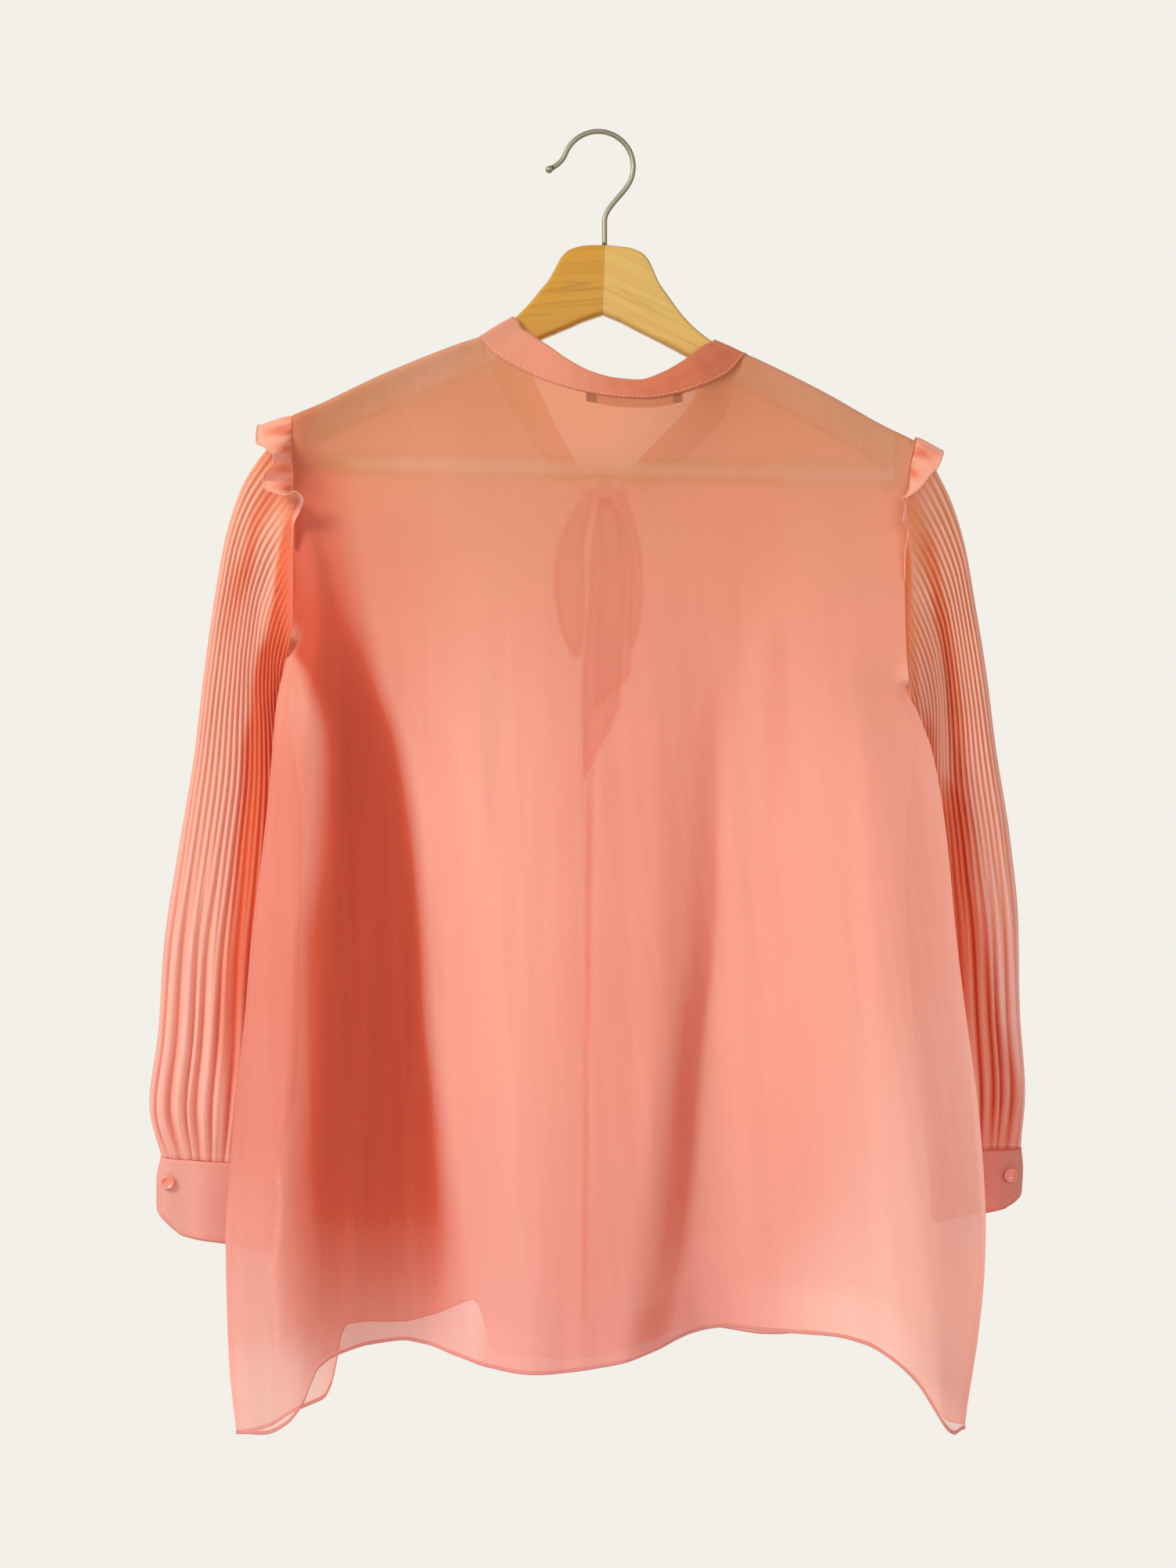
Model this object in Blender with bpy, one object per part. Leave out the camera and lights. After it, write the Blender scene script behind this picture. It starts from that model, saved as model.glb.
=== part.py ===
"""Sheer pleated-sleeve blouse hung by its shoulders on a wooden trouser-bar hanger.

The back of the garment faces -Y and its front faces +Y, +Z is up, and the origin is the
inner top of the hook, where a rail or a nail carries it. Lengths in the tables are
millimetres. Each piece of cloth is a thin closed wall through rows of points that are
worked out from the outlines, fold lines and rings below.
"""
import math

import bmesh
import bpy
import numpy as np

MM = 0.001

# --- cloth -------------------------------------------------------------------------------
PANEL_WALL = 1.2
SLEEVE_WALL = 1.0
BAND_WALL = 1.4
CUFF_WALL = 1.5
RUFFLE_WALL = 1.0
TIE_WALL = 1.0
SEAM_GAP = 0.3
SLEEVE_GAP = 0.55
BAND_GAP = 0.65

# --- hanger ------------------------------------------------------------------------------
HANGER_CENTRE = (4.5, -76.0)
HANGER_TILT = math.radians(-2.0)
ARM_LENGTH = {"left": 203.0, "right": 208.0}
ARM_HALF_THICKNESS = 6.0
ARM_SWEEP = 22.0
ARM_SWEEP_POWER = 1.6
BAR_RADIUS = 4.5
BAR_TILT = math.radians(0.8)
BAR_DROP = -159.3
BAR_SEAT = 195.0
LOBE_BOTTOM = -168.0
ARM_CORNER = 4.0
SHOULDER_LIFT = 2.1
ARM_FLAT = ARM_HALF_THICKNESS - ARM_CORNER
ARM_WRAP = ARM_CORNER + SHOULDER_LIFT
SHOULDER_ROUND = ARM_FLAT + ARM_WRAP

# Arm outline beside the centre joint: distance out, top edge, lower edge.
ARM_OUTLINE = (
    (0.15, -1.0, -49.0),
    (14.0, -2.0, -54.5),
    (24.0, -5.0, -59.5),
    (30.0, -10.5, -62.2),
    (33.5, -17.5, -64.0),
    (38.0, -26.5, -66.0),
    (44.0, -34.5, -69.0),
    (52.0, -45.0, -73.0),
    (62.5, -56.0, -78.5),
    (80.0, -68.3, -88.4),
    (100.0, -76.5, -98.8),
    (121.0, -86.0, -109.0),
    (152.0, -101.3, -125.0),
    (173.0, -113.0, -137.0),
    (188.0, -121.5, -147.0),
    (215.0, -134.5, -165.0),
)

# --- hook --------------------------------------------------------------------------------
HOOK_WIRE = 1.75
HOOK_SHANK_X = 3.8
HOOK_SHANK_TOP = -60.0
HOOK_CENTRE = (-0.6, -22.5)
HOOK_RADIUS = 24.2
HOOK_START = math.radians(-28.0)
HOOK_END = math.radians(158.0)
HOOK_TIP = (-32.4, -23.5)
HOOK_TIP_BALL = 2.6

# --- body outline ------------------------------------------------------------------------
# Side edge of the body: height, distance across.
LEFT_EDGE = (
    (-199.0, -207.2), (-270.0, -206.5), (-335.0, -206.8), (-352.0, -208.8), (-364.0, -212.6),
    (-395.0, -219.0),
    (-448.0, -223.5), (-500.0, -229.0), (-553.0, -235.5), (-606.0, -240.0),
    (-660.0, -245.8), (-712.0, -250.0), (-755.0, -252.6), (-806.0, -251.6), (-843.0, -249.8),
    (-887.0, -245.0),
)
RIGHT_EDGE = (
    (-213.0, 214.4), (-237.0, 208.8), (-263.0, 207.5), (-300.0, 205.9), (-340.0, 206.5),
    (-384.0, 209.4), (-400.0, 216.3), (-427.0, 226.0), (-480.0, 235.0), (-553.0, 242.0),
    (-595.0, 247.0), (-669.0, 256.6), (-711.0, 260.0), (-745.0, 261.4), (-775.0, 260.6),
    (-817.0, 258.2), (-869.0, 253.0),
)
UNDERARM = {"left": -352.0, "right": -382.0}
# Neck points on the shoulder line: distance across, and the height near them.
NECK_LEFT_X = -82.0
NECK_RIGHT_X = 100.5
NECK_LEFT_Z = -142.0
NECK_RIGHT_Z = -153.0
# Depth of the line where front and back meet at the sides: height, depth.
SIDE_DEPTH = ((-199.0, -21.6), (-352.0, -23.0), (-600.0, -26.0), (-887.0, -29.0))

# Where a neck edge climbs over an arm: turn round the arm from its top, distance inward.
NECK_CLIMB = ((0.0, 0.0), (28.0, 0.8), (60.0, 2.0), (88.0, 4.0))
# Back neck seam between the climbs: distance across, height, depth.
BACK_NECK = (
    (-74.0, -150.8, -14.6), (-65.2, -158.0, -18.5), (-48.5, -167.8, -23.0), (-26.7, -177.0, -27.0),
    (-4.9, -182.7, -29.0), (13.6, -185.6, -29.5), (31.7, -186.4, -29.5), (50.2, -183.6, -28.5),
    (68.4, -177.9, -26.0), (85.0, -169.8, -20.0), (92.5, -163.0, -16.6),
)
# Front neck seam from each climb down to the foot of the V.
FRONT_NECK_LEFT = (
    (-76.0, -153.0, 4.2), (-71.7, -162.5, 7.6), (-63.2, -181.7, 12.5), (-46.9, -207.2, 16.5),
    (-28.4, -230.4, 19.5), (3.1, -258.4, 22.0),
)
FRONT_NECK_RIGHT = (
    (3.7, -258.4, 22.0), (44.4, -233.2, 19.5), (66.2, -212.7, 16.0), (86.2, -191.5, 11.5),
    (92.6, -174.0, 7.0), (95.0, -164.0, 3.2),
)
# Free edge of the neckband on each arm, and beside the neck seam between them: seam x,
# then free x, y, z.
BAND_LEFT_X = -59.6
BAND_RIGHT_X = 79.6
BAND_FREE_LEFT = (
    (-76.0, -54.0, 6.4, -137.6), (-71.7, -50.6, 9.0, -151.0), (-63.2, -40.3, 13.5, -177.2),
    (-46.9, -28.4, 18.0, -201.4), (-28.4, -15.8, 21.0, -223.0), (3.1, 2.8, 23.4, -250.6),
)
BAND_FREE_BACK = (
    (-74.0, -53.0, -12.6, -136.0), (-65.2, -46.5, -16.0, -141.0), (-48.5, -34.0, -19.5, -150.0),
    (-26.7, -21.0, -22.5, -159.6), (-4.9, -4.5, -24.2, -168.4), (13.6, 11.5, -24.7, -172.6),
    (31.7, 27.0, -24.8, -173.8), (50.2, 43.0, -23.2, -168.4), (68.4, 56.0, -20.6, -160.6),
    (85.0, 67.8, -16.6, -151.4), (92.5, 73.4, -14.6, -147.4),
)
BAND_FREE_RIGHT = (
    (3.7, 4.0, 23.4, -250.6), (44.4, 29.7, 20.8, -219.2), (66.2, 47.2, 17.8, -201.4),
    (86.2, 65.1, 13.6, -181.5), (92.6, 71.6, 9.4, -162.4), (95.0, 74.4, 5.6, -150.6),
)
# Hems: distance across, height.
BACK_HEM = (
    (-242.0, -886.5), (-229.0, -883.6), (-206.6, -870.5), (-196.0, -857.5), (-191.0, -845.0),
    (-187.0, -836.0), (-174.8, -828.6), (-155.7, -825.2), (-135.6, -825.6), (-119.6, -829.4),
    (-97.5, -835.6), (-75.7, -838.6), (-54.3, -838.6), (-33.4, -838.2), (-2.4, -835.2),
    (18.7, -831.4), (40.1, -826.2), (61.8, -820.4), (88.9, -817.8), (120.8, -819.2),
    (156.9, -818.6), (176.9, -822.0), (196.6, -832.6), (211.4, -846.6), (221.2, -861.6),
    (231.2, -876.6), (241.0, -884.0), (248.0, -880.6), (253.0, -869.0),
)
FRONT_HEM = (
    (-242.0, -886.5), (-226.0, -885.6), (-206.0, -879.5), (-191.0, -872.0), (-184.5, -863.5),
    (-180.0, -846.0), (-172.0, -829.0), (-158.0, -821.5), (-135.0, -820.5), (-97.0, -828.0),
    (-54.0, -831.0), (-10.0, -829.0), (40.0, -822.0), (89.0, -815.0), (157.0, -816.5),
    (197.0, -828.0), (221.0, -856.0), (231.0, -871.0), (241.0, -879.0), (248.0, -877.0),
    (253.0, -868.5),
)
# Rows of a panel: drops below its top edge, shares of the way to the underarm, steps below.
TOP_DROPS = (0.0, 0.5, 1.8, 4.4, 8.6)
UPPER_STEPS = (0.3, 0.65, 0.94, 1.0)
LOWER_STEPS = 7
# Width of the back between the armholes, and a height that crosses both underarms.
TOP_WIDTH = 421.0
UNDERARM_LINE = -365.0
# Drop below the shoulder over which hanging cloth goes into its folds.
FOLD_RUN = 110.0
SETTLE_ROUNDS = 60
# Distance from a side edge over which the wrap over an arm becomes the round of the armhole.
ARMHOLE_RUN = 5.0
CENTRE_FRONT = ((-258.4, 3.4), (-350.0, -1.5), (-445.0, -6.0), (-640.0, -8.5), (-840.0, -10.3))

# Fold lines of each panel at five heights: distance across and depth of every ridge and
# valley, left to right. Between two lines the cloth turns smoothly from one to the other.
BACK_FOLDS = (
    # height, ridge, valley, main ridge, its far side, valley, ridge
    (-250.0, (-202.0, -31.5), (-194.0, -30.5), (-150.0, -32.5), (20.0, -33.0),
     (90.0, -32.0), (150.0, -32.5)),
    (-330.0, (-190.0, -34.5), (-172.0, -29.5), (-120.0, -33.5), (28.0, -34.0),
     (85.0, -31.5), (150.0, -33.5)),
    (-450.0, (-199.0, -41.0), (-128.0, -20.0), (-75.0, -41.0), (32.0, -40.0),
     (82.0, -29.0), (172.0, -38.0)),
    (-600.0, (-201.0, -48.0), (-106.0, -16.0), (-60.0, -47.0), (35.0, -45.0),
     (78.0, -25.0), (190.0, -42.0)),
    (-750.0, (-209.0, -56.0), (-106.0, -14.0), (-48.0, -55.0), (22.0, -52.0),
     (72.0, -19.0), (212.0, -49.0)),
    (-887.0, (-203.0, -64.0), (-126.0, -14.0), (-36.0, -62.0), (5.0, -57.0), (92.0, -12.0), (228.0, -57.0)),
)
FRONT_FOLDS = (
    # height, ridge, valley, ridge, centre front, ridge, valley, ridge
    (-250.0, (-150.0, -3.0), (-100.0, 3.0), (-60.0, 11.0), (3.0, 21.0),
     (60.0, 12.0), (115.0, 3.0), (165.0, -4.0)),
    (-450.0, (-150.0, 6.0), (-100.0, 9.0), (-60.0, 20.0), (-6.0, 21.0),
     (60.0, 22.0), (115.0, 11.0), (165.0, 5.0)),
    (-600.0, (-155.0, 8.0), (-105.0, 8.0), (-60.0, 24.0), (-8.0, 20.0),
     (60.0, 26.0), (115.0, 9.0), (170.0, 8.0)),
    (-750.0, (-165.0, 7.0), (-110.0, 6.0), (-60.0, 28.0), (-9.0, 18.0),
     (60.0, 30.0), (115.0, 8.0), (180.0, 10.0)),
    (-887.0, (-196.0, -4.0), (-120.0, 6.0), (-60.0, 31.0), (-10.0, 16.0),
     (60.0, 33.0), (115.0, 6.0), (195.0, 12.0)),
)

# --- sleeves -----------------------------------------------------------------------------
PLEATS = 44
GATHERS = 22
# Pleat lines closer than the first distance lie flat, and those beyond the second stand full.
PLEAT_CLOSE = 1.5
PLEAT_OPEN = 2.6
SLEEVE_RINGS = {
    # upper edge x, z; under edge x, z; depth of the middle; half thickness; pleat; gather; crease
    "left": (
        (-207.4, -199.3, -209.6, -352.0, -21.8, 8.1, 0.0, 0.0, 0.0),
        (-217.0, -210.0, -213.4, -357.0, -19.8, 8.4, 0.4, 0.0, 0.8),
        (-241.5, -242.0, -216.4, -369.5, -13.5, 9.2, 1.6, 0.0, 2.0),
        (-254.0, -274.0, -216.8, -384.5, -7.0, 10.0, 1.8, 0.0, 1.0),
        (-263.5, -318.0, -213.6, -405.0, -0.5, 11.0, 1.8, 0.0, 0.0),
        (-272.0, -370.0, -209.8, -434.0, 5.5, 12.0, 1.8, 0.0, 2.0),
        (-280.0, -428.0, -207.0, -473.0, 11.5, 13.0, 1.7, 0.0, 3.5),
        (-291.0, -490.0, -207.5, -520.0, 16.0, 14.0, 1.4, 0.8, 4.0),
        (-302.0, -560.0, -209.5, -577.0, 20.0, 15.0, 0.5, 2.6, 3.0),
        (-306.5, -622.0, -211.0, -632.0, 22.0, 15.5, 0.0, 3.6, 1.5),
        (-312.8, -672.0, -215.5, -679.0, 22.0, 14.0, 0.0, 3.6, 0.0),
        (-305.3, -707.0, -225.6, -712.5, 22.0, 9.5, 0.0, 1.3, 0.0),
    ),
    "right": (
        (214.6, -213.8, 208.8, -382.0, -21.8, 8.1, 0.0, 0.0, 0.0),
        (224.0, -226.0, 213.0, -387.5, -19.8, 8.4, 0.4, 0.0, 1.0),
        (240.0, -256.0, 217.2, -399.0, -13.5, 9.2, 1.6, 0.0, 3.0),
        (249.5, -284.0, 219.2, -412.0, -7.0, 10.0, 1.8, 0.0, 5.0),
        (257.5, -322.0, 218.0, -429.0, -0.5, 11.0, 1.8, 0.0, 7.0),
        (266.5, -370.0, 216.0, -454.0, 5.5, 12.0, 1.8, 0.0, 8.0),
        (274.5, -424.0, 213.5, -485.0, 11.0, 13.0, 1.7, 0.0, 8.0),
        (284.5, -482.0, 214.0, -521.0, 15.5, 14.0, 1.4, 0.8, 7.0),
        (291.0, -545.0, 217.5, -566.0, 19.0, 15.0, 0.5, 2.6, 5.0),
        (292.3, -605.0, 221.0, -613.0, 21.0, 16.0, 0.0, 3.6, 3.0),
        (295.8, -660.0, 226.0, -664.0, 21.0, 15.0, 0.0, 3.6, 1.0),
        (294.2, -700.5, 230.0, -702.0, 21.0, 9.5, 0.0, 1.3, 0.0),
    ),
}
CREASE_WIDTH = 0.22

# --- cuffs -------------------------------------------------------------------------------
CUFF_RINGS = {
    # upper edge x, z; under edge x, z; depth of the middle; half thickness
    "left": (
        (-305.3, -707.6, -225.6, -713.1, 22.0, 9.5),
        (-308.4, -724.0, -226.0, -742.0, 22.0, 10.0),
        (-308.4, -741.0, -226.7, -773.7, 22.0, 10.0),
    ),
    "right": (
        (294.2, -701.1, 230.0, -702.6, 21.0, 9.5),
        (295.4, -716.0, 231.0, -727.0, 21.0, 10.0),
        (294.4, -731.5, 232.0, -752.0, 21.0, 10.0),
    ),
}
CUFF_SAG = {"left": 12.0, "right": 6.0}
CUFF_POINTS = 32
CUFF_OVERLAP = 0.10
CUFF_START = 0.06
BUTTON_RADIUS = 4.9
BUTTON_HEIGHT = 2.4
BUTTONS = {"left": (-298.6, -723.6), "right": (285.0, -718.5)}

# --- sleeve-head ruffles -----------------------------------------------------------------
# Free edge of the ruffle from back to front over the sleeve head: distance along the seam
# from the shoulder tip, then how far the edge stands out, lifts off the cloth and drops.
RUFFLE_WAVES = {
    "left": (
        (-92.0, -1.0, 2.5, 0.0), (-84.0, -3.0, 6.0, 1.0), (-75.0, -8.0, 11.0, 1.0),
        (-64.0, -5.0, 15.0, 4.0), (-54.0, 9.0, 13.0, -14.0), (-43.0, 20.0, 11.0, -18.0),
        (-32.0, 11.0, 15.0, -15.0), (-19.0, 26.0, 9.0, -14.0), (-6.0, 26.0, 3.0, -13.0),
        (7.0, 24.0, 4.0, -12.0), (19.0, 22.0, 14.0, -13.0), (31.0, 12.0, 21.0, -14.0),
        (43.0, 18.0, 22.0, -17.0), (54.0, 7.0, 21.0, -12.0), (66.0, -3.0, 16.0, 2.0),
        (77.0, -2.0, 10.0, 0.0), (88.0, 0.0, 2.5, 0.0),
    ),
    "right": (
        (-100.0, 1.0, 2.5, 0.0), (-86.0, 2.0, 6.0, 0.0), (-72.0, -2.0, 8.0, 2.0),
        (-59.0, -4.0, 9.0, 5.0), (-47.0, 4.0, 9.0, -10.0), (-33.0, 15.0, 10.0, -14.0),
        (-21.0, 24.0, 7.0, -15.0), (-8.0, 21.0, 3.0, -17.0), (7.0, 20.0, 5.0, -15.0),
        (21.0, 22.0, 14.0, -15.0), (33.0, 12.0, 21.0, -13.0), (46.0, 16.0, 22.0, -14.0),
        (58.0, 4.0, 20.0, -8.0), (70.0, -2.0, 15.0, 2.0), (82.0, 0.0, 8.0, 0.0),
        (94.0, 0.0, 2.5, 0.0),
    ),
}
RUFFLE_COLUMNS = 36
RUFFLE_STEPS = (0.0, 0.3, 0.65, 1.0)
RUFFLE_STAND_OFF = 1.8

# --- tie ---------------------------------------------------------------------------------
KNOT_CENTRE = (4.6, 30.2, -241.0)
KNOT_HALF = (7.5, 6.0, 7.0)
# Drooping loops: height, middle across, width of the ribbon.
LOOP_ROWS = {
    "left": ((-242.0, -5.5, 5.0), (-262.0, -14.0, 14.0), (-285.0, -20.0, 19.0), (-311.0, -20.5, 21.0),
             (-338.0, -18.5, 17.0), (-358.0, -15.5, 9.0)),
    "right": ((-242.0, 14.7, 5.0), (-262.0, 20.0, 9.0), (-285.0, 25.5, 9.0), (-311.0, 27.0, 8.0),
              (-338.0, 24.5, 8.0), (-352.0, 22.0, 6.0)),
}
LOOP_BACK_DEPTH = 31.0
LOOP_FRONT_DEPTH = 37.0
LOOP_POINTS = 15
# Tails: height, middle across, width, depth; the last two columns raise each corner.
TAIL_ROWS = {
    "long": ((-248.3, 4.6, 9.0, 27.4), (-262.0, 6.0, 18.0, 25.2), (-300.0, 6.0, 24.0, 24.2),
             (-350.0, 3.5, 26.0, 24.0), (-380.0, 1.5, 26.5, 23.8), (-446.0, 2.5, 27.0, 23.3)),
    "short": ((-248.6, 4.6, 8.0, 31.0), (-262.0, 8.0, 16.0, 29.0), (-300.0, 12.0, 22.0, 27.6),
              (-340.0, 11.0, 24.0, 27.2), (-395.0, 9.0, 24.0, 26.6)),
}
TAIL_SLANT = {"long": 52.0, "short": 22.0}
TAIL_COLUMNS = 3

# --- neck label --------------------------------------------------------------------------
LABEL_LEFT = -9.0
LABEL_RIGHT = 57.0
LABEL_HEIGHT = 7.0
LABEL_WALL = 0.6
LABEL_COLUMNS = 8


# --- small mathematics -------------------------------------------------------------------
def smooth(t):
    """Smooth step from 0 to 1."""
    t = np.clip(t, 0.0, 1.0)
    return t * t * (3.0 - 2.0 * t)


def rounded(t):
    """Quarter circle: rises steeply from 0 and levels out at 1."""
    t = np.clip(t, 0.0, 1.0)
    return np.sqrt(1.0 - (1.0 - t) ** 2)


def through(xs, ys, x):
    """Smooth curve through rising xs without overshoot (limited cubic Hermite)."""
    xs = np.asarray(xs, float)
    ys = np.asarray(ys, float)
    x = np.clip(np.asarray(x, float), xs[0], xs[-1])
    step = np.diff(xs)
    slope = np.diff(ys) / step
    product = slope[:-1] * slope[1:]
    total = np.where(product > 0.0, slope[:-1] + slope[1:], 1.0)
    inner = np.where(product > 0.0, 2.0 * product / total, 0.0)
    tangent = np.concatenate(([slope[0]], inner, [slope[-1]]))
    k = np.clip(np.searchsorted(xs, x) - 1, 0, len(step) - 1)
    t = (x - xs[k]) / step[k]
    return ((1 + 2 * t) * (1 - t) ** 2 * ys[k] + t * (1 - t) ** 2 * step[k] * tangent[k]
            + t * t * (3 - 2 * t) * ys[k + 1] + t * t * (t - 1) * step[k] * tangent[k + 1])


def table(rows, x, key=0, value=1):
    """Smooth lookup in a table, whatever way its key column runs."""
    rows = sorted(rows, key=lambda row: row[key])
    return through([row[key] for row in rows], [row[value] for row in rows], x)


# --- hanger lines ------------------------------------------------------------------------
def hanger_to_world(across, up):
    """Turn hanger coordinates, measured from its centre top, to garment coordinates."""
    cos, sin = math.cos(HANGER_TILT), math.sin(HANGER_TILT)
    return (HANGER_CENTRE[0] + across * cos - up * sin, HANGER_CENTRE[1] + across * sin + up * cos)


def hanger_depth(across):
    """Depth of the arm's middle: both arms sweep towards the back at their ends."""
    return -ARM_SWEEP * (np.abs(across) / ARM_LENGTH["left"]) ** ARM_SWEEP_POWER


def arm_depth_at(x, z):
    """Depth of the arm's middle behind the point x, z of the garment."""
    cos, sin = math.cos(HANGER_TILT), math.sin(HANGER_TILT)
    return hanger_depth((x - HANGER_CENTRE[0]) * cos + (z - HANGER_CENTRE[1]) * sin)


def shoulder_height(x):
    """Height of the shoulder line at x: the arm's top edge plus the cloth on it."""
    across = np.linspace(-218.0, 218.0, 219)
    top = through([r[0] for r in ARM_OUTLINE], [r[1] for r in ARM_OUTLINE], np.abs(across))
    line_x, line_z = hanger_to_world(across, top + SHOULDER_LIFT)
    return np.interp(x, line_x, line_z)


def over_arm(x, turn, sign):
    """Point of the cloth that passes over an arm at x, turned by an angle from its top."""
    angle = math.radians(turn)
    z = float(shoulder_height(x)) - ARM_WRAP * (1.0 - math.cos(angle))
    reach = max(0.5 * SEAM_GAP, ARM_FLAT * float(smooth(turn / 20.0)) + ARM_WRAP * math.sin(angle))
    return x, z, float(arm_depth_at(x, z)) + sign * reach


def climb_rows(start_x, way, sign):
    """Rows x, z, depth of a neck edge as it climbs down from the top of an arm."""
    return [over_arm(start_x + way * inward, turn, sign) for turn, inward in NECK_CLIMB]


def neck_rows(panel):
    """Rows x, z, depth of a whole neck edge: the climbs and the curve between them."""
    if panel == "back":
        return (climb_rows(NECK_LEFT_X, 1.0, -1.0) + list(BACK_NECK)
                + climb_rows(NECK_RIGHT_X, -1.0, -1.0)[::-1])
    if panel == "left":
        return climb_rows(NECK_LEFT_X, 1.0, 1.0) + list(FRONT_NECK_LEFT)
    return list(FRONT_NECK_RIGHT) + climb_rows(NECK_RIGHT_X, -1.0, 1.0)[::-1]


def free_rows(panel):
    """Rows seam x, free x, y, z of the neckband's free edge beside a whole neck edge."""
    def climb(seam_x, band_x, way, sign):
        rows = []
        for (turn, inward), (x, z, y) in zip(NECK_CLIMB, climb_rows(band_x, way, sign)):
            rows.append((seam_x + way * inward, x, y, z))
        return rows

    if panel == "back":
        return (climb(NECK_LEFT_X, BAND_LEFT_X, 1.0, -1.0) + list(BAND_FREE_BACK)
                + climb(NECK_RIGHT_X, BAND_RIGHT_X, -1.0, -1.0)[::-1])
    if panel == "left":
        return climb(NECK_LEFT_X, BAND_LEFT_X, 1.0, 1.0) + list(BAND_FREE_LEFT)
    return list(BAND_FREE_RIGHT) + climb(NECK_RIGHT_X, BAND_RIGHT_X, -1.0, 1.0)[::-1]


# --- body surfaces -----------------------------------------------------------------------
def side_x(z, side):
    """Distance across of the body's side edge at height z."""
    return table(LEFT_EDGE if side == "left" else RIGHT_EDGE, z)


def left_side(z):
    """Left side edge of the body at height z."""
    return side_x(z, "left")


def right_side(z):
    """Right side edge of the body at height z."""
    return side_x(z, "right")


def centre_left(z):
    """Left panel's edge at the centre front seam."""
    return table(CENTRE_FRONT, z) - 0.5 * SEAM_GAP


def centre_right(z):
    """Right panel's edge at the centre front seam."""
    return table(CENTRE_FRONT, z) + 0.5 * SEAM_GAP


def side_half(z, side):
    """Half the opening between front and back edges: the armhole above, a seam below."""
    tip = shoulder_height(side_x(-205.0, side))
    above = rounded((z - UNDERARM[side]) / SHOULDER_ROUND)
    below = rounded((tip - z) / SHOULDER_ROUND)
    seam = 0.5 * (PANEL_WALL + SEAM_GAP)
    return seam + (SHOULDER_ROUND - seam) * np.where(z > UNDERARM[side], above * below, 0.0)


def fold_depth(x, z, folds, sign):
    """Depth of a panel from its fold lines: edges, ridges and valleys joined smoothly."""
    heights = [row[0] for row in folds][::-1]
    lines_x = [side_x(z, "left")]
    lines_y = [table(SIDE_DEPTH, z) + sign * side_half(z, "left")]
    for column in range(1, len(folds[0])):
        lines_x.append(through(heights, [row[column][0] for row in folds][::-1], z))
        lines_y.append(through(heights, [row[column][1] for row in folds][::-1], z))
    lines_x.append(side_x(z, "right"))
    lines_y.append(table(SIDE_DEPTH, z) + sign * side_half(z, "right"))
    depth = np.array(lines_y[0], float) + 0.0 * x
    for k in range(len(lines_x) - 1):
        span = np.maximum(lines_x[k + 1] - lines_x[k], 1.0)
        turn = smooth((x - lines_x[k]) / span)
        depth = depth + (lines_y[k + 1] - lines_y[k]) * turn
    return depth


def panel_depth(x, z, drop, top_depth, hang_depth, folds, sign):
    """Depth of a panel point: over the arm at the top, then hanging, then in its folds."""
    round_end = rounded(drop / SHOULDER_ROUND)
    round_arm = (ARM_FLAT * smooth(drop / 0.4) + ARM_WRAP * rounded(drop / ARM_WRAP)) / SHOULDER_ROUND
    inside = smooth(np.minimum(x - side_x(z, "left"), side_x(z, "right") - x) / ARMHOLE_RUN)
    wrap = round_end + (round_arm - round_end) * inside
    hung = top_depth + (hang_depth - top_depth) * wrap
    return hung + (fold_depth(x, z, folds, sign) - hung) * smooth(drop / FOLD_RUN)


def panel_top(x, panel):
    """Height and depth of a panel's top edge at x, and the depth where the cloth hangs."""
    rows = neck_rows(panel)
    sign = -1.0 if panel == "back" else 1.0
    left_end = NECK_LEFT_X if panel != "right" else -math.inf
    right_end = NECK_RIGHT_X if panel != "left" else math.inf
    inside = (x > left_end) & (x < right_end)
    shoulder = shoulder_height(x)
    arm = arm_depth_at(x, shoulder)
    depth = table(rows, x, 0, 2)
    hang = arm + sign * SHOULDER_ROUND
    beyond = np.minimum(depth, hang) if panel == "back" else np.maximum(depth, hang)
    return (np.where(inside, table(rows, x), shoulder),
            np.where(inside, depth, arm + sign * 0.5 * SEAM_GAP),
            np.where(inside, beyond, hang))


def column_grid(shares, left_x, right_x, top, hem):
    """Rows of x, z and drop below the top edge, one column for each share across.

    left_x and right_x give the two edges at a height, top and hem the heights at an x.
    """
    shares = np.asarray(shares, float)

    def across(height):
        return left_x(height) + shares * (right_x(height) - left_x(height))

    def settle(line, start):
        height = np.full(len(shares), start)
        for _ in range(SETTLE_ROUNDS):
            height = 0.5 * height + 0.5 * line(across(height))
        return height

    top_z = settle(top, NECK_LEFT_Z)
    hem_z = settle(hem, BACK_HEM[0][1])
    whole = right_side(UNDERARM_LINE) - left_side(UNDERARM_LINE)
    way = (across(UNDERARM_LINE) - left_side(UNDERARM_LINE)) / whole
    under = UNDERARM["left"] + way * (UNDERARM["right"] - UNDERARM["left"])
    rows = [top_z - drop for drop in TOP_DROPS]
    start = rows[-1]
    rows += [start + step * (under - start) for step in UPPER_STEPS]
    rows += [under + (k + 1) / LOWER_STEPS * (hem_z - under) for k in range(LOWER_STEPS)]
    z = np.array(rows)
    x = np.array([across(row) for row in z])
    return x, z, top_z[None, :] - z


def spread(*stretches):
    """Shares across from 0 to 1: the end of each stretch and its number of even steps."""
    shares = [0.0]
    for end, count in stretches:
        begin = shares[-1]
        shares += [begin + (end - begin) * (k + 1) / count for k in range(count)]
    return shares


def beside(share, way):
    """Extra columns where a neck edge climbs over an arm, going inward from the shoulder."""
    return [(share + way * inward / TOP_WIDTH, 1) for _, inward in NECK_CLIMB[1:]]


def share_of(x, left, right, height):
    """Share across the body where the line x lies at a height."""
    a, b = left(height), right(height)
    return float((x - a) / (b - a))


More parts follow.
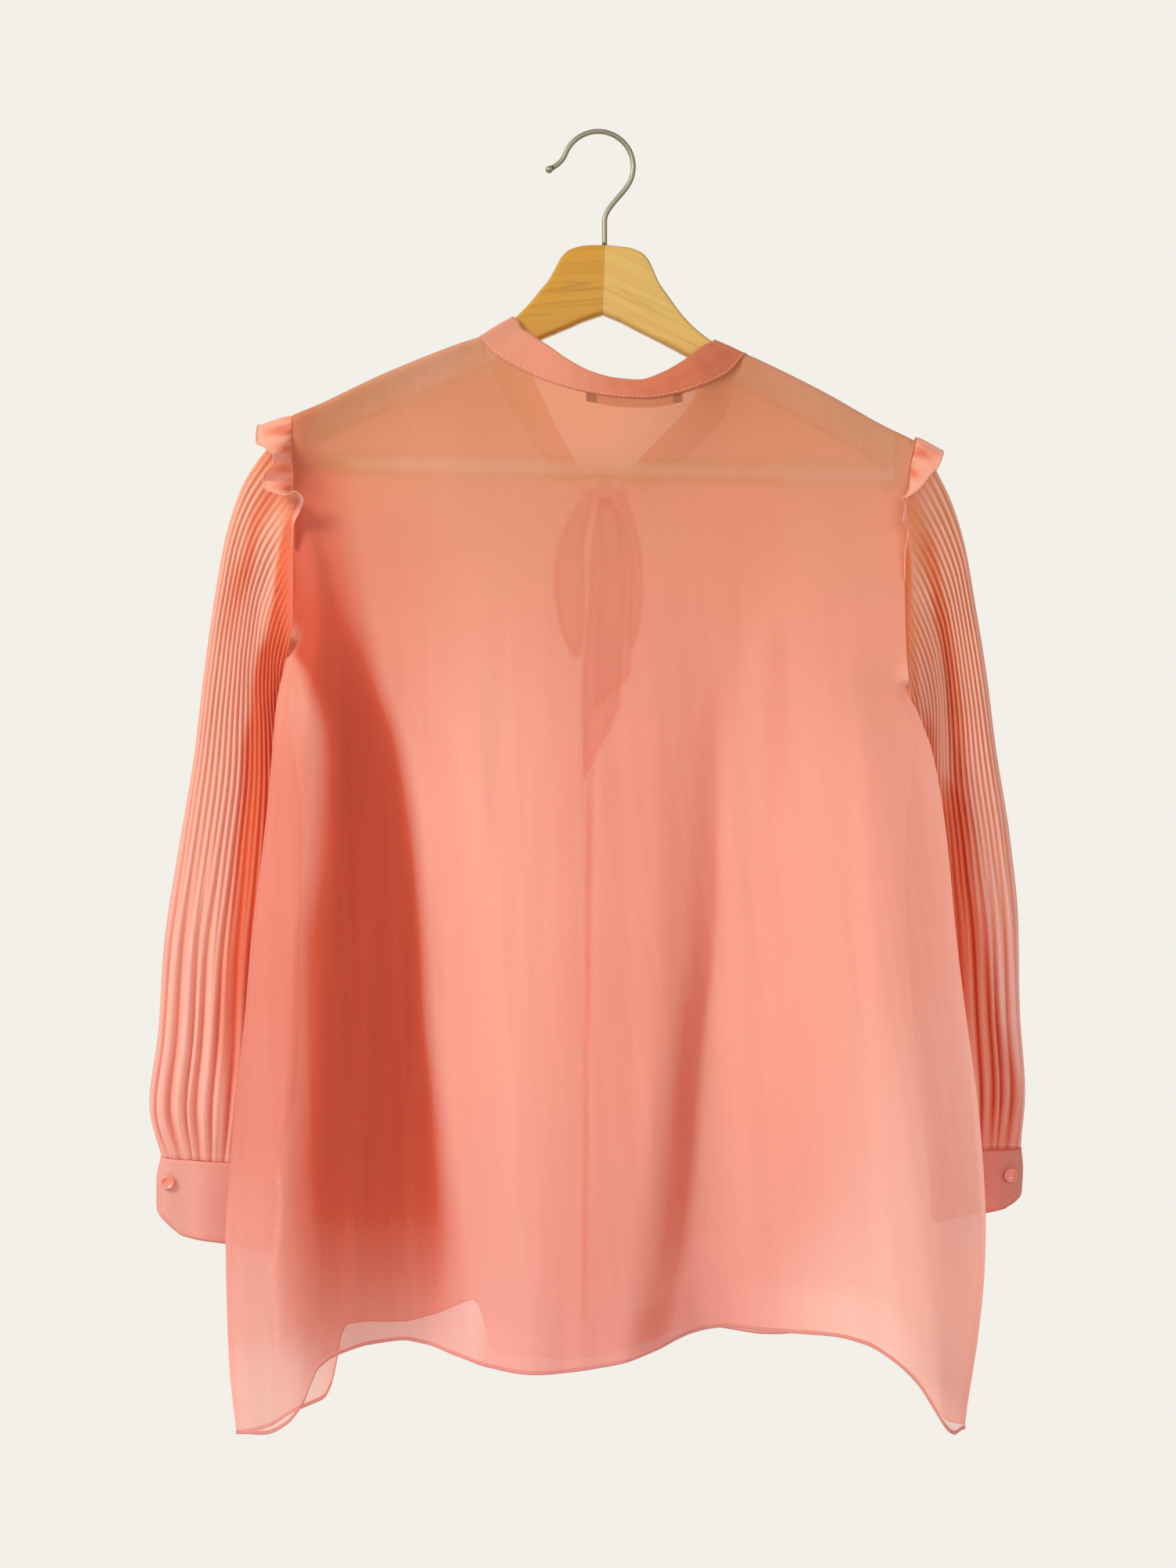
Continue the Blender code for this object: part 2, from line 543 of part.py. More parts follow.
def panel_points(panel, shares, left, right, hem, folds):
    """Middle surface of a body panel between two edges, with columns at the given shares."""
    sign = -1.0 if panel == "back" else 1.0
    x, z, drop = column_grid(shares, left, right, lambda v: panel_top(v, panel)[0], lambda v: table(hem, v))
    _, edge, hang = panel_top(x[0], panel)
    y = panel_depth(x, z, drop, edge[None, :], hang[None, :], folds, sign)
    return np.stack([x, y, z], axis=-1)


def back_points():
    """Middle surface of the back panel."""
    neck_l = share_of(NECK_LEFT_X, left_side, right_side, NECK_LEFT_Z)
    neck_r = share_of(NECK_RIGHT_X, left_side, right_side, NECK_RIGHT_Z)
    climb = beside(neck_r, -1.0)[::-1]
    shares = spread((neck_l, 8), *beside(neck_l, 1.0), (climb[0][0], 10), *climb[1:], (neck_r, 1), (1.0, 8))
    return panel_points("back", shares, left_side, right_side, BACK_HEM, BACK_FOLDS)


def front_points(side):
    """Middle surface of a front panel, from the side seam to the centre front seam."""
    if side == "left":
        neck = share_of(NECK_LEFT_X, left_side, centre_left, NECK_LEFT_Z)
        shares = spread((neck, 7), *beside(neck, 2.0), (1.0, 6))
        return panel_points("left", shares, left_side, centre_left, FRONT_HEM, FRONT_FOLDS)
    neck = share_of(NECK_RIGHT_X, centre_right, right_side, NECK_RIGHT_Z)
    climb = beside(neck, -2.0)[::-1]
    shares = spread((climb[0][0], 6), *climb[1:], (neck, 1), (1.0, 7))
    return panel_points("right", shares, centre_right, right_side, FRONT_HEM, FRONT_FOLDS)


# --- rings -------------------------------------------------------------------------------
def stadium(share, half_length, half_width):
    """Point and normal on a flat loop with round ends, share 0 at its outer end.

    The loop runs by equal lengths: outer end, back face, inner end, front face.
    """
    straight = half_length - half_width
    quarter = 0.5 * math.pi * half_width
    total = 4.0 * (quarter + straight)
    run = (share % 1.0) * total
    angle1 = run / half_width
    on_back = run - quarter
    angle2 = (run - quarter - 2.0 * straight) / half_width
    on_front = run - 3.0 * quarter - 2.0 * straight
    angle3 = (run - 3.0 * quarter - 4.0 * straight) / half_width
    choices = [run < quarter, on_back < 2.0 * straight, angle2 < math.pi, on_front < 2.0 * straight]
    p = np.select(choices, [straight + half_width * np.cos(angle1), straight - on_back,
                            -straight - half_width * np.sin(angle2), -straight + on_front],
                  straight + half_width * np.sin(angle3))
    q = np.select(choices, [-half_width * np.sin(angle1), -half_width + 0.0 * run,
                            -half_width * np.cos(angle2), half_width + 0.0 * run],
                  half_width * np.cos(angle3))
    n_p = np.select(choices, [np.cos(angle1), 0.0 * run, -np.sin(angle2), 0.0 * run], np.sin(angle3))
    n_q = np.select(choices, [-np.sin(angle1), -1.0 + 0.0 * run, -np.cos(angle2), 1.0 + 0.0 * run],
                    np.cos(angle3))
    return p, q, n_p, n_q


def ring_points(row, share, offset, dent=0.0):
    """Points on one ring of a sleeve or cuff, moved out from the loop by an offset."""
    outer = np.array([row[0], row[1]])
    inner = np.array([row[2], row[3]])
    half_length = 0.5 * float(np.hypot(*(outer - inner)))
    along = (outer - inner) / (2.0 * half_length)
    centre = 0.5 * (outer + inner)
    p, q, n_p, n_q = stadium(share, half_length, row[5])
    crease = dent * np.exp(-(p / (CREASE_WIDTH * half_length)) ** 2) * (q < 0.0)
    p = p + n_p * offset
    q = q + n_q * offset + crease
    return np.stack([centre[0] + along[0] * p, row[4] + q, centre[1] + along[1] * p], axis=-1)


def seam_shift(side, ring):
    """Shift of a sleeve ring that brings it to the armhole's own curve."""
    edge = armhole_edge(side)
    outward = -1.0 if side == "left" else 1.0
    z = ring[:, 2]
    shift = np.zeros_like(ring)
    shift[:, 0] = np.interp(z, edge[::-1, 2], edge[::-1, 0]) + outward * SLEEVE_GAP - ring[:, 0]
    shift[:, 1] = table(SIDE_DEPTH, z) - SLEEVE_RINGS[side][0][4]
    return shift


def armhole_edge(side):
    """Points of the back panel's edge on one side, top to bottom."""
    points = back_points()
    return points[:, 0] if side == "left" else points[:, -1]


def sleeve_middle(side):
    """Plain middle surface of a sleeve and its normals, before pleats and gathers."""
    share = np.arange(2 * PLEATS) / (2 * PLEATS)
    shift = seam_shift(side, ring_points(SLEEVE_RINGS[side][0], share, 0.0))
    rows = []
    for k, row in enumerate(SLEEVE_RINGS[side]):
        rows.append(ring_points(row, share, 0.0, row[8]) + shift * max(0.0, 1.0 - k / 3.0))
    middle = np.array(rows)
    round_it = np.concatenate([middle[:, -1:], middle, middle[:, :1]], axis=1)
    normal = grid_normals(round_it)[:, 1:-1]
    normal[0] = square(normal[0], 0)
    if side == "right":
        normal = -normal
    return middle, normal


def build_sleeve(side, cloth):
    """Sleeve wall: pleats and gathers move its middle surface out and in along its normals."""
    middle, normal = sleeve_middle(side)
    count = 2 * PLEATS
    pleat = np.where(np.arange(count) % 2 == 0, 0.5, -0.5)
    gather = 0.5 * np.cos(2.0 * math.pi * GATHERS * np.arange(count) / count)
    rows = SLEEVE_RINGS[side]
    down = np.gradient(middle, axis=0)
    across = 0.5 * (np.roll(middle, -1, axis=1) - np.roll(middle, 1, axis=1))
    apart = np.linalg.norm(np.cross(down, across), axis=-1) / np.linalg.norm(down, axis=-1)
    room = smooth((apart - PLEAT_CLOSE) / (PLEAT_OPEN - PLEAT_CLOSE))
    wave = np.array([row[6] * pleat + row[7] * gather for row in rows]) * room
    slope = np.array([row[6] for row in rows])[:, None] * room
    surface = middle + normal * wave[..., None]
    reach = 0.5 * SLEEVE_WALL * normal * (1.0 + 0.25 * slope)[..., None]
    shell("sleeve_" + side, surface + reach, surface - reach, cloth, closed=True)


def cuff_points(side, offset):
    """Cuff band: once round the sleeve's end, its free end lapped over its start."""
    travel = np.linspace(0.0, 1.0 + CUFF_OVERLAP, CUFF_POINTS)
    share = CUFF_START + CUFF_OVERLAP - travel
    lap = (CUFF_WALL + SEAM_GAP + 0.1) * smooth((travel - 0.82) / 0.16)
    corner = smooth((travel - (1.0 + CUFF_OVERLAP - 0.07)) / 0.07)
    rows = []
    for k, row in enumerate(CUFF_RINGS[side]):
        points = ring_points(row, share, offset + lap)
        sag = CUFF_SAG[side] * np.sin(math.pi * np.clip(share % 1.0, 0.0, 0.5) / 0.5)
        points[:, 2] -= sag * k / (len(CUFF_RINGS[side]) - 1)
        points[:, 2] += 4.0 * corner * (k == len(CUFF_RINGS[side]) - 1)
        rows.append(points)
    return np.array(rows)


def ruffle_points(side):
    """Ruffle over the sleeve head: from the armhole seam out to its waved free edge."""
    waves = RUFFLE_WAVES[side]
    along = np.linspace(waves[0][0], waves[-1][0], RUFFLE_COLUMNS)
    out = table(waves, along, 0, 1)
    lift = table(waves, along, 0, 2)
    rise = table(waves, along, 0, 3)
    row = SLEEVE_RINGS[side][0]
    half_length = 0.5 * math.hypot(row[0] - row[2], row[1] - row[3])
    total = 4.0 * (0.5 * math.pi * row[5] + half_length - row[5])
    share = -along / total
    loop = ring_points(row, share, 0.0)
    normal = ring_points(row, share, 1.0) - loop
    outward = -1.0 if side == "left" else 1.0
    base = loop + seam_shift(side, loop) + normal * RUFFLE_STAND_OFF
    base[:, 0] += outward * 0.9
    rows = []
    for step in RUFFLE_STEPS:
        points = base + normal * (lift * step ** 0.8)[:, None]
        points[:, 0] += outward * out * step ** 1.2
        points[:, 2] += rise * step ** 1.3
        rows.append(points)
    return np.array(rows)


# --- meshes ------------------------------------------------------------------------------
def finish(name, colour, roughness, metallic=0.0):
    """Plain Principled material."""
    material = bpy.data.materials.new(name)
    material.use_nodes = True
    shader = material.node_tree.nodes["Principled BSDF"]
    shader.inputs["Base Color"].default_value = (*colour, 1.0)
    shader.inputs["Roughness"].default_value = roughness
    shader.inputs["Metallic"].default_value = metallic
    return material


def add_object(name, points, faces, material):
    """Make one closed body from points in millimetres, faces pointing out."""
    mesh = bpy.data.meshes.new(name)
    mesh.from_pydata([tuple(p) for p in np.asarray(points) * MM], [], faces)
    shape = bmesh.new()
    shape.from_mesh(mesh)
    bmesh.ops.recalc_face_normals(shape, faces=shape.faces)
    shape.to_mesh(mesh)
    shape.free()
    mesh.shade_smooth()
    mesh.set_sharp_from_angle(angle=math.radians(50.0))
    mesh.materials.append(material)
    piece = bpy.data.objects.new(name, mesh)
    bpy.context.scene.collection.objects.link(piece)
    return piece


def shell(name, outer, inner, material, closed=False):
    """Closed wall between two grids of the same size; closed joins its first and last column."""
    rows, columns = outer.shape[:2]
    points = np.concatenate([outer.reshape(-1, 3), inner.reshape(-1, 3)])
    shift = rows * columns
    last = columns if closed else columns - 1
    faces = []
    for r in range(rows - 1):
        for c in range(last):
            a, b = r * columns + c, r * columns + (c + 1) % columns
            d, e = a + columns, b + columns
            faces.append((a, b, e, d))
            faces.append((a + shift, d + shift, e + shift, b + shift))
    for r in (0, rows - 1):
        for c in range(last):
            a, b = r * columns + c, r * columns + (c + 1) % columns
            faces.append((a, a + shift, b + shift, b) if r == 0 else (a, b, b + shift, a + shift))
    if not closed:
        for c in (0, columns - 1):
            for r in range(rows - 1):
                a, d = r * columns + c, (r + 1) * columns + c
                faces.append((a, d, d + shift, a + shift) if c == 0 else (a, a + shift, d + shift, d))
    return add_object(name, points, faces, material)


def grid_normals(points):
    """Unit normals of a grid of points, from its rows and columns."""
    down = np.gradient(points, axis=0)
    across = np.gradient(points, axis=1)
    normal = np.cross(down, across)
    return normal / np.maximum(np.linalg.norm(normal, axis=-1, keepdims=True), 1e-9)


def square(normal, axis):
    """Normals made square to an axis, so that a seam edge is cut straight across."""
    normal = normal.copy()
    normal[..., axis] = 0.0
    return normal / np.linalg.norm(normal, axis=-1, keepdims=True)


def wall(name, middle, thickness, material):
    """Closed wall of even thickness about a middle surface."""
    reach = 0.5 * thickness * grid_normals(middle)
    return shell(name, middle + reach, middle - reach, material)


def round_arm(points):
    """Unit normals of cloth that passes over an arm, square to the arm's top line."""
    x, y, z = points[..., 0], points[..., 1], points[..., 2]
    over = y - arm_depth_at(x, z)
    beyond = np.sign(over) * np.maximum(np.abs(over) - ARM_FLAT, 0.0)
    above = np.sqrt(np.maximum(ARM_WRAP ** 2 - beyond ** 2, 0.0))
    radial = np.stack([0.0 * x, beyond, above], axis=-1) / ARM_WRAP
    slope = (shoulder_height(x + 2.0) - shoulder_height(x - 2.0)) / 4.0
    line = np.stack([1.0 + 0.0 * x, 0.0 * x, slope], axis=-1) / np.sqrt(1.0 + slope ** 2)[..., None]
    radial = radial - np.sum(radial * line, axis=-1, keepdims=True) * line
    return radial / np.linalg.norm(radial, axis=-1, keepdims=True)


def climbing(x):
    """True where x lies on the shoulder or where a neck edge climbs over an arm."""
    inward = NECK_CLIMB[-1][1] + 0.2
    return (x < NECK_LEFT_X + inward) | (x > NECK_RIGHT_X - inward)


def panel_wall(name, middle, material):
    """Wall of a body panel, its side, centre and shoulder edges cut square to their seams."""
    normal = grid_normals(middle)
    normal[:, 0] = square(normal[:, 0], 0)
    normal[:, -1] = square(normal[:, -1], 0)
    top = climbing(middle[0, :, 0])
    radial = round_arm(middle[0, top])
    normal[0, top] = radial * np.sign(np.sum(normal[2, top] * radial, axis=-1).mean())
    reach = 0.5 * PANEL_WALL * normal
    return shell(name, middle + reach, middle - reach, material)


def loft(name, rings, material):
    """Solid through closed rings of equal count, with flat ends."""
    rings = np.asarray(rings, float)
    count, sides = rings.shape[:2]
    faces = []
    for r in range(count - 1):
        for c in range(sides):
            a, b = r * sides + c, r * sides + (c + 1) % sides
            faces.append((a, b, b + sides, a + sides))
    faces.append(tuple(range(sides)))
    faces.append(tuple((count - 1) * sides + c for c in range(sides)))
    return add_object(name, rings.reshape(-1, 3), faces, material)


# --- pieces ------------------------------------------------------------------------------
def build_body(cloth):
    """Back panel, two front panels, neckband and blank label."""
    back = back_points()
    fronts = {side: front_points(side) for side in ("left", "right")}
    panel_wall("back_panel", back, cloth)
    for side, front in fronts.items():
        panel_wall("front_panel_" + side, front, cloth)
    build_neckband(back[0], fronts["left"][0], fronts["right"][0], cloth)
    build_label(cloth)


def band_stretch(edge, panel):
    """Seam and free edge of the neckband beside one panel's neck edge."""
    x = edge[:, 0]
    neck = edge[(x > NECK_LEFT_X - 0.1) & (x < NECK_RIGHT_X + 0.1)]
    free = np.stack([table(free_rows(panel), neck[:, 0], 0, c) for c in (1, 2, 3)], axis=-1)
    way = free - neck
    way /= np.linalg.norm(way, axis=-1, keepdims=True)
    return neck + BAND_GAP * way, free


def build_neckband(back_edge, left_edge, right_edge, cloth):
    """Doubled strip up one side of the V, round the back neck and down the other side."""
    left = band_stretch(left_edge[::-1], "left")
    back = band_stretch(back_edge, "back")
    right = band_stretch(right_edge[::-1], "right")
    seam, free = (np.concatenate([left[k][:-1], 0.5 * (left[k][-1:] + back[k][:1]), back[k][1:-1],
                                  0.5 * (back[k][-1:] + right[k][:1]), right[k][1:]]) for k in (0, 1))
    middle = np.array([seam + k * (free - seam) for k in (0.0, 0.5, 1.0)])
    normal = grid_normals(middle)
    top = climbing(seam[:, 0])
    radial = round_arm(middle[:, top])
    normal[:, top] = radial * np.sign(np.sum(normal[:, top] * radial, axis=-1).mean())
    reach = 0.5 * BAND_WALL * normal
    shell("neckband", middle + reach, middle - reach, cloth)


def build_label(cloth):
    """Blank label inside the back neck: the panel's own points moved in."""
    x = np.linspace(LABEL_LEFT, LABEL_RIGHT, LABEL_COLUMNS)
    height, edge, hang = panel_top(x, "back")
    rows = []
    for drop in (1.0, 1.0 + LABEL_HEIGHT):
        y = panel_depth(x, height - drop, drop, edge, hang, BACK_FOLDS, -1.0)
        inside = 0.5 * PANEL_WALL + SEAM_GAP + 0.5 * LABEL_WALL + 0.2
        rows.append(np.stack([x, y + inside, height - drop], axis=-1))
    wall("neck_label", np.array(rows), LABEL_WALL, cloth)


def build_sleeves(cloth, button_finish):
    """Sleeve, cuff, button and sleeve-head ruffle of each side."""
    for side in ("left", "right"):
        build_sleeve(side, cloth)
        half = 0.5 * CUFF_WALL
        shell("cuff_" + side, cuff_points(side, half), cuff_points(side, -half), cloth)
        wall("ruffle_" + side, ruffle_points(side), RUFFLE_WALL, cloth)
        build_button(side, button_finish)


def build_button(side, material):
    """Round button with a raised rim, standing on the cuff's lapped end."""
    x, z = BUTTONS[side]
    row = CUFF_RINGS[side][1]
    face = row[4] - row[5] - 0.5 * CUFF_WALL - (CUFF_WALL + SEAM_GAP + 0.1) - SEAM_GAP
    profile = ((BUTTON_RADIUS - 0.5, 0.0), (BUTTON_RADIUS, 0.5), (BUTTON_RADIUS, 1.6),
               (BUTTON_RADIUS - 0.7, BUTTON_HEIGHT), (BUTTON_RADIUS - 1.6, 1.7), (0.8, 1.5))
    angles = np.arange(16) * 2.0 * math.pi / 16
    rings = [np.stack([x + r * np.cos(angles), face - h + 0.0 * angles, z + r * np.sin(angles)], axis=-1)
             for r, h in profile]
    loft("button_" + side, rings, material)


def build_tie(cloth):
    """Knot at the foot of the V, two drooping loops and two tails."""
    rings = []
    for k in range(9):
        lat = math.pi * (k + 0.5) / 9 - 0.5 * math.pi
        angles = np.arange(14) * 2.0 * math.pi / 14
        ripple = 1.0 + 0.05 * np.cos(4.0 * angles)
        rings.append(np.stack([
            KNOT_CENTRE[0] + KNOT_HALF[0] * math.sin(lat) + 0.0 * angles,
            KNOT_CENTRE[1] + KNOT_HALF[1] * math.cos(lat) * np.cos(angles) * ripple,
            KNOT_CENTRE[2] + KNOT_HALF[2] * math.cos(lat) * np.sin(angles) * ripple], axis=-1))
    loft("tie_knot", rings, cloth)
    for side in ("left", "right"):
        wall("tie_loop_" + side, loop_points(side), TIE_WALL, cloth)
    for kind in ("long", "short"):
        wall("tie_tail_" + kind, tail_points(kind), TIE_WALL, cloth)


def loop_points(side):
    """Ribbon that leaves the knot, hangs down, turns up again and returns to the knot."""
    rows = LOOP_ROWS[side]
    turn = np.linspace(0.0, math.pi, LOOP_POINTS)
    z = rows[0][0] + (rows[-1][0] - rows[0][0]) * np.sin(turn) ** 0.85
    middle = table(rows, z, 0, 1)
    width = table(rows, z, 0, 2)
    reach = 0.5 * (LOOP_FRONT_DEPTH - LOOP_BACK_DEPTH)
    swell = 1.0 - 0.45 * np.exp(-((z - rows[0][0]) / 12.0) ** 2)
    y = 0.5 * (LOOP_FRONT_DEPTH + LOOP_BACK_DEPTH) - reach * np.cos(turn) * swell
    return np.array([np.stack([middle + k * width, y, z], axis=-1) for k in (-0.5, 0.0, 0.5)])


def tail_points(kind):
    """Ribbon end that hangs from the knot and is cut off at a slant."""
    rows = TAIL_ROWS[kind]
    columns = np.linspace(-0.5, 0.5, TAIL_COLUMNS)
    drop = np.linspace(0.0, 1.0, 10)
    grid = []
    for share in drop:
        bottom = rows[-1][0] + TAIL_SLANT[kind] * (columns + 0.5)
        z = rows[0][0] + share * (bottom - rows[0][0])
        middle = table(rows, z, 0, 1)
        width = table(rows, z, 0, 2)
        y = table(rows, z, 0, 3) + 0.8 * np.cos(2.0 * math.pi * columns) * smooth((rows[0][0] - z) / 30.0)
        grid.append(np.stack([middle + columns * width, y, z], axis=-1))
    return np.array(grid)


def arm_ring(across, top, bottom, side, shrink=0.0):
    """Rounded upright section of an arm at a distance from the centre."""
    sign = -1.0 if side == "left" else 1.0
    half_y = ARM_HALF_THICKNESS - shrink
    middle, half_z = 0.5 * (top + bottom), 0.5 * (top - bottom) - shrink
    corner = min(ARM_CORNER, half_y - 0.5)
    ring = []
    for cy, cz, start in ((1, 1, 0.0), (-1, 1, 90.0), (-1, -1, 180.0), (1, -1, 270.0)):
        for step in (0.0, 45.0, 90.0):
            angle = math.radians(start + step)
            y = cy * (half_y - corner) + corner * math.cos(angle)
            z = cz * (half_z - corner) + corner * math.sin(angle)
            x_world, z_world = hanger_to_world(sign * across, middle + z)
            ring.append((x_world, float(hanger_depth(across)) + y, z_world))
    return ring


def build_hanger(wood, steel):
    """Two arms joined at the centre, the round trouser bar between them, and the hook."""
    for side in ("left", "right"):
        length = ARM_LENGTH[side]
        rings = []
        for across, top, bottom in ARM_OUTLINE:
            if across < BAR_SEAT - 1.0:
                rings.append(arm_ring(across, top, bottom, side))
        outline = [[r[c] for r in ARM_OUTLINE] for c in range(3)]
        for across, bottom, shrink in (
                (BAR_SEAT - 0.2, None, 0.0), (BAR_SEAT + 0.3, LOBE_BOTTOM + 1.5, 0.0),
                (0.5 * (BAR_SEAT + length), LOBE_BOTTOM, 0.0),
                (length - 1.5, LOBE_BOTTOM + 2.0, 0.8), (length, LOBE_BOTTOM + 5.0, 3.0)):
            top = float(through(outline[0], outline[1], across))
            low = float(through(outline[0], outline[2], across)) if bottom is None else bottom
            rings.append(arm_ring(across, top, low, side, shrink))
        loft("hanger_arm_" + side, rings, wood)
    build_bar(wood)
    build_hook(steel)


def build_bar(wood):
    """Round bar between the two arm ends, a touch less tilted than the arms."""
    angles = np.arange(14) * 2.0 * math.pi / 14
    depth = float(hanger_depth(BAR_SEAT))
    rings = []
    for share in (-1.0, 0.0, 1.0):
        across = share * (BAR_SEAT - 0.6)
        x, z = hanger_to_world(across, BAR_DROP + across * math.tan(BAR_TILT))
        rings.append(np.stack([x + 0.0 * angles, depth + BAR_RADIUS * np.cos(angles),
                               z + BAR_RADIUS * np.sin(angles)], axis=-1))
    loft("hanger_bar", rings, wood)


def hook_path():
    """Middle line of the wire: straight shank, easy bend, round loop, turned-out tip."""
    base = hanger_to_world(0.0, -1.0)[1] + SEAM_GAP
    path = [(HOOK_SHANK_X, base), (HOOK_SHANK_X, HOOK_SHANK_TOP)]
    start = (HOOK_CENTRE[0] + HOOK_RADIUS * math.cos(HOOK_START),
             HOOK_CENTRE[1] + HOOK_RADIUS * math.sin(HOOK_START))
    control = ((HOOK_SHANK_X, HOOK_SHANK_TOP + 9.0),
               (start[0] + 10.0 * math.sin(HOOK_START), start[1] - 10.0 * math.cos(HOOK_START)))
    for k in range(1, 5):
        t = k / 4.0
        weights = ((1 - t) ** 3, 3 * t * (1 - t) ** 2, 3 * t * t * (1 - t), t ** 3)
        corners = (path[1], control[0], control[1], start)
        path.append(tuple(sum(w * c[i] for w, c in zip(weights, corners)) for i in (0, 1)))
    for k in range(1, 13):
        angle = HOOK_START + (HOOK_END - HOOK_START) * k / 12
        path.append((HOOK_CENTRE[0] + HOOK_RADIUS * math.cos(angle),
                     HOOK_CENTRE[1] + HOOK_RADIUS * math.sin(angle)))
    end = path[-1]
    bend = (end[0] - 2.4, end[1] - 6.5)
    for t in (0.35, 0.7, 1.0):
        path.append(tuple((1 - t) ** 2 * a + 2 * t * (1 - t) * b + t * t * c
                          for a, b, c in zip(end, bend, HOOK_TIP)))
    return np.array(path)


def build_hook(steel):
    """Bent wire with a small ball at its tip."""
    path = hook_path()
    direction = np.gradient(path, axis=0)
    direction /= np.linalg.norm(direction, axis=1, keepdims=True)
    radii = [HOOK_WIRE] * len(path)
    stations = [(p, d, r) for p, d, r in zip(path, direction, radii)]
    tip, way = path[-1], direction[-1]
    for advance, radius in ((1.0, HOOK_TIP_BALL), (2.6, HOOK_TIP_BALL), (4.0, 1.2)):
        stations.append((tip + way * advance, way, radius))
    angles = np.arange(8) * 2.0 * math.pi / 8
    rings = []
    for point, way, radius in stations:
        side_way = np.array([way[1], -way[0]])
        rings.append(np.stack([point[0] + radius * np.cos(angles) * side_way[0],
                               radius * np.sin(angles),
                               point[1] + radius * np.cos(angles) * side_way[1]], axis=-1))
    loft("hook", rings, steel)


def main():
    """Clear the scene and build every piece."""
    for old in list(bpy.data.objects):
        bpy.data.objects.remove(old)
    chiffon = finish("coral_chiffon", (0.86, 0.34, 0.22), 0.8)
    shell_button = finish("dyed_button", (0.78, 0.30, 0.20), 0.35)
    beech = finish("varnished_beech", (0.72, 0.45, 0.18), 0.45)
    steel = finish("bright_steel", (0.62, 0.64, 0.68), 0.25, 1.0)
    build_body(chiffon)
    build_sleeves(chiffon, shell_button)
    build_tie(chiffon)
    build_hanger(beech, steel)


main()
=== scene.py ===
"""Sheer pleated-sleeve blouse on a wooden trouser-bar hanger, dressed for the studio.

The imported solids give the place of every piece. Each class below holds one sub-assembly:
its sizes in millimetres as fields, the surfaces worked out from them, and its dressing.
The back of the garment faces -Y, +Z is up, and the origin is the inner top of the hook.
"""
import enum
import logging
import math
from collections.abc import Callable, Mapping, Sequence
from dataclasses import dataclass

import bpy
import numpy as np
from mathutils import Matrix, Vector


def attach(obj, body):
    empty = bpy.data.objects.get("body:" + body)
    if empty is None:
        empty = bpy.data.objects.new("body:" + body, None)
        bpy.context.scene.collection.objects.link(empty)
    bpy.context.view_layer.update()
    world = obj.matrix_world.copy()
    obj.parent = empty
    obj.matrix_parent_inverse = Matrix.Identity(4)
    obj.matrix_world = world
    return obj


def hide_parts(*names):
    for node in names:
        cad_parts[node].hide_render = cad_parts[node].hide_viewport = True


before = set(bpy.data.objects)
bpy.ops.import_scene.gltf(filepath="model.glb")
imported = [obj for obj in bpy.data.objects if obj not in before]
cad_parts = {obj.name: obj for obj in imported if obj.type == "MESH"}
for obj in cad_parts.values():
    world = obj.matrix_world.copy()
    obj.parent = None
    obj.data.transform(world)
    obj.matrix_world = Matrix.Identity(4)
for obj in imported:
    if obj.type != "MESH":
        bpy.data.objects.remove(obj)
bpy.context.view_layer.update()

LOG = logging.getLogger("blouse")
MM = 0.001
Rows = Sequence[Sequence[float]]
Array = np.ndarray

# Pitch, length and thread radius of each row of stitching, in millimetres.
HEM_STITCH = (2.4, 1.7, 0.16)
CUFF_STITCH = (2.4, 1.7, 0.17)
BAND_STITCH = (3.0, 2.0, 0.22)


class Side(enum.Enum):
    """Side of the garment, as seen from behind it."""

    LEFT = "left"
    RIGHT = "right"

    @property
    def outward(self) -> float:
        """Sign of the way out along X."""
        return -1.0 if self is Side.LEFT else 1.0


class Face(enum.Enum):
    """The half of the body that a panel belongs to, and the way it faces along Y."""

    BACK = -1.0
    FRONT_LEFT = 1.0
    FRONT_RIGHT = 2.0

    @property
    def sign(self) -> float:
        """Sign of the way out along Y."""
        return -1.0 if self is Face.BACK else 1.0


class Held(enum.Enum):
    """How a piece of cloth is carried."""

    HUNG = "hung"
    GATHERED = "gathered"
    FOLDED = "folded"


# --- small mathematics -------------------------------------------------------------------
def smooth(t: Array | float) -> Array:
    """Smooth step from 0 to 1: three t squared less two t cubed."""
    t = np.clip(t, 0.0, 1.0)
    return t * t * (3.0 - 2.0 * t)


def rounded(t: Array | float) -> Array:
    """Quarter circle: rises steeply from 0 and levels out at 1."""
    return np.sqrt(1.0 - (1.0 - np.clip(t, 0.0, 1.0)) ** 2)


def bell(t: Array | float) -> Array:
    """Bell curve, 1 at zero and about a third one width away."""
    return np.exp(-np.square(t))


def rise(x: Array | float, start: float, run: float, height: float = 1.0) -> Array:
    """Soft step: 0 up to start, then up to its height over run; a negative run steps the other way."""
    return height * smooth((x - start) / run)


def turns(count: int) -> Array:
    """Angles of evenly spaced places round a circle."""
    return np.arange(count) * 2.0 * np.pi / count


def join(*parts: Array | float) -> Array:
    """Coordinates of one shape, spread over each other's rows and columns and stacked last."""
    return np.stack(np.broadcast_arrays(*parts), axis=-1)


def column(rows: Rows, key: int) -> list[float]:
    """One column of a table."""
    return [row[key] for row in rows]


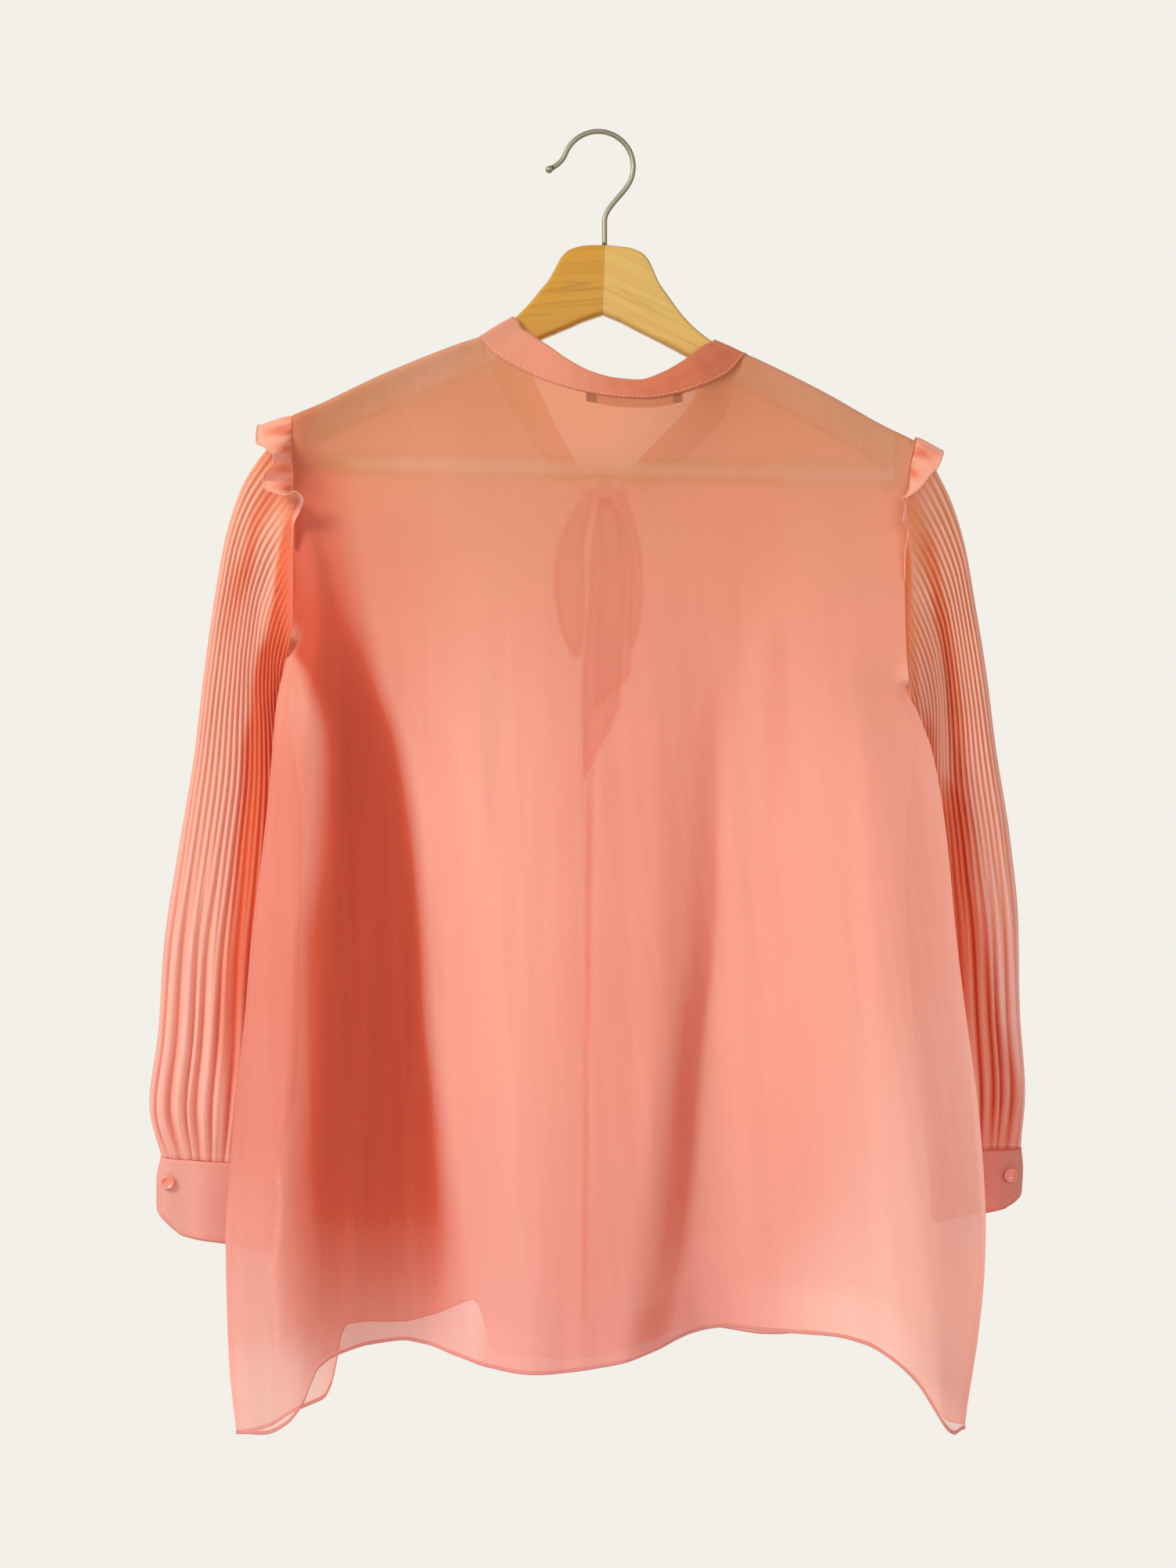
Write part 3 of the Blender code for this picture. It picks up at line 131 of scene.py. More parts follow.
def through(xs: Sequence[float], ys: Sequence[float], x: Array | float) -> Array:
    """Smooth curve through rising xs without overshoot: a limited cubic Hermite.

    Args:
        xs: Rising keys.
        ys: Value at each key.
        x: Where the curve is wanted; held at its ends beyond the keys.

    Returns:
        The curve's value at every x.
    """
    xs, ys = np.asarray(xs, float), np.asarray(ys, float)
    x = np.clip(np.asarray(x, float), xs[0], xs[-1])
    step = np.diff(xs)
    slope = np.diff(ys) / step
    product = slope[:-1] * slope[1:]
    inner = np.where(product > 0.0, 2.0 * product / np.where(product > 0.0, slope[:-1] + slope[1:], 1.0), 0.0)
    tangent = np.concatenate(([slope[0]], inner, [slope[-1]]))
    k = np.clip(np.searchsorted(xs, x) - 1, 0, len(step) - 1)
    t = (x - xs[k]) / step[k]
    return ((1 + 2 * t) * (1 - t) ** 2 * ys[k] + t * (1 - t) ** 2 * step[k] * tangent[k]
            + t * t * (3 - 2 * t) * ys[k + 1] + t * t * (t - 1) * step[k] * tangent[k + 1])


def table(rows: Rows, x: Array | float, key: int = 0, value: int = 1) -> Array:
    """Smooth lookup in a table, whatever way its key column runs."""
    rows = sorted(rows, key=lambda row: row[key])
    return through(column(rows, key), column(rows, value), x)


def between(rows: Rows, t: Array, count: int) -> Array:
    """First columns of a table at row numbers t, which may lie between its rows."""
    keys = np.arange(len(rows), dtype=float)
    return np.stack([through(keys, column(rows, k), t) for k in range(count)], axis=-1)


def streaks(place: Array, key: Array, bands: Sequence[Rows]) -> Array:
    """Strength of given streaks, each between two soft edges that wander down the cloth.

    Args:
        place: Place across the cloth.
        key: Place down it.
        bands: For each streak, rows of place down, one edge, its blur, the other edge, its
            blur and the strength.

    Returns:
        Strength of the strongest streak at every point.
    """
    total = 0.0 * (place + key)
    for rows in bands:
        left, left_blur, right, right_blur, power = (table(rows, key, 0, k) for k in range(1, 6))
        inside = smooth((place - left) / left_blur + 0.5) * smooth((right - place) / right_blur + 0.5)
        total = np.maximum(total, power * inside)
    return total


def unit(vectors: Array) -> Array:
    """Vectors scaled to length one."""
    return vectors / np.maximum(np.linalg.norm(vectors, axis=-1, keepdims=True), 1e-9)


def grid_normals(points: Array, closed: bool = False) -> Array:
    """Unit normals of a grid of points: the way down crossed with the way across.

    Args:
        points: Rows by columns by three.
        closed: Whether the last column meets the first.

    Returns:
        One unit normal for each point.
    """
    if closed:
        points = np.concatenate([points[:, -1:], points, points[:, :1]], axis=1)
    normal = unit(np.cross(np.gradient(points, axis=0), np.gradient(points, axis=1)))
    return normal[:, 1:-1] if closed else normal


def run_along(path: Array) -> Array:
    """Distance along a path of points, from 0 at its first."""
    return np.concatenate([[0.0], np.cumsum(np.linalg.norm(np.diff(path, axis=0), axis=1))])


def wander(x: Array, seed: int, wave: float, layers: int = 3) -> Array:
    """Uneven wave about zero: a few sines of unrelated lengths and phases, added up.

    Args:
        x: Place along the wave, in the units of wave.
        seed: Picks the phases.
        wave: Length of the longest wave.
        layers: How many sines are added.

    Returns:
        Values that mostly stay between -1 and 1.
    """
    random = np.random.default_rng(seed)
    total = np.zeros_like(np.asarray(x, float))
    for k in range(layers):
        length = wave / (1.0 + 0.83 * k + 0.2 * random.random())
        total = total + np.sin(2.0 * np.pi * (x / length + random.random())) / (1.0 + 0.6 * k)
    return total / 1.8


# --- meshes ------------------------------------------------------------------------------
def grid_faces(rows: int, columns: int, closed: bool) -> Array:
    """Four corners of every cell of a grid, so that a cell faces down crossed with across.

    Args:
        rows: Rows of the grid.
        columns: Its columns.
        closed: Whether the last column meets the first.

    Returns:
        Four corner numbers for each cell.
    """
    r, c = np.meshgrid(np.arange(rows - 1), np.arange(columns if closed else columns - 1), indexing="ij")
    a, b = r * columns + c, r * columns + (c + 1) % columns
    return np.stack([a, a + columns, b + columns, b], axis=-1).reshape(-1, 4)


def new_piece(name: str, points: Array, faces: Sequence, values: Mapping[str, Array] | None = None,
              uv: Array | None = None) -> bpy.types.Object:
    """Object from points in millimetres, with number attributes and a UV map per point.

    Args:
        name: Name of the object.
        points: One row of three for each vertex.
        faces: Corner numbers of each face.
        values: Named number for each vertex.
        uv: Two numbers for each vertex, in metres of cloth or grain.

    Returns:
        The object, at the origin and linked to the scene.
    """
    mesh = bpy.data.meshes.new(name)
    mesh.from_pydata((np.asarray(points) * MM).tolist(), [], [tuple(map(int, face)) for face in faces])
    for key, value in (values or {}).items():
        attribute = mesh.attributes.new(key, "FLOAT", "POINT")
        attribute.data.foreach_set("value", np.ascontiguousarray(value, np.float32).ravel())
    if uv is not None:
        corner = np.empty(len(mesh.loops), np.int32)
        mesh.loops.foreach_get("vertex_index", corner)
        layer = mesh.uv_layers.new(name="UVMap")
        layer.data.foreach_set("uv", np.asarray(uv, np.float32).reshape(-1, 2)[corner].ravel())
    mesh.shade_smooth()
    mesh.update()
    piece = bpy.data.objects.new(name, mesh)
    bpy.context.scene.collection.objects.link(piece)
    return piece


def cloth_uv(points: Array) -> Array:
    """Place on the cloth of each grid point: mean distance across and down, in metres.

    Args:
        points: Rows by columns by three, in millimetres.

    Returns:
        Rows by columns by two, in metres.
    """
    across = np.linalg.norm(np.diff(points, axis=1), axis=-1).mean(axis=0)
    down = np.linalg.norm(np.diff(points, axis=0), axis=-1).mean(axis=1)
    u = np.concatenate([[0.0], np.cumsum(across)]) * MM
    v = np.concatenate([[0.0], np.cumsum(down)]) * MM
    return np.stack(np.meshgrid(u, -v), axis=-1)


def surface(name: str, points: Array, closed: bool = False, flip: bool = False,
            values: Mapping[str, Array] | None = None) -> bpy.types.Object:
    """Single layer of cloth on a grid of points.

    Args:
        name: Name of the object.
        points: Rows by columns by three, in millimetres.
        closed: Whether the last column is sewn to the first.
        flip: Whether it faces the other way than down crossed with across.
        values: Named number for each grid point.

    Returns:
        The new object.
    """
    faces = grid_faces(points.shape[0], points.shape[1], closed)
    if flip:
        faces = faces[:, ::-1]
    return new_piece(name, points.reshape(-1, 3), faces, values, cloth_uv(points))


def shell(name: str, outer: Array, inner: Array,
          values: Mapping[str, Array] | None = None) -> bpy.types.Object:
    """Closed wall between two grids of one size, joined round its rim.

    Args:
        name: Name of the object.
        outer: Grid that faces out.
        inner: Grid that faces in.
        values: Named number for each grid point, the same on both sides.

    Returns:
        The new object, its faces pointing out.
    """
    rows, columns = outer.shape[:2]
    shift = rows * columns
    front = grid_faces(rows, columns, False)
    parts = [front, front[:, ::-1] + shift]
    c, r = np.arange(columns - 1), np.arange(rows - 1) * columns
    last, end = (rows - 1) * columns, r + columns - 1
    for a, b in ((c, c + 1), (last + c + 1, last + c), (r + columns, r), (end, end + columns)):
        parts.append(np.stack([a, b, b + shift, a + shift], axis=-1))
    points = np.concatenate([outer.reshape(-1, 3), inner.reshape(-1, 3)])
    both = {key: np.concatenate([value.ravel(), value.ravel()]) for key, value in (values or {}).items()}
    uv = np.concatenate([cloth_uv(outer).reshape(-1, 2)] * 2)
    return new_piece(name, points, np.concatenate(parts), both, uv)


def loft(name: str, rings: Array, uv: Array | None = None,
         values: Mapping[str, Array] | None = None) -> bpy.types.Object:
    """Solid through closed rings of equal count, with flat ends, facing out.

    Args:
        name: Name of the object.
        rings: Rings by points by three, in millimetres.
        uv: Rings by points by two.
        values: Named number for each point.

    Returns:
        The new object.
    """
    count, sides = rings.shape[:2]
    side_faces = grid_faces(count, sides, True)
    first, end = np.arange(sides), (count - 1) * sides + np.arange(sides)
    centre, middle = rings[:2].mean(axis=(0, 1)), rings[:2].mean(axis=0)
    normal = np.cross(rings[1] - rings[0], np.roll(middle, -1, axis=0) - middle)
    turned = float(np.sum(normal * (middle - centre))) < 0.0
    if turned:
        side_faces, first, end = side_faces[:, ::-1], first[::-1], end[::-1]
    faces = [*side_faces, tuple(first), tuple(end[::-1])]
    flat_values = {key: value.ravel() for key, value in (values or {}).items()}
    return new_piece(name, rings.reshape(-1, 3), faces, flat_values, uv)


def rolled_edge(name: str, edge: Array, inward: Array, normal: Array, width: Array | float,
                thickness: float, cover: float = 0.9, tone: float = 0.0) -> bpy.types.Object:
    """Rolled and stitched hem along an edge: a flat round-cornered tube carried along it.

    Args:
        name: Name of the object.
        edge: Points along the edge.
        inward: Unit way from each point into the cloth.
        normal: Unit normal of the cloth at each point.
        width: Width of the roll on the cloth.
        thickness: Thickness of the roll.
        cover: How much the doubled cloth hides.
        tone: Its shade, pale below zero and deep above.

    Returns:
        The new object.
    """
    angle = turns(10)
    out = np.sign(np.cos(angle)) * np.abs(np.cos(angle)) ** 0.7
    up = np.sign(np.sin(angle)) * np.abs(np.sin(angle)) ** 0.8
    half = 0.5 * np.broadcast_to(width, len(edge))[:, None]
    centre = edge + inward * (half - 0.35 * thickness)
    rings = (centre[:, None] + half[..., None] * out[None, :, None] * inward[:, None]
             + 0.5 * thickness * up[None, :, None] * normal[:, None])
    along = run_along(edge) * MM
    uv = join(along[:, None], half * MM * out[None, :])
    values = {"cover": np.full(rings.shape[:2], cover), "tone": np.full(rings.shape[:2], tone)}
    return loft(name, rings, uv, values)


def stitches(name: str, path: Array, normal: Array, pitch: float, length: float,
             radius: float) -> bpy.types.Object:
    """Row of short thread stitches lying along a path: tapered five-sided prisms.

    Args:
        name: Name of the object.
        path: Points that the row follows, on the cloth.
        normal: Unit normal of the cloth at each point.
        pitch: Distance from one stitch to the next.
        length: Length of one stitch.
        radius: Half the thread's thickness.

    Returns:
        One object that holds every stitch.
    """
    run = run_along(path)
    start = np.arange(0.5 * pitch, run[-1] - 0.5 * pitch, pitch)
    stations = start[:, None] + np.array([-0.5, -0.3, 0.3, 0.5])[None, :] * length
    lift = np.array([-0.2, 0.5, 0.5, -0.2]) * radius
    centre, up = (np.stack([np.interp(stations, run, line[:, k]) for k in range(3)], axis=-1)
                  for line in (path, normal))
    up = unit(up)
    way = unit(centre[:, -1:] - centre[:, :1])
    side = unit(np.cross(up, way))
    angle = turns(5)[:, None]
    size = radius * np.array([0.45, 1.0, 1.0, 0.45])
    rings = (centre + up * lift[:, None])[:, :, None] + size[:, None, None] * (
        np.cos(angle) * side[:, :, None] + np.sin(angle) * up[:, :, None])
    shift = 20 * np.arange(len(start))[:, None, None]
    quads = (grid_faces(4, 5, True) + shift).reshape(-1, 4)
    caps = (np.array([[0, 1, 2, 3, 4], [19, 18, 17, 16, 15]]) + shift).reshape(-1, 5)
    return new_piece(name, rings.reshape(-1, 3), [*quads[:, ::-1], *caps[:, ::-1]])


# --- finishes ----------------------------------------------------------------------------
def linear(code: str) -> tuple[float, float, float, float]:
    """Linear colour, with full alpha, of an sRGB hex value such as #F08A72.

    Args:
        code: The hex value.

    Returns:
        Red, green, blue and alpha.
    """
    parts = [int(code[k: k + 2], 16) / 255.0 for k in (1, 3, 5)]
    low = [c / 12.92 if c <= 0.04045 else ((c + 0.055) / 1.055) ** 2.4 for c in parts]
    return low[0], low[1], low[2], 1.0


def feed(tree: bpy.types.NodeTree, socket: bpy.types.NodeSocket, value: object) -> None:
    """Give an input its value, or link it to another socket or to a node's first output.

    Args:
        tree: The material's node tree.
        socket: The input.
        value: A plain value, a socket or a node.
    """
    if isinstance(value, bpy.types.Node):
        value = value.outputs[0]
    if isinstance(value, bpy.types.NodeSocket):
        tree.links.new(value, socket)
    else:
        socket.default_value = value


def add_node(tree: bpy.types.NodeTree, kind: str, settings: Mapping[str, object] | None = None,
             inputs: Mapping[str | int, object] | None = None) -> bpy.types.Node:
    """One node of a material.

    Args:
        tree: The material's node tree.
        kind: Blender's name of the node's type, less its ShaderNode.
        settings: Value for each of the node's own settings.
        inputs: For each input, a plain value, a socket or the node that feeds it.

    Returns:
        The new node.
    """
    node = tree.nodes.new("ShaderNode" + kind)
    for key, value in (settings or {}).items():
        setattr(node, key, value)
    for key, value in (inputs or {}).items():
        feed(tree, node.inputs[key], value)
    return node


def blend(tree: bpy.types.NodeTree, factor: object, first: object, second: object) -> bpy.types.NodeSocket:
    """Colour between two colours.

    Args:
        tree: The material's node tree.
        factor: What is 0 at the first colour and 1 at the second.
        first: A colour, or the socket that gives it.
        second: Another.

    Returns:
        The socket of the mixed colour.
    """
    node = add_node(tree, "Mix", {"data_type": "RGBA"}, {"Factor": factor})
    for socket, value in zip((s for s in node.inputs if s.type == "RGBA"), (first, second)):
        feed(tree, socket, value)
    return next(socket for socket in node.outputs if socket.type == "RGBA")


def new_material(name: str) -> tuple[bpy.types.Material, bpy.types.NodeTree]:
    """Empty node material and its tree.

    Args:
        name: Name of the material.

    Returns:
        The material and its node tree.
    """
    material = bpy.data.materials.new(name)
    material.use_nodes = True
    material.node_tree.nodes.clear()
    return material, material.node_tree


@dataclass(frozen=True)
class Chiffon:
    """Crepe chiffon of polyester, piece-dyed coral: sheer, matt, with a fine pebbled grain.

    A single hanging layer lets part of the light behind it straight through; doubled cloth
    and stacked folds stop nearly all of it and turn a deeper coral. By height it carries a
    painted shade: a darker tan near the hanger and a duller rose towards the hem.

    Three numbers on each point steer it. Cover is 0 where the cloth is thinnest and 1 where
    it is stacked. Tone is pale below 0, vivid at 1 and dark at 2: above 0 it holds doubled
    cloth and painted shade, below 0 thin cloth and painted light. Cool is 1 where the painted
    tan shade near the hanger is left out, and below 0 where there is more of it.
    """

    name: str = "coral_crepe_chiffon"
    # Pale gives thin cloth and painted light; vivid and dark give stacked cloth and painted shade; tan gives
    # the painted shade near the hanger.
    pale: str = "#FAD2C3"
    pink: str = "#EFAA96"
    rose: str = "#E8A39B"
    tan: str = "#C58A61"
    vivid: str = "#CB5439"
    dark: str = "#98200C"
    glow: str = "#F28562"
    thin_cover: float = 0.42  # share of what lies behind that one layer hides
    full_cover: float = 0.97
    tan_shade_span: tuple[float, float] = (-0.5, -0.19)  # heights in metres between which the painted tan shade grows
    rose_span: tuple[float, float] = (-0.62, -0.84)
    tan_shade_power: float = 1.5
    grain_mm: float = 1.5  # the real crepe pebble is about 0.4 mm, too fine to show
    slub_mm: tuple[float, float] = (3.0, 60.0)
    grain_height_mm: float = 0.16
    cloud_per_m: float = 9.0
    mottle: float = 0.1  # how far the slubs and the clouds shift the tone
    drift: float = 0.16
    weave: float = 0.08  # how far the grain shifts the cover
    roughness: float = 0.82
    back_lit: float = 0.3  # share of the light that comes through the fibres
    cleared: tuple[float, float, float, float] = (1.0, 0.94, 0.91, 1.0)

    def material(self) -> bpy.types.Material:
        """Node material of the cloth, steered by the attributes cover, tone and cool.

        Returns:
            The material.
        """
        material, tree = new_material(self.name)
        place = add_node(tree, "TexCoord").outputs["Object"]
        grain = add_node(tree, "TexNoise", {}, {
            "Vector": place, "Scale": 1.0 / (self.grain_mm * MM), "Detail": 2.0, "Roughness": 0.6})
        across, down = (1.0 / (size * MM) for size in self.slub_mm)
        stretched = add_node(tree, "Mapping", {}, {"Vector": place, "Scale": (across, across, down)})
        slub = add_node(tree, "TexNoise", {}, {"Vector": stretched, "Scale": 1.0, "Detail": 2.0})
        cloud = add_node(tree, "TexNoise", {}, {
            "Vector": place, "Scale": self.cloud_per_m, "Detail": 2.0})
        height = add_node(tree, "SeparateXYZ", {}, {0: place}).outputs["Z"]
        risen = add_node(tree, "MapRange", {}, {
            "Value": height, "From Min": self.tan_shade_span[0], "From Max": self.tan_shade_span[1]})
        cool = add_node(tree, "Attribute", {"attribute_name": "cool"}).outputs["Fac"]
        near = add_node(tree, "Math", {"operation": "POWER"}, {0: risen, 1: self.tan_shade_power})
        kept = add_node(tree, "Math", {"operation": "SUBTRACT"}, {0: 1.0, 1: cool})
        tan_shade = add_node(tree, "Math", {"operation": "MULTIPLY"}, {0: near, 1: kept})
        low = add_node(tree, "MapRange", {}, {
            "Value": height, "From Min": self.rose_span[0], "From Max": self.rose_span[1]})
        layers = add_node(tree, "Attribute", {"attribute_name": "cover"}).outputs["Fac"]
        tone = add_node(tree, "Attribute", {"attribute_name": "tone"}).outputs["Fac"]
        mottle = add_node(tree, "Math", {"operation": "MULTIPLY_ADD"}, {
            0: slub, 1: self.mottle, 2: -0.5 * self.mottle})
        drift = add_node(tree, "Math", {"operation": "MULTIPLY_ADD"}, {
            0: cloud, 1: self.drift, 2: -0.5 * self.drift})
        shift = add_node(tree, "Math", {}, {0: mottle, 1: drift})
        tinted = add_node(tree, "Math", {}, {0: tone, 1: shift})
        lighter = add_node(tree, "Math", {"operation": "MULTIPLY", "use_clamp": True}, {
            0: tinted, 1: -1.0})
        deeper = add_node(tree, "Math", {"use_clamp": True}, {0: tinted, 1: 0.0})
        darker = add_node(tree, "Math", {"operation": "SUBTRACT", "use_clamp": True}, {0: tinted, 1: 1.0})
        # Painted shade by height: duller rose low down, darker tan near the hanger.
        cooler = blend(tree, low, linear(self.pink), linear(self.rose))
        height_shaded = blend(tree, tan_shade, cooler, linear(self.tan))
        # Tone: paler for thin cloth and painted light, deeper and darker for stacked cloth and painted shade.
        washed = blend(tree, lighter, height_shaded, linear(self.pale))
        folded = blend(tree, deeper, washed, linear(self.vivid))
        colour = blend(tree, darker, folded, linear(self.dark))
        lit_fold = blend(tree, deeper, linear(self.glow), linear(self.vivid))
        glow = blend(tree, darker, lit_fold, linear(self.dark))
        bump = add_node(tree, "Bump", {}, {
            "Strength": 0.35, "Distance": self.grain_height_mm * MM, "Height": grain})
        fibre = add_node(tree, "BsdfPrincipled", {}, {
            "Base Color": colour, "Roughness": self.roughness, "Specular IOR Level": 0.25,
            "Sheen Weight": 0.15, "Sheen Roughness": 0.45, "Normal": bump})
        passed = add_node(tree, "BsdfTranslucent", {}, {"Color": glow, "Normal": bump})
        lit = add_node(tree, "MixShader", {}, {0: self.back_lit, 1: fibre, 2: passed})
        weave = add_node(tree, "Math", {"operation": "MULTIPLY_ADD"}, {
            0: grain, 1: self.weave, 2: -0.5 * self.weave})
        stacked = add_node(tree, "Math", {"operation": "MAXIMUM"}, {0: layers, 1: deeper})
        cover = add_node(tree, "MapRange", {}, {
            "Value": stacked, "From Min": 0.0, "From Max": 1.0,
            "To Min": self.thin_cover, "To Max": self.full_cover})
        held = add_node(tree, "Math", {"use_clamp": True}, {0: cover, 1: weave})
        clear = add_node(tree, "BsdfTransparent", {}, {"Color": self.cleared})
        mixed = add_node(tree, "MixShader", {}, {0: held, 1: clear, 2: lit})
        add_node(tree, "OutputMaterial", {}, {"Surface": mixed})
        return material


@dataclass(frozen=True)
class Wood:
    """Varnished softwood of one arm: long straight grain with a satin clear coat."""

    name: str
    light: str
    dark: str
    line: str
    ring_mm: float = 9.0  # distance between the year rings
    fibre_mm: float = 0.9
    stretch: float = 0.03  # how slowly both patterns change along the grain
    bump_mm: float = 0.2

    def material(self) -> bpy.types.Material:
        """Node material that reads the UV map: U runs along the grain, V across it.

        Returns:
            The material.
        """
        material, tree = new_material(self.name)
        uv = add_node(tree, "TexCoord").outputs["UV"]
        ring_place = add_node(tree, "Mapping", {}, {
            "Vector": uv, "Scale": (self.stretch / (self.ring_mm * MM), 1.0 / (self.ring_mm * MM), 1.0)})
        ring = add_node(tree, "TexNoise", {"noise_dimensions": "2D"}, {
            "Vector": ring_place, "Scale": 0.8, "Detail": 2.0, "Distortion": 0.15})
        fibre_place = add_node(tree, "Mapping", {}, {
            "Vector": uv, "Scale": (self.stretch / (self.fibre_mm * MM), 1.0 / (self.fibre_mm * MM), 1.0)})
        fibre = add_node(tree, "TexNoise", {"noise_dimensions": "2D"}, {
            "Vector": fibre_place, "Scale": 1.0, "Detail": 3.0})
        bands = add_node(tree, "Math", {"operation": "PINGPONG"}, {0: ring, 1: 0.11})
        line = add_node(tree, "MapRange", {}, {
            "Value": bands, "From Min": 0.0, "From Max": 0.04, "To Min": 0.34, "To Max": 0.0})
        tone = blend(tree, ring, linear(self.dark), linear(self.light))
        streak = add_node(tree, "MapRange", {}, {
            "Value": fibre, "From Min": 0.35, "From Max": 0.75, "To Min": 0.0, "To Max": 0.22})
        streaked = blend(tree, streak, tone, linear(self.dark))
        colour = blend(tree, line, streaked, linear(self.line))
        bump = add_node(tree, "Bump", {}, {
            "Strength": 0.12, "Distance": self.bump_mm * MM, "Height": fibre})
        shader = add_node(tree, "BsdfPrincipled", {}, {
            "Base Color": colour, "Roughness": 0.5, "Specular IOR Level": 0.3, "Coat Weight": 0.1,
            "Coat Roughness": 0.3, "Normal": bump})
        add_node(tree, "OutputMaterial", {}, {"Surface": shader})
        return material


@dataclass(frozen=True)
class Plain:
    """Solid finish with a fine unevenness: zinc-plated steel, dyed button, thread or label."""

    name: str
    colour: str
    shade: str
    roughness: float
    metallic: float = 0.0
    coat: float = 0.0
    grain_mm: float = 1.2
    bump_mm: float = 0.02

    def material(self) -> bpy.types.Material:
        """Node material with a soft noise between two near colours and in its roughness.

        Returns:
            The material.
        """
        material, tree = new_material(self.name)
        place = add_node(tree, "TexCoord").outputs["Object"]
        noise = add_node(tree, "TexNoise", {}, {
            "Vector": place, "Scale": 1.0 / (self.grain_mm * MM), "Detail": 3.0})
        colour = blend(tree, noise, linear(self.shade), linear(self.colour))
        rough = add_node(tree, "MapRange", {}, {
            "Value": noise, "To Min": self.roughness - 0.06, "To Max": self.roughness + 0.08})
        bump = add_node(tree, "Bump", {}, {
            "Strength": 0.3, "Distance": self.bump_mm * MM, "Height": noise})
        shader = add_node(tree, "BsdfPrincipled", {}, {
            "Base Color": colour, "Metallic": self.metallic, "Roughness": rough,
            "Coat Weight": self.coat, "Normal": bump})
        add_node(tree, "OutputMaterial", {}, {"Surface": shader})
        return material


class Wardrobe:
    """Every material of the part, made once and handed to the pieces."""

    def __init__(self) -> None:
        """Make each material."""
        # Crepe chiffon of the panels, bow and band: sheer and matt, rosy in the light.
        self.chiffon = Chiffon().material()
        # The same cloth heat-set in pleats: a paler painted tan shade that reaches lower, and a more vivid
        # painted shade in its folds.
        self.pleated = Chiffon("pleated_coral_chiffon", vivid="#E05C34", tan="#E09E6C",
                               tan_shade_span=(-0.74, -0.1)).material()
        # Sawn and varnished pine, one arm darker than the other: golden, with long dark year rings.
        self.wood_left = Wood("varnished_pine_dark", "#C18C2D", "#AF7A1C", "#845214").material()
        self.wood_right = Wood("varnished_pine_light", "#CAA55D", "#BC9549", "#A07838").material()
        # Turned beech: pale, with a close short grain.
        self.wood_bar = Wood("turned_beech", "#EBD3A4", "#D9B880", "#C09A60", ring_mm=4.0,
                             fibre_mm=0.7).material()
        # Drawn and plated steel wire: a soft grey-gold shine.
        self.steel = Plain("bright_plated_steel", "#9A927C", "#8A836D", 0.5, metallic=0.85,
                           grain_mm=20.0, bump_mm=0.001).material()
        # Cast polyester, dyed to the cloth: smooth, with a small bright highlight.
        self.button = Plain("dyed_polyester_button", "#EE917B", "#DE7A66", 0.26, coat=0.4).material()
        # Spun polyester thread: paler than the cloth that it holds.
        self.thread = Plain("coral_sewing_thread", "#FFC0A8", "#F2A088", 0.6).material()
        # Woven satin ribbon: a dull tan strip, and a darker copy of it on its folded-under ends, painted shade.
        self.label = Plain("woven_satin_label", "#E5AE92", "#DDA083", 0.5, grain_mm=0.8,
                           bump_mm=0.05).material()
        self.shaded_label_end = Plain("shaded_doubled_label_end", "#8E5334", "#7A4428", 0.6, grain_mm=0.8,
                               bump_mm=0.05).material()


def dress(piece: bpy.types.Object, material: bpy.types.Material, nodes: Sequence[str] = ()) -> bpy.types.Object:
    """Give a piece its finish and its body, and hide the solids it stands for.

    Args:
        piece: The new object.
        material: Its material.
        nodes: Solids that it stands for.

    Returns:
        The piece.
    """
    piece.data.materials.append(material)
    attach(piece, "root")
    if nodes:
        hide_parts(*nodes)
    mesh = piece.data
    mesh.calc_loop_triangles()
    made = sum(face.area for face in mesh.polygons)
    LOG.info("%s: %d triangles, %.4f m2", piece.name, len(mesh.loop_triangles), made)
    return piece


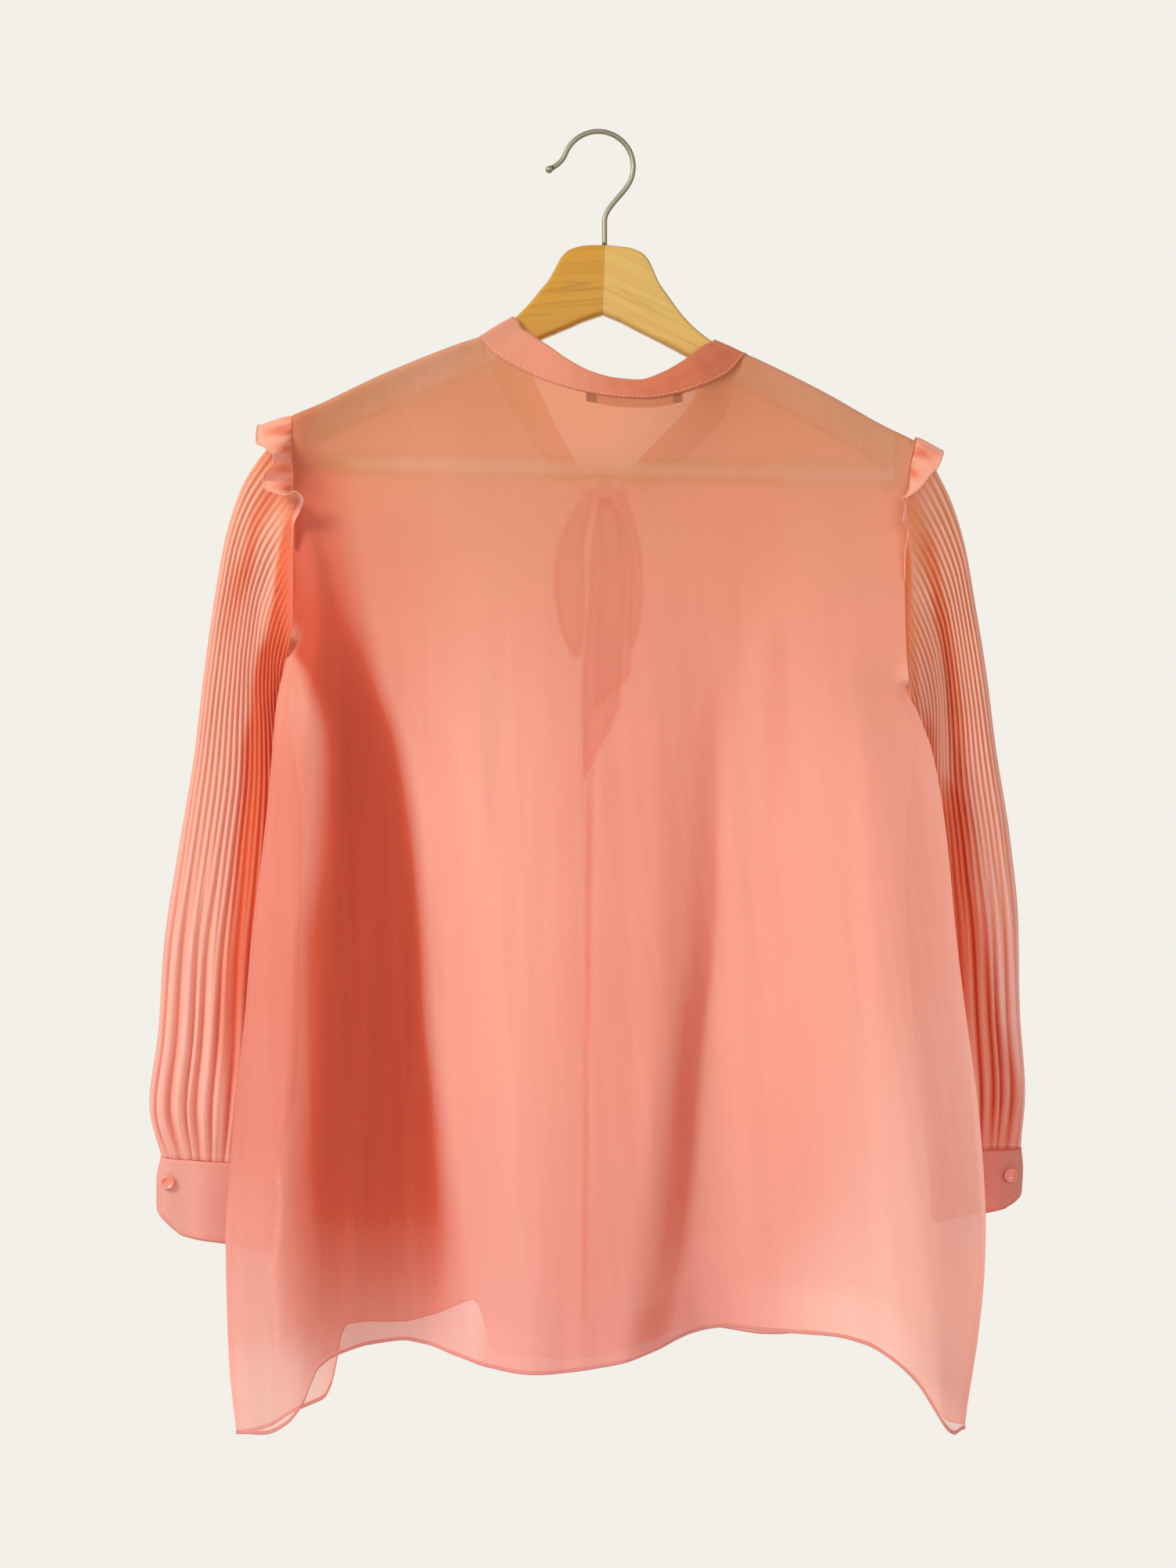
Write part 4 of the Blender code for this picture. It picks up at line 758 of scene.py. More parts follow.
# --- hanger ------------------------------------------------------------------------------
@dataclass(frozen=True)
class Hanger:
    """Two swept wooden arms joined at the centre, a round trouser bar and a wire hook."""

    centre: tuple[float, float] = (4.5, -76.0)
    tilt: float = math.radians(-2.0)
    lengths: tuple[float, float] = (203.0, 208.0)
    half_thickness: float = 6.0
    sweep: float = 22.0
    sweep_power: float = 1.6
    bar_radius: float = 4.5
    bar_tilt: float = math.radians(0.8)
    bar_drop: float = -159.3
    bar_seat: float = 195.0
    lobe_bottom: float = -168.0
    corner: float = 4.0
    cloth_lift: float = 2.1
    outline: Rows = (
        # distance out, top edge, lower edge
        (0, -1, -49), (14, -2, -54.5), (24, -5, -59.5), (30, -10.5, -62.2), (33.5, -17.5, -64),
        (38, -26.5, -66), (44, -34.5, -69), (52, -45, -73), (62.5, -56, -78.5), (80, -68.3, -88.4),
        (100, -76.5, -98.8), (121, -86, -109), (152, -101.3, -125), (173, -113, -137), (188, -121.5, -147),
        (215, -134.5, -165),
    )
    wire: float = 1.75
    shank: tuple[float, float] = (3.8, -60.0)
    loop_centre: tuple[float, float] = (-0.6, -22.5)
    loop_radius: float = 24.2
    loop_turn: tuple[float, float] = (math.radians(-28.0), math.radians(158.0))
    tip: tuple[float, float] = (-32.4, -23.5)
    tip_ball: float = 2.6
    stations: int = 96
    corner_steps: int = 6
    grain_tilt: tuple[float, float] = (0.12, 0.45)  # slope of the grain across each arm

    @property
    def flat(self) -> float:
        """Half the flat part of an arm's top."""
        return self.half_thickness - self.corner

    @property
    def wrap(self) -> float:
        """Radius of the cloth that turns over an arm's top edge."""
        return self.corner + self.cloth_lift

    @property
    def shoulder_round(self) -> float:
        """Half the whole width of the cloth over an arm."""
        return self.flat + self.wrap

    def to_world(self, across: Array | float, up: Array | float) -> tuple[Array, Array]:
        """Turn hanger coordinates, measured from its centre top, to garment coordinates."""
        cos, sin = math.cos(self.tilt), math.sin(self.tilt)
        return self.centre[0] + across * cos - up * sin, self.centre[1] + across * sin + up * cos

    def depth(self, across: Array | float) -> Array:
        """Depth of the arm's middle: a power of the distance out, towards the back."""
        return -self.sweep * (np.abs(across) / self.lengths[0]) ** self.sweep_power

    def depth_at(self, x: Array | float, z: Array | float) -> Array:
        """Depth of the arm's middle behind the point x, z of the garment."""
        cos, sin = math.cos(self.tilt), math.sin(self.tilt)
        return self.depth((x - self.centre[0]) * cos + (z - self.centre[1]) * sin)

    def shoulder_height(self, x: Array | float) -> Array:
        """Height of the shoulder line at x: the arm's top edge plus the cloth on it.

        Args:
            x: Distance across the garment.

        Returns:
            Height at every x.
        """
        across = np.linspace(-218.0, 218.0, 219)
        top = table(self.outline, np.abs(across))
        return np.interp(x, *self.to_world(across, top + self.cloth_lift))

    def over(self, x: float, turn: float, sign: float) -> tuple[float, float, float]:
        """Point of the cloth that passes over an arm at x, turned by an angle from its top.

        Args:
            x: Distance across.
            turn: Angle from the top, in degrees.
            sign: 1 towards the front and -1 towards the back.

        Returns:
            Distance across, height and depth.
        """
        angle = math.radians(turn)
        z = float(self.shoulder_height(x)) - self.wrap * (1.0 - math.cos(angle))
        reach = max(0.15, self.flat * float(smooth(turn / 20.0)) + self.wrap * math.sin(angle))
        return x, z, float(self.depth_at(x, z)) + sign * reach

    def arm(self, side: Side) -> tuple[Array, Array]:
        """Rings of one arm and their UV: a round-cornered upright section along the outline.

        The section's corners are quarter circles about four inner corners, and its top and
        lower edge follow the outline; at the end it swells down to hold the bar.

        Args:
            side: Which arm.

        Returns:
            Rings by points by three, and their UV by two.
        """
        length = self.lengths[0] if side is Side.LEFT else self.lengths[1]
        across = np.concatenate([[0.03, 0.1], np.linspace(0.5, self.bar_seat - 4.0, self.stations),
                                 self.bar_seat - 4.0 + (length - self.bar_seat + 4.0)
                                 * np.sin(np.linspace(0.08, 0.5 * math.pi, 16))])
        top, low = table(self.outline, across), table(self.outline, across, 0, 2)
        low = low + (self.lobe_bottom - low) * smooth((across - self.bar_seat + 3.0) / 3.0)
        near = np.clip((length - across) / 3.0, 0.0, 1.0)
        shrink = 3.0 * (1.0 - np.sqrt(1.0 - (1.0 - near) ** 2))
        half_y = self.half_thickness - shrink
        half_z = 0.5 * (top - low) - shrink
        corner = np.minimum(self.corner, half_y - 0.5)
        angle = np.concatenate([math.pi * 0.5 * q + np.linspace(0.0, 0.5 * math.pi, self.corner_steps)
                                for q in range(4)])
        sign_y = np.repeat([1.0, -1.0, -1.0, 1.0], self.corner_steps)
        sign_z = np.repeat([1.0, 1.0, -1.0, -1.0], self.corner_steps)
        y = sign_y * (half_y - corner)[:, None] + corner[:, None] * np.cos(angle)
        z = sign_z * (half_z - corner)[:, None] + corner[:, None] * np.sin(angle) + 0.5 * (top + low)[:, None]
        world_x, world_z = self.to_world(side.outward * across[:, None] + 0.0 * z, z)
        rings = join(world_x, self.depth(across)[:, None] + y, world_z)
        tilt = self.grain_tilt[0] if side is Side.LEFT else self.grain_tilt[1]
        uv = join(across[:, None] * MM, (z + tilt * across[:, None] + 2.0 * y) * MM)
        return rings, uv

    def bar(self) -> tuple[Array, Array]:
        """Rings of the round bar between the arm ends: a circle carried along a straight line.

        Returns:
            Rings by points by three, and their UV by two.
        """
        angle = turns(28)
        across = np.linspace(-1.0, 1.0, 9) * (self.bar_seat - 0.6)
        x, z = self.to_world(across, self.bar_drop + across * math.tan(self.bar_tilt))
        rings = join(x[:, None], float(self.depth(self.bar_seat)) + self.bar_radius * np.cos(angle),
                     z[:, None] + self.bar_radius * np.sin(angle))
        return rings, join(across[:, None] * MM, self.bar_radius * angle * MM)

    def wire_path(self) -> Array:
        """Middle line of the wire: straight shank, Bezier bend, circular loop, turned-out tip.

        Returns:
            Distance across and height of each point.
        """
        base = self.to_world(0.0, -1.0)[1] + 0.3
        lower = np.array([[self.shank[0], z] for z in np.linspace(base, self.shank[1], 8)])
        first, last = self.loop_turn
        start = np.array([self.loop_centre[0] + self.loop_radius * math.cos(first),
                          self.loop_centre[1] + self.loop_radius * math.sin(first)])
        control = (lower[-1] + (0.0, 9.0), start + 10.0 * np.array([math.sin(first), -math.cos(first)]))
        t = np.linspace(0.0, 1.0, 14)[1:, None]
        bend = ((1 - t) ** 3 * lower[-1] + 3 * t * (1 - t) ** 2 * control[0]
                + 3 * t * t * (1 - t) * control[1] + t ** 3 * start)
        angle = np.linspace(first, last, 60)[1:]
        loop = join(self.loop_centre[0] + self.loop_radius * np.cos(angle),
                    self.loop_centre[1] + self.loop_radius * np.sin(angle))
        end = loop[-1]
        t = np.linspace(0.0, 1.0, 9)[1:, None]
        turned = (1 - t) ** 2 * end + 2 * t * (1 - t) * (end + (-2.4, -6.5)) + t * t * np.array(self.tip)
        return np.concatenate([lower, bend, loop, turned])

    def hook(self) -> Array:
        """Rings of the wire: a circle square to the path, swelling to a small ball at the tip.

        Returns:
            Rings by points by three.
        """
        path = self.wire_path()
        way = unit(np.gradient(path, axis=0))
        radius = np.full(len(path), self.wire)
        ball = np.linspace(0.0, math.pi, 12)[1:]
        centre = path[-1] + way[-1] * 0.8 * self.tip_ball
        path = np.concatenate([path, centre - np.cos(ball)[:, None] * way[-1] * self.tip_ball])
        way = np.concatenate([way, np.repeat(way[-1:], len(ball), axis=0)])
        size = self.tip_ball * np.sin(ball)
        size = np.where(ball < 1.0, np.maximum(self.wire, size), size)
        radius = np.concatenate([radius, np.maximum(size, 0.2)])
        angle = turns(16)
        out = radius[:, None] * np.cos(angle)
        return join(path[:, :1] + out * way[:, 1:], radius[:, None] * np.sin(angle),
                    path[:, 1:] - out * way[:, :1])

    def build(self, finishes: Wardrobe) -> None:
        """Make and dress both arms, the bar and the hook.

        Args:
            finishes: Every material.
        """
        for side, material, slot in ((Side.LEFT, finishes.wood_left, "wood_dark"),
                                     (Side.RIGHT, finishes.wood_right, "wood")):
            rings, uv = self.arm(side)
            dress(loft("arm_" + side.value, rings, uv), material, ["hanger_arm_" + side.value])
        rings, uv = self.bar()
        dress(loft("trouser_bar", rings, uv), finishes.wood_bar, ["hanger_bar"])
        dress(loft("wire_hook", self.hook()), finishes.steel, ["hook"])


# --- tie ---------------------------------------------------------------------------------
@dataclass(frozen=True)
class Tie:
    """Bow at the foot of the V: a knot, two drooping loops and two tails cut at a slant."""

    knot_centre: tuple[float, float, float] = (4.6, 30.2, -241.0)
    knot_half: tuple[float, float, float] = (7.5, 6.0, 7.0)
    left_loop: Rows = (
        (-242, -5.5, 5), (-262, -14, 14), (-285, -20, 19), (-311, -20.5, 21), (-338, -18.5, 17),
        (-358, -15.5, 9),
    )
    right_loop: Rows = (
        (-242, 14.7, 5), (-262, 20, 9), (-285, 25.5, 9), (-311, 27, 8), (-338, 24.5, 8), (-352, 22, 6),
    )
    loop_depth: tuple[float, float] = (31.0, 37.0)
    long_tail: Rows = (
        (-248.3, 4.6, 9, 27.4), (-262, 6, 18, 25.2), (-300, 6, 24, 24.2), (-350, 3.5, 26, 24),
        (-380, 1.5, 26.5, 23.8), (-446, 2.5, 27, 23.3),
    )
    short_tail: Rows = (
        (-248.6, 4.6, 8, 31), (-262, 8, 16, 29), (-300, 12, 22, 27.6), (-340, 11, 24, 27.2),
        (-395, 9, 24, 26.6),
    )
    slants: tuple[float, float] = (52.0, 22.0)
    cover: float = 0.8
    tone: float = 0.6
    knot_tone: float = 0.1

    def shadow(self, x: Array, z: Array) -> Array:
        """How much the ribbons deepen what is seen through: a little inside, and more along an edge as painted
        shade of their folds.

        Args:
            x: Distance across.
            z: Height.

        Returns:
            What the ribbons add at every point.
        """
        total = np.zeros_like(x)
        for rows, slant in ((self.left_loop, 0.0), (self.right_loop, 0.0), (self.long_tail, self.slants[0]),
                            (self.short_tail, self.slants[1])):
            width = table(rows, z, 0, 2) * (rounded((z - rows[-1][0] + 2.0) / 26.0) if slant == 0.0 else 1.0)
            aside = x - table(rows, z, 0, 1)
            foot = rows[-1][0] + slant * np.clip(aside / np.maximum(width, 1.0) + 0.5, 0.0, 1.0)
            inside = np.minimum(np.minimum(0.5 * width - np.abs(aside), 0.7 * (z - foot)), rows[0][0] - z)
            edge = bell((inside - 0.6) / np.where(inside > 0.6, 3.6, 1.3))
            one = 0.18 * smooth(0.4 * inside + 0.5) + 0.24 * edge
            total = total + one * (1.0 - 0.5 * np.clip(total / 0.3, 0.0, 1.0))
        return total

    def knot(self) -> Array:
        """Rings of the knot: a squashed ball whose radius ripples where the ribbon wraps it.

        Returns:
            Rings by points by three.
        """
        lat = math.pi * (np.arange(28) + 0.5)[:, None] / 28 - 0.5 * math.pi
        angle = turns(56)[None]
        ripple = 1.0 + 0.07 * np.cos(7.0 * angle + 1.3 * lat) * np.cos(lat) + 0.05 * np.cos(3.0 * angle)
        centre, half = self.knot_centre, self.knot_half
        return join(centre[0] + half[0] * np.sin(lat),
                    centre[1] + half[1] * np.cos(lat) * np.cos(angle) * ripple,
                    centre[2] + half[2] * np.cos(lat) * np.sin(angle) * ripple)

    def loop_grid(self, rows: Rows) -> Array:
        """Ribbon that leaves the knot, hangs down, turns up again and returns to the knot.

        Args:
            rows: Height, middle and width down the loop.

        Returns:
            Rows by columns by three.
        """
        turn = np.linspace(0.0, math.pi, 90)[None]
        z = rows[0][0] + (rows[-1][0] - rows[0][0]) * np.sin(turn) ** 0.85
        middle, width = table(rows, z, 0, 1), table(rows, z, 0, 2)
        reach = 0.5 * (self.loop_depth[1] - self.loop_depth[0])
        swell = 1.0 - 0.45 * np.exp(-((z - rows[0][0]) / 12.0) ** 2)
        k = np.linspace(-0.5, 0.5, 15)[:, None]
        fold = 0.7 * np.cos(3.0 * math.pi * k + 0.8) * np.exp(-((z - rows[0][0]) / 45.0) ** 2)
        y = 0.5 * sum(self.loop_depth) - reach * np.cos(turn) * swell + fold
        return join(middle + k * width, y, z)

    def tail_grid(self, rows: Rows, slant: float) -> Array:
        """Ribbon end that hangs from the knot in soft pleats and is cut off at a slant.

        Args:
            rows: Height, middle, width and depth down the tail.
            slant: Rise of its cut end from one edge to the other.

        Returns:
            Rows by columns by three.
        """
        columns = np.linspace(-0.5, 0.5, 23)[None]
        share = np.linspace(0.0, 1.0, 90)[:, None]
        z = rows[0][0] + share * (rows[-1][0] + slant * (columns + 0.5) - rows[0][0])
        middle, width, depth = (table(rows, z, 0, k) for k in (1, 2, 3))
        near = np.exp(-((rows[0][0] - z) / 60.0) ** 2)
        y = depth + 0.8 * np.cos(2.0 * math.pi * columns) * smooth((rows[0][0] - z) / 30.0)
        y = y + 0.35 * near * np.cos(8.0 * math.pi * columns)
        return join(middle + columns * width, y, z)

    def build(self, finishes: Wardrobe) -> None:
        """Make and dress the knot, both loops and both tails.

        Args:
            finishes: Every material.
        """
        rings = self.knot()
        values = {"cover": np.full(rings.shape[:2], self.cover),
                  "tone": np.full(rings.shape[:2], self.knot_tone)}
        dress(loft("bow_knot", rings, values=values), finishes.chiffon, ["tie_knot"])
        for side, rows, cut in (("left", self.left_loop, (0.018, 0.235)),
                                ("right", self.right_loop, (0.010, 0.225))):
            points = self.loop_grid(rows)
            values = {"cover": np.full(points.shape[:2], self.cover),
                      "tone": np.full(points.shape[:2], self.tone)}
            piece = surface("bow_loop_" + side, points, values=values)
            dress(piece, finishes.chiffon, ["tie_loop_" + side])
        for kind, rows, slant, cut in (("long", self.long_tail, self.slants[0], (0.028, 0.198)),
                                       ("short", self.short_tail, self.slants[1], (0.025, 0.147))):
            points = self.tail_grid(rows, slant)
            rim = bell((0.5 - np.abs(np.linspace(-0.5, 0.5, points.shape[1]))) / 0.05)[None]
            rim = rim + np.zeros(points.shape[:2])
            values = {"cover": self.cover + 0.2 * rim, "tone": self.tone + 0.4 * rim}
            piece = surface("bow_tail_" + kind, points, flip=True, values=values)
            dress(piece, finishes.chiffon, ["tie_tail_" + kind])


# --- body --------------------------------------------------------------------------------
@dataclass(frozen=True)
class Neckline:
    """Neck seam and the free edge of the neckband, round the back neck and down the V."""

    hanger: Hanger
    left_x: float = -82.0
    right_x: float = 100.5
    band_left_x: float = -59.6
    band_right_x: float = 79.6
    climb: Rows = ((0.0, 0.0), (28.0, 0.8), (60.0, 2.0), (88.0, 4.0))
    back: Rows = (
        (-74, -150.8, -14.6), (-65.2, -158, -18.5), (-48.5, -167.8, -23), (-26.7, -177, -27),
        (-4.9, -182.7, -29), (13.6, -185.6, -29.5), (31.7, -186.4, -29.5), (50.2, -183.6, -28.5),
        (68.4, -177.9, -26), (85, -169.8, -20), (92.5, -163, -16.6),
    )
    front_left: Rows = (
        (-76, -153, 4.2), (-71.7, -162.5, 7.6), (-63.2, -181.7, 12.5), (-46.9, -207.2, 16.5),
        (-28.4, -230.4, 19.5), (3.1, -258.4, 22),
    )
    front_right: Rows = (
        (3.7, -258.4, 22), (44.4, -233.2, 19.5), (66.2, -212.7, 16), (86.2, -191.5, 11.5), (92.6, -174, 7),
        (95, -164, 3.2),
    )
    free_left: Rows = (
        (-76, -54, 6.4, -137.6), (-71.7, -50.6, 9, -151), (-63.2, -40.3, 13.5, -177.2),
        (-46.9, -28.4, 18, -201.4), (-28.4, -15.8, 21, -223), (3.1, 2.8, 23.4, -250.6),
    )
    free_back: Rows = (
        (-74, -53, -12.6, -136), (-65.2, -46.5, -16, -141), (-48.5, -34, -19.5, -150),
        (-26.7, -21, -22.5, -159.6), (-4.9, -4.5, -24.2, -168.4), (13.6, 11.5, -24.7, -172.6),
        (31.7, 27, -24.8, -173.8), (50.2, 43, -23.2, -168.4), (68.4, 56, -20.6, -160.6),
        (85, 67.8, -16.6, -151.4), (92.5, 73.4, -14.6, -147.4),
    )
    free_right: Rows = (
        (3.7, 4, 23.4, -250.6), (44.4, 29.7, 20.8, -219.2), (66.2, 47.2, 17.8, -201.4),
        (86.2, 65.1, 13.6, -181.5), (92.6, 71.6, 9.4, -162.4), (95, 74.4, 5.6, -150.6),
    )

    def climb_rows(self, start_x: float, way: float, sign: float) -> list[tuple[float, float, float]]:
        """Rows x, z, depth of a neck edge as it climbs down from the top of an arm."""
        return [self.hanger.over(start_x + way * inward, turn, sign) for turn, inward in self.climb]

    def rows(self, face: Face) -> list[Sequence[float]]:
        """Rows x, z, depth of a whole neck edge: the climbs and the curve between them.

        Args:
            face: Which panel.

        Returns:
            Rows from left to right.
        """
        if face is Face.BACK:
            return (self.climb_rows(self.left_x, 1.0, -1.0) + list(self.back)
                    + self.climb_rows(self.right_x, -1.0, -1.0)[::-1])
        if face is Face.FRONT_LEFT:
            return self.climb_rows(self.left_x, 1.0, 1.0) + list(self.front_left)
        return list(self.front_right) + self.climb_rows(self.right_x, -1.0, 1.0)[::-1]

    def free_climb(self, seam_x: float, band_x: float, way: float, sign: float) -> list[Sequence[float]]:
        """Rows seam x, free x, y, z of the band's free edge where it passes over an arm."""
        over = self.climb_rows(band_x, way, sign)
        return [(seam_x + way * inward, x, y, z) for (_, inward), (x, z, y) in zip(self.climb, over)]

    def free_rows(self, face: Face) -> list[Sequence[float]]:
        """Rows seam x, free x, y, z of the band's free edge beside a whole neck edge.

        Args:
            face: Which panel.

        Returns:
            Rows from left to right.
        """
        if face is Face.BACK:
            return (self.free_climb(self.left_x, self.band_left_x, 1.0, -1.0) + list(self.free_back)
                    + self.free_climb(self.right_x, self.band_right_x, -1.0, -1.0)[::-1])
        if face is Face.FRONT_LEFT:
            return self.free_climb(self.left_x, self.band_left_x, 1.0, 1.0) + list(self.free_left)
        return list(self.free_right) + self.free_climb(self.right_x, self.band_right_x, -1.0, 1.0)[::-1]


@dataclass(frozen=True)
class Body:
    """Back panel, two front panels, their hems and seams, and the neckband."""

    hanger: Hanger
    neck: Neckline
    tie: Tie
    left_edge: Rows = (
        (-199, -207.2), (-270, -206.5), (-335, -206.8), (-352, -208.8), (-364, -212.6), (-395, -219),
        (-448, -223.5), (-500, -229), (-553, -235.5), (-606, -240), (-660, -245.8), (-712, -250),
        (-755, -252.6), (-806, -251.6), (-843, -249.8), (-887, -245),
    )
    right_edge: Rows = (
        (-213, 214.4), (-237, 208.8), (-263, 207.5), (-300, 205.9), (-340, 206.5), (-384, 209.4),
        (-400, 216.3), (-427, 226), (-480, 235), (-553, 242), (-595, 247), (-669, 256.6), (-711, 260),
        (-745, 261.4), (-775, 260.6), (-817, 256.6), (-845, 252.4), (-867, 248.8), (-884, 246.8),
    )
    underarm: tuple[float, float] = (-352.0, -382.0)
    side_depth: Rows = ((-199.0, -21.6), (-352.0, -23.0), (-600.0, -26.0), (-887.0, -29.0))
    back_hem: Rows = (
        (-242, -886.5), (-229, -883.6), (-206.6, -870.5), (-196, -857.5), (-191, -845), (-187, -836),
        (-174.8, -828.6), (-155.7, -825.2), (-135.6, -825.6), (-119.6, -829.4), (-97.5, -835.6),
        (-75.7, -838.6), (-54.3, -838.6), (-33.4, -838.2), (-2.4, -835.2), (18.7, -831.4), (40.1, -826.2),
        (61.8, -820.4), (88.9, -817.8), (120.8, -819.2), (156.9, -818.6), (176.9, -822), (196.6, -832.6),
        (211.4, -846.6), (221.2, -861.6), (228, -872.6), (234, -880), (240, -884), (247, -883.2),
    )
    front_hem: Rows = (
        (-242, -886.5), (-226, -885), (-209, -877.5), (-198, -874), (-189, -870), (-184.5, -862),
        (-181.5, -850), (-179, -836), (-177, -826), (-173, -820), (-160, -818.5), (-136, -818.8),
        (-114, -814), (-96, -808), (-88.5, -806.5), (-83.5, -812), (-79.5, -826), (-76, -840), (-70, -847),
        (-54.3, -849), (-33.4, -849), (-2.4, -846), (18.7, -842), (40.1, -836), (61.8, -830), (88.9, -827),
        (120.8, -828), (156.9, -826.5), (176.9, -828), (196.6, -836), (211.4, -848), (221.2, -861),
        (229, -872), (236, -879), (247, -880),
    )
    centre_front: Rows = ((-258.4, 3.4), (-350.0, -1.5), (-445.0, -6.0), (-640.0, -8.5), (-840.0, -10.3))
    fold_run: float = 110.0
    armhole_run: float = 5.0
    seam_half: float = 0.12
    usual: float = 0.55  # cover of one plainly hanging layer
    wood_glow: tuple[float, float] = (0.8, 1.6)  # how strongly painted light from the wood pales it, over an arm and over the bar
    glow_width: float = 6.5
    ripples: Rows = ((0.5, 62.0, 4), (0.18, 21.0, 3))  # height, length and octaves of the soft waves
    crease: Rows = (
        # height and place of the crumpled crease
        (-832, -213.7), (-803, -214.6), (-775, -217.7), (-747, -213.7), (-719, -211.5), (-708, -214.6),
    )
    crinkle: tuple[float, float, float] = (0.7, 0.16, 0.15)  # its height, the tone of the painted highlight on its ridge, and its cover
    settle_rounds: int = 60
    rows: tuple[int, int] = (58, 142)  # of a panel's grid, above and below the underarm line
    shoulder_level: float = -205.0  # height about which a side edge meets its shoulder
    corner_levels: tuple[float, float] = (-142.0, -153.0)  # heights of the neck's two corners
    corner_steps: Sequence[float] = (0.0, 0.4, 0.8, 1.2, 1.6, 2.0, 2.6, 3.3, 4.0)
    ease_reach: float = 62.0  # half the width about a neck corner whose depths are evened out
    ease_floor: float = -345.0  # height down to which they are
    ease_bell: float = 18.0  # how near the neighbours are that count
    # Place and height of the eye at the back, and how much wider the front shows from there.
    eye: tuple[float, float] = (-7.6, -447.7)
    parallax: float = 1.04
    back_folds: tuple = (
        (-250, (-202, -31.5), (-194, -30.5), (-150, -32.5), (20, -33), (90, -32), (150, -32.5)),
        (-330, (-190, -34.5), (-172, -29.5), (-120, -33.5), (28, -34), (85, -31.5), (150, -33.5)),
        (-450, (-199, -41), (-128, -20), (-75, -41), (32, -40), (82, -29), (172, -38)),
        (-600, (-201, -48), (-106, -16), (-60, -47), (35, -45), (78, -25), (190, -42)),
        (-750, (-209, -56), (-106, -14), (-48, -55), (22, -52), (72, -19), (212, -49)),
        (-887, (-203, -64), (-126, -14), (-36, -62), (5, -57), (92, -12), (228, -57)),
    )
    front_folds: tuple = (
        (-250, (-150, -3), (-100, 3), (-60, 11), (3, 21), (60, 12), (115, 3), (165, -4)),
        (-450, (-150, 6), (-100, 9), (-60, 20), (-6, 21), (60, 22), (115, 11), (165, 5)),
        (-600, (-155, 8), (-105, 8), (-60, 24), (-8, 20), (60, 26), (115, 9), (170, 8)),
        (-750, (-165, 7), (-110, 6), (-60, 28), (-9, 18), (60, 30), (115, 8), (180, 10)),
        (-887, (-196, -4), (-120, 6), (-60, 31), (-10, 16), (60, 33), (115, 6), (195, 12)),
    )
    # Dark stacked folds of the back and the painted shade in and beside them, also under the ruffle. Height,
    # left edge, its blur, right edge, its blur, strength.
    shades: tuple = (
        ((-215, -215, 8, -192, 30, 0.3), (-237, -214, 8, -172, 50, 0.6), (-258, -214, 8, -170, 50, 0.7),
         (-290, -212, 8, -166, 50, 0.85), (-332, -213, 8, -160, 40, 1), (-352, -211, 10, -155, 34, 1.1),
         (-374, -199, 20, -150, 28, 1.2), (-421, -186, 30, -136, 20, 1.3), (-500, -191, 44, -124, 20, 1.3),
         (-558, -201, 52, -119, 18, 1.25), (-606, -202, 56, -117, 18, 1.25), (-659, -204, 56, -111, 20, 1.2),
         (-711, -208, 56, -105, 24, 1.1), (-764, -210, 56, -99, 28, 0.85), (-806, -208, 56, -98, 34, 0.6),
         (-850, -200, 50, -100, 40, 0.25)),
        ((-200, -215, 8, -150, 90, 0.1), (-290, -215, 8, -125, 90, 0.26), (-374, -215, 8, -120, 70, 0.22),
         (-450, -215, 8, -118, 60, 0)),
        ((-350, 76, 14, 84, 9, 0), (-374, 68, 18, 84, 8, 0.2), (-416, 62, 20, 81, 8, 0.36),
         (-464, 60, 20, 80, 8, 0.42), (-511, 58, 22, 80, 8, 0.52), (-558, 56, 22, 78.5, 8, 0.64),
         (-606, 50, 22, 73, 9, 0.76), (-659, 45, 22, 69, 10, 0.8), (-711, 40, 24, 65.5, 11, 0.78),
         (-764, 34, 24, 59, 13, 0.7), (-806, 24, 26, 49, 16, 0.5), (-840, 18, 30, 43, 24, 0.24)),
        ((-290, -40, 60, 120, 70, 0.1), (-374, -30, 60, 92, 18, 0.16), (-464, -24, 60, 82, 14, 0.24),
         (-558, -24, 56, 80, 14, 0.24), (-659, -28, 56, 72, 16, 0.2), (-764, -26, 60, 62, 22, 0.2),
         (-830, -26, 60, 50, 30, 0.1)),
        ((-380, -245, 10, -185, 20, 0.12), (-450, -250, 10, -188, 20, 0.42), (-700, -275, 10, -196, 20, 0.36),
         (-800, -275, 10, -196, 20, 0.05)),
        ((-330, 113, 10, 125, 10, 0), (-360, 113, 12, 126, 10, 0.16), (-416, 112, 12, 126, 12, 0.14),
         (-500, 110, 16, 122, 12, 0)),
        ((-252, -218, 3, -207, 7, 0), (-276, -218, 3, -205, 8, 0.8), (-312, -218, 3, -202, 9, 1.15),
         (-338, -218, 3, -202, 9, 0.9), (-356, -218, 3, -205, 9, 0.2)),
    )
    # Painted light on the back: pale stretches, thinner and full in the light.
    lights: tuple = (
        ((-330, -104, 40, -50, 60, 0), (-420, -96, 30, -50, 50, 0.1), (-640, -88, 30, -52, 40, 0.14),
         (-800, -84, 30, -50, 40, 0.14)),
        ((-380, 140, 70, 236, 30, 0), (-464, 145, 70, 236, 30, 0.12), (-558, 150, 70, 252, 30, 0.18),
         (-659, 165, 80, 262, 30, 0.5), (-711, 165, 80, 266, 30, 0.62), (-764, 145, 90, 266, 20, 0.75),
         (-806, 130, 90, 266, 20, 0.85), (-880, 125, 90, 266, 20, 0.9)),
        ((-690, -262, 10, -214, 20, 0), (-770, -262, 10, -212, 30, 0.4), (-887, -262, 10, -190, 40, 0.7)),
    )
    top_drops: Sequence[float] = (0.0, 0.2, 0.5, 1.0, 1.8, 2.9, 4.4, 6.2, 8.6)

    def side_x(self, z: Array | float, side: Side) -> Array:
        """Distance across of the body's side edge at height z."""
        return table(self.left_edge if side is Side.LEFT else self.right_edge, z)

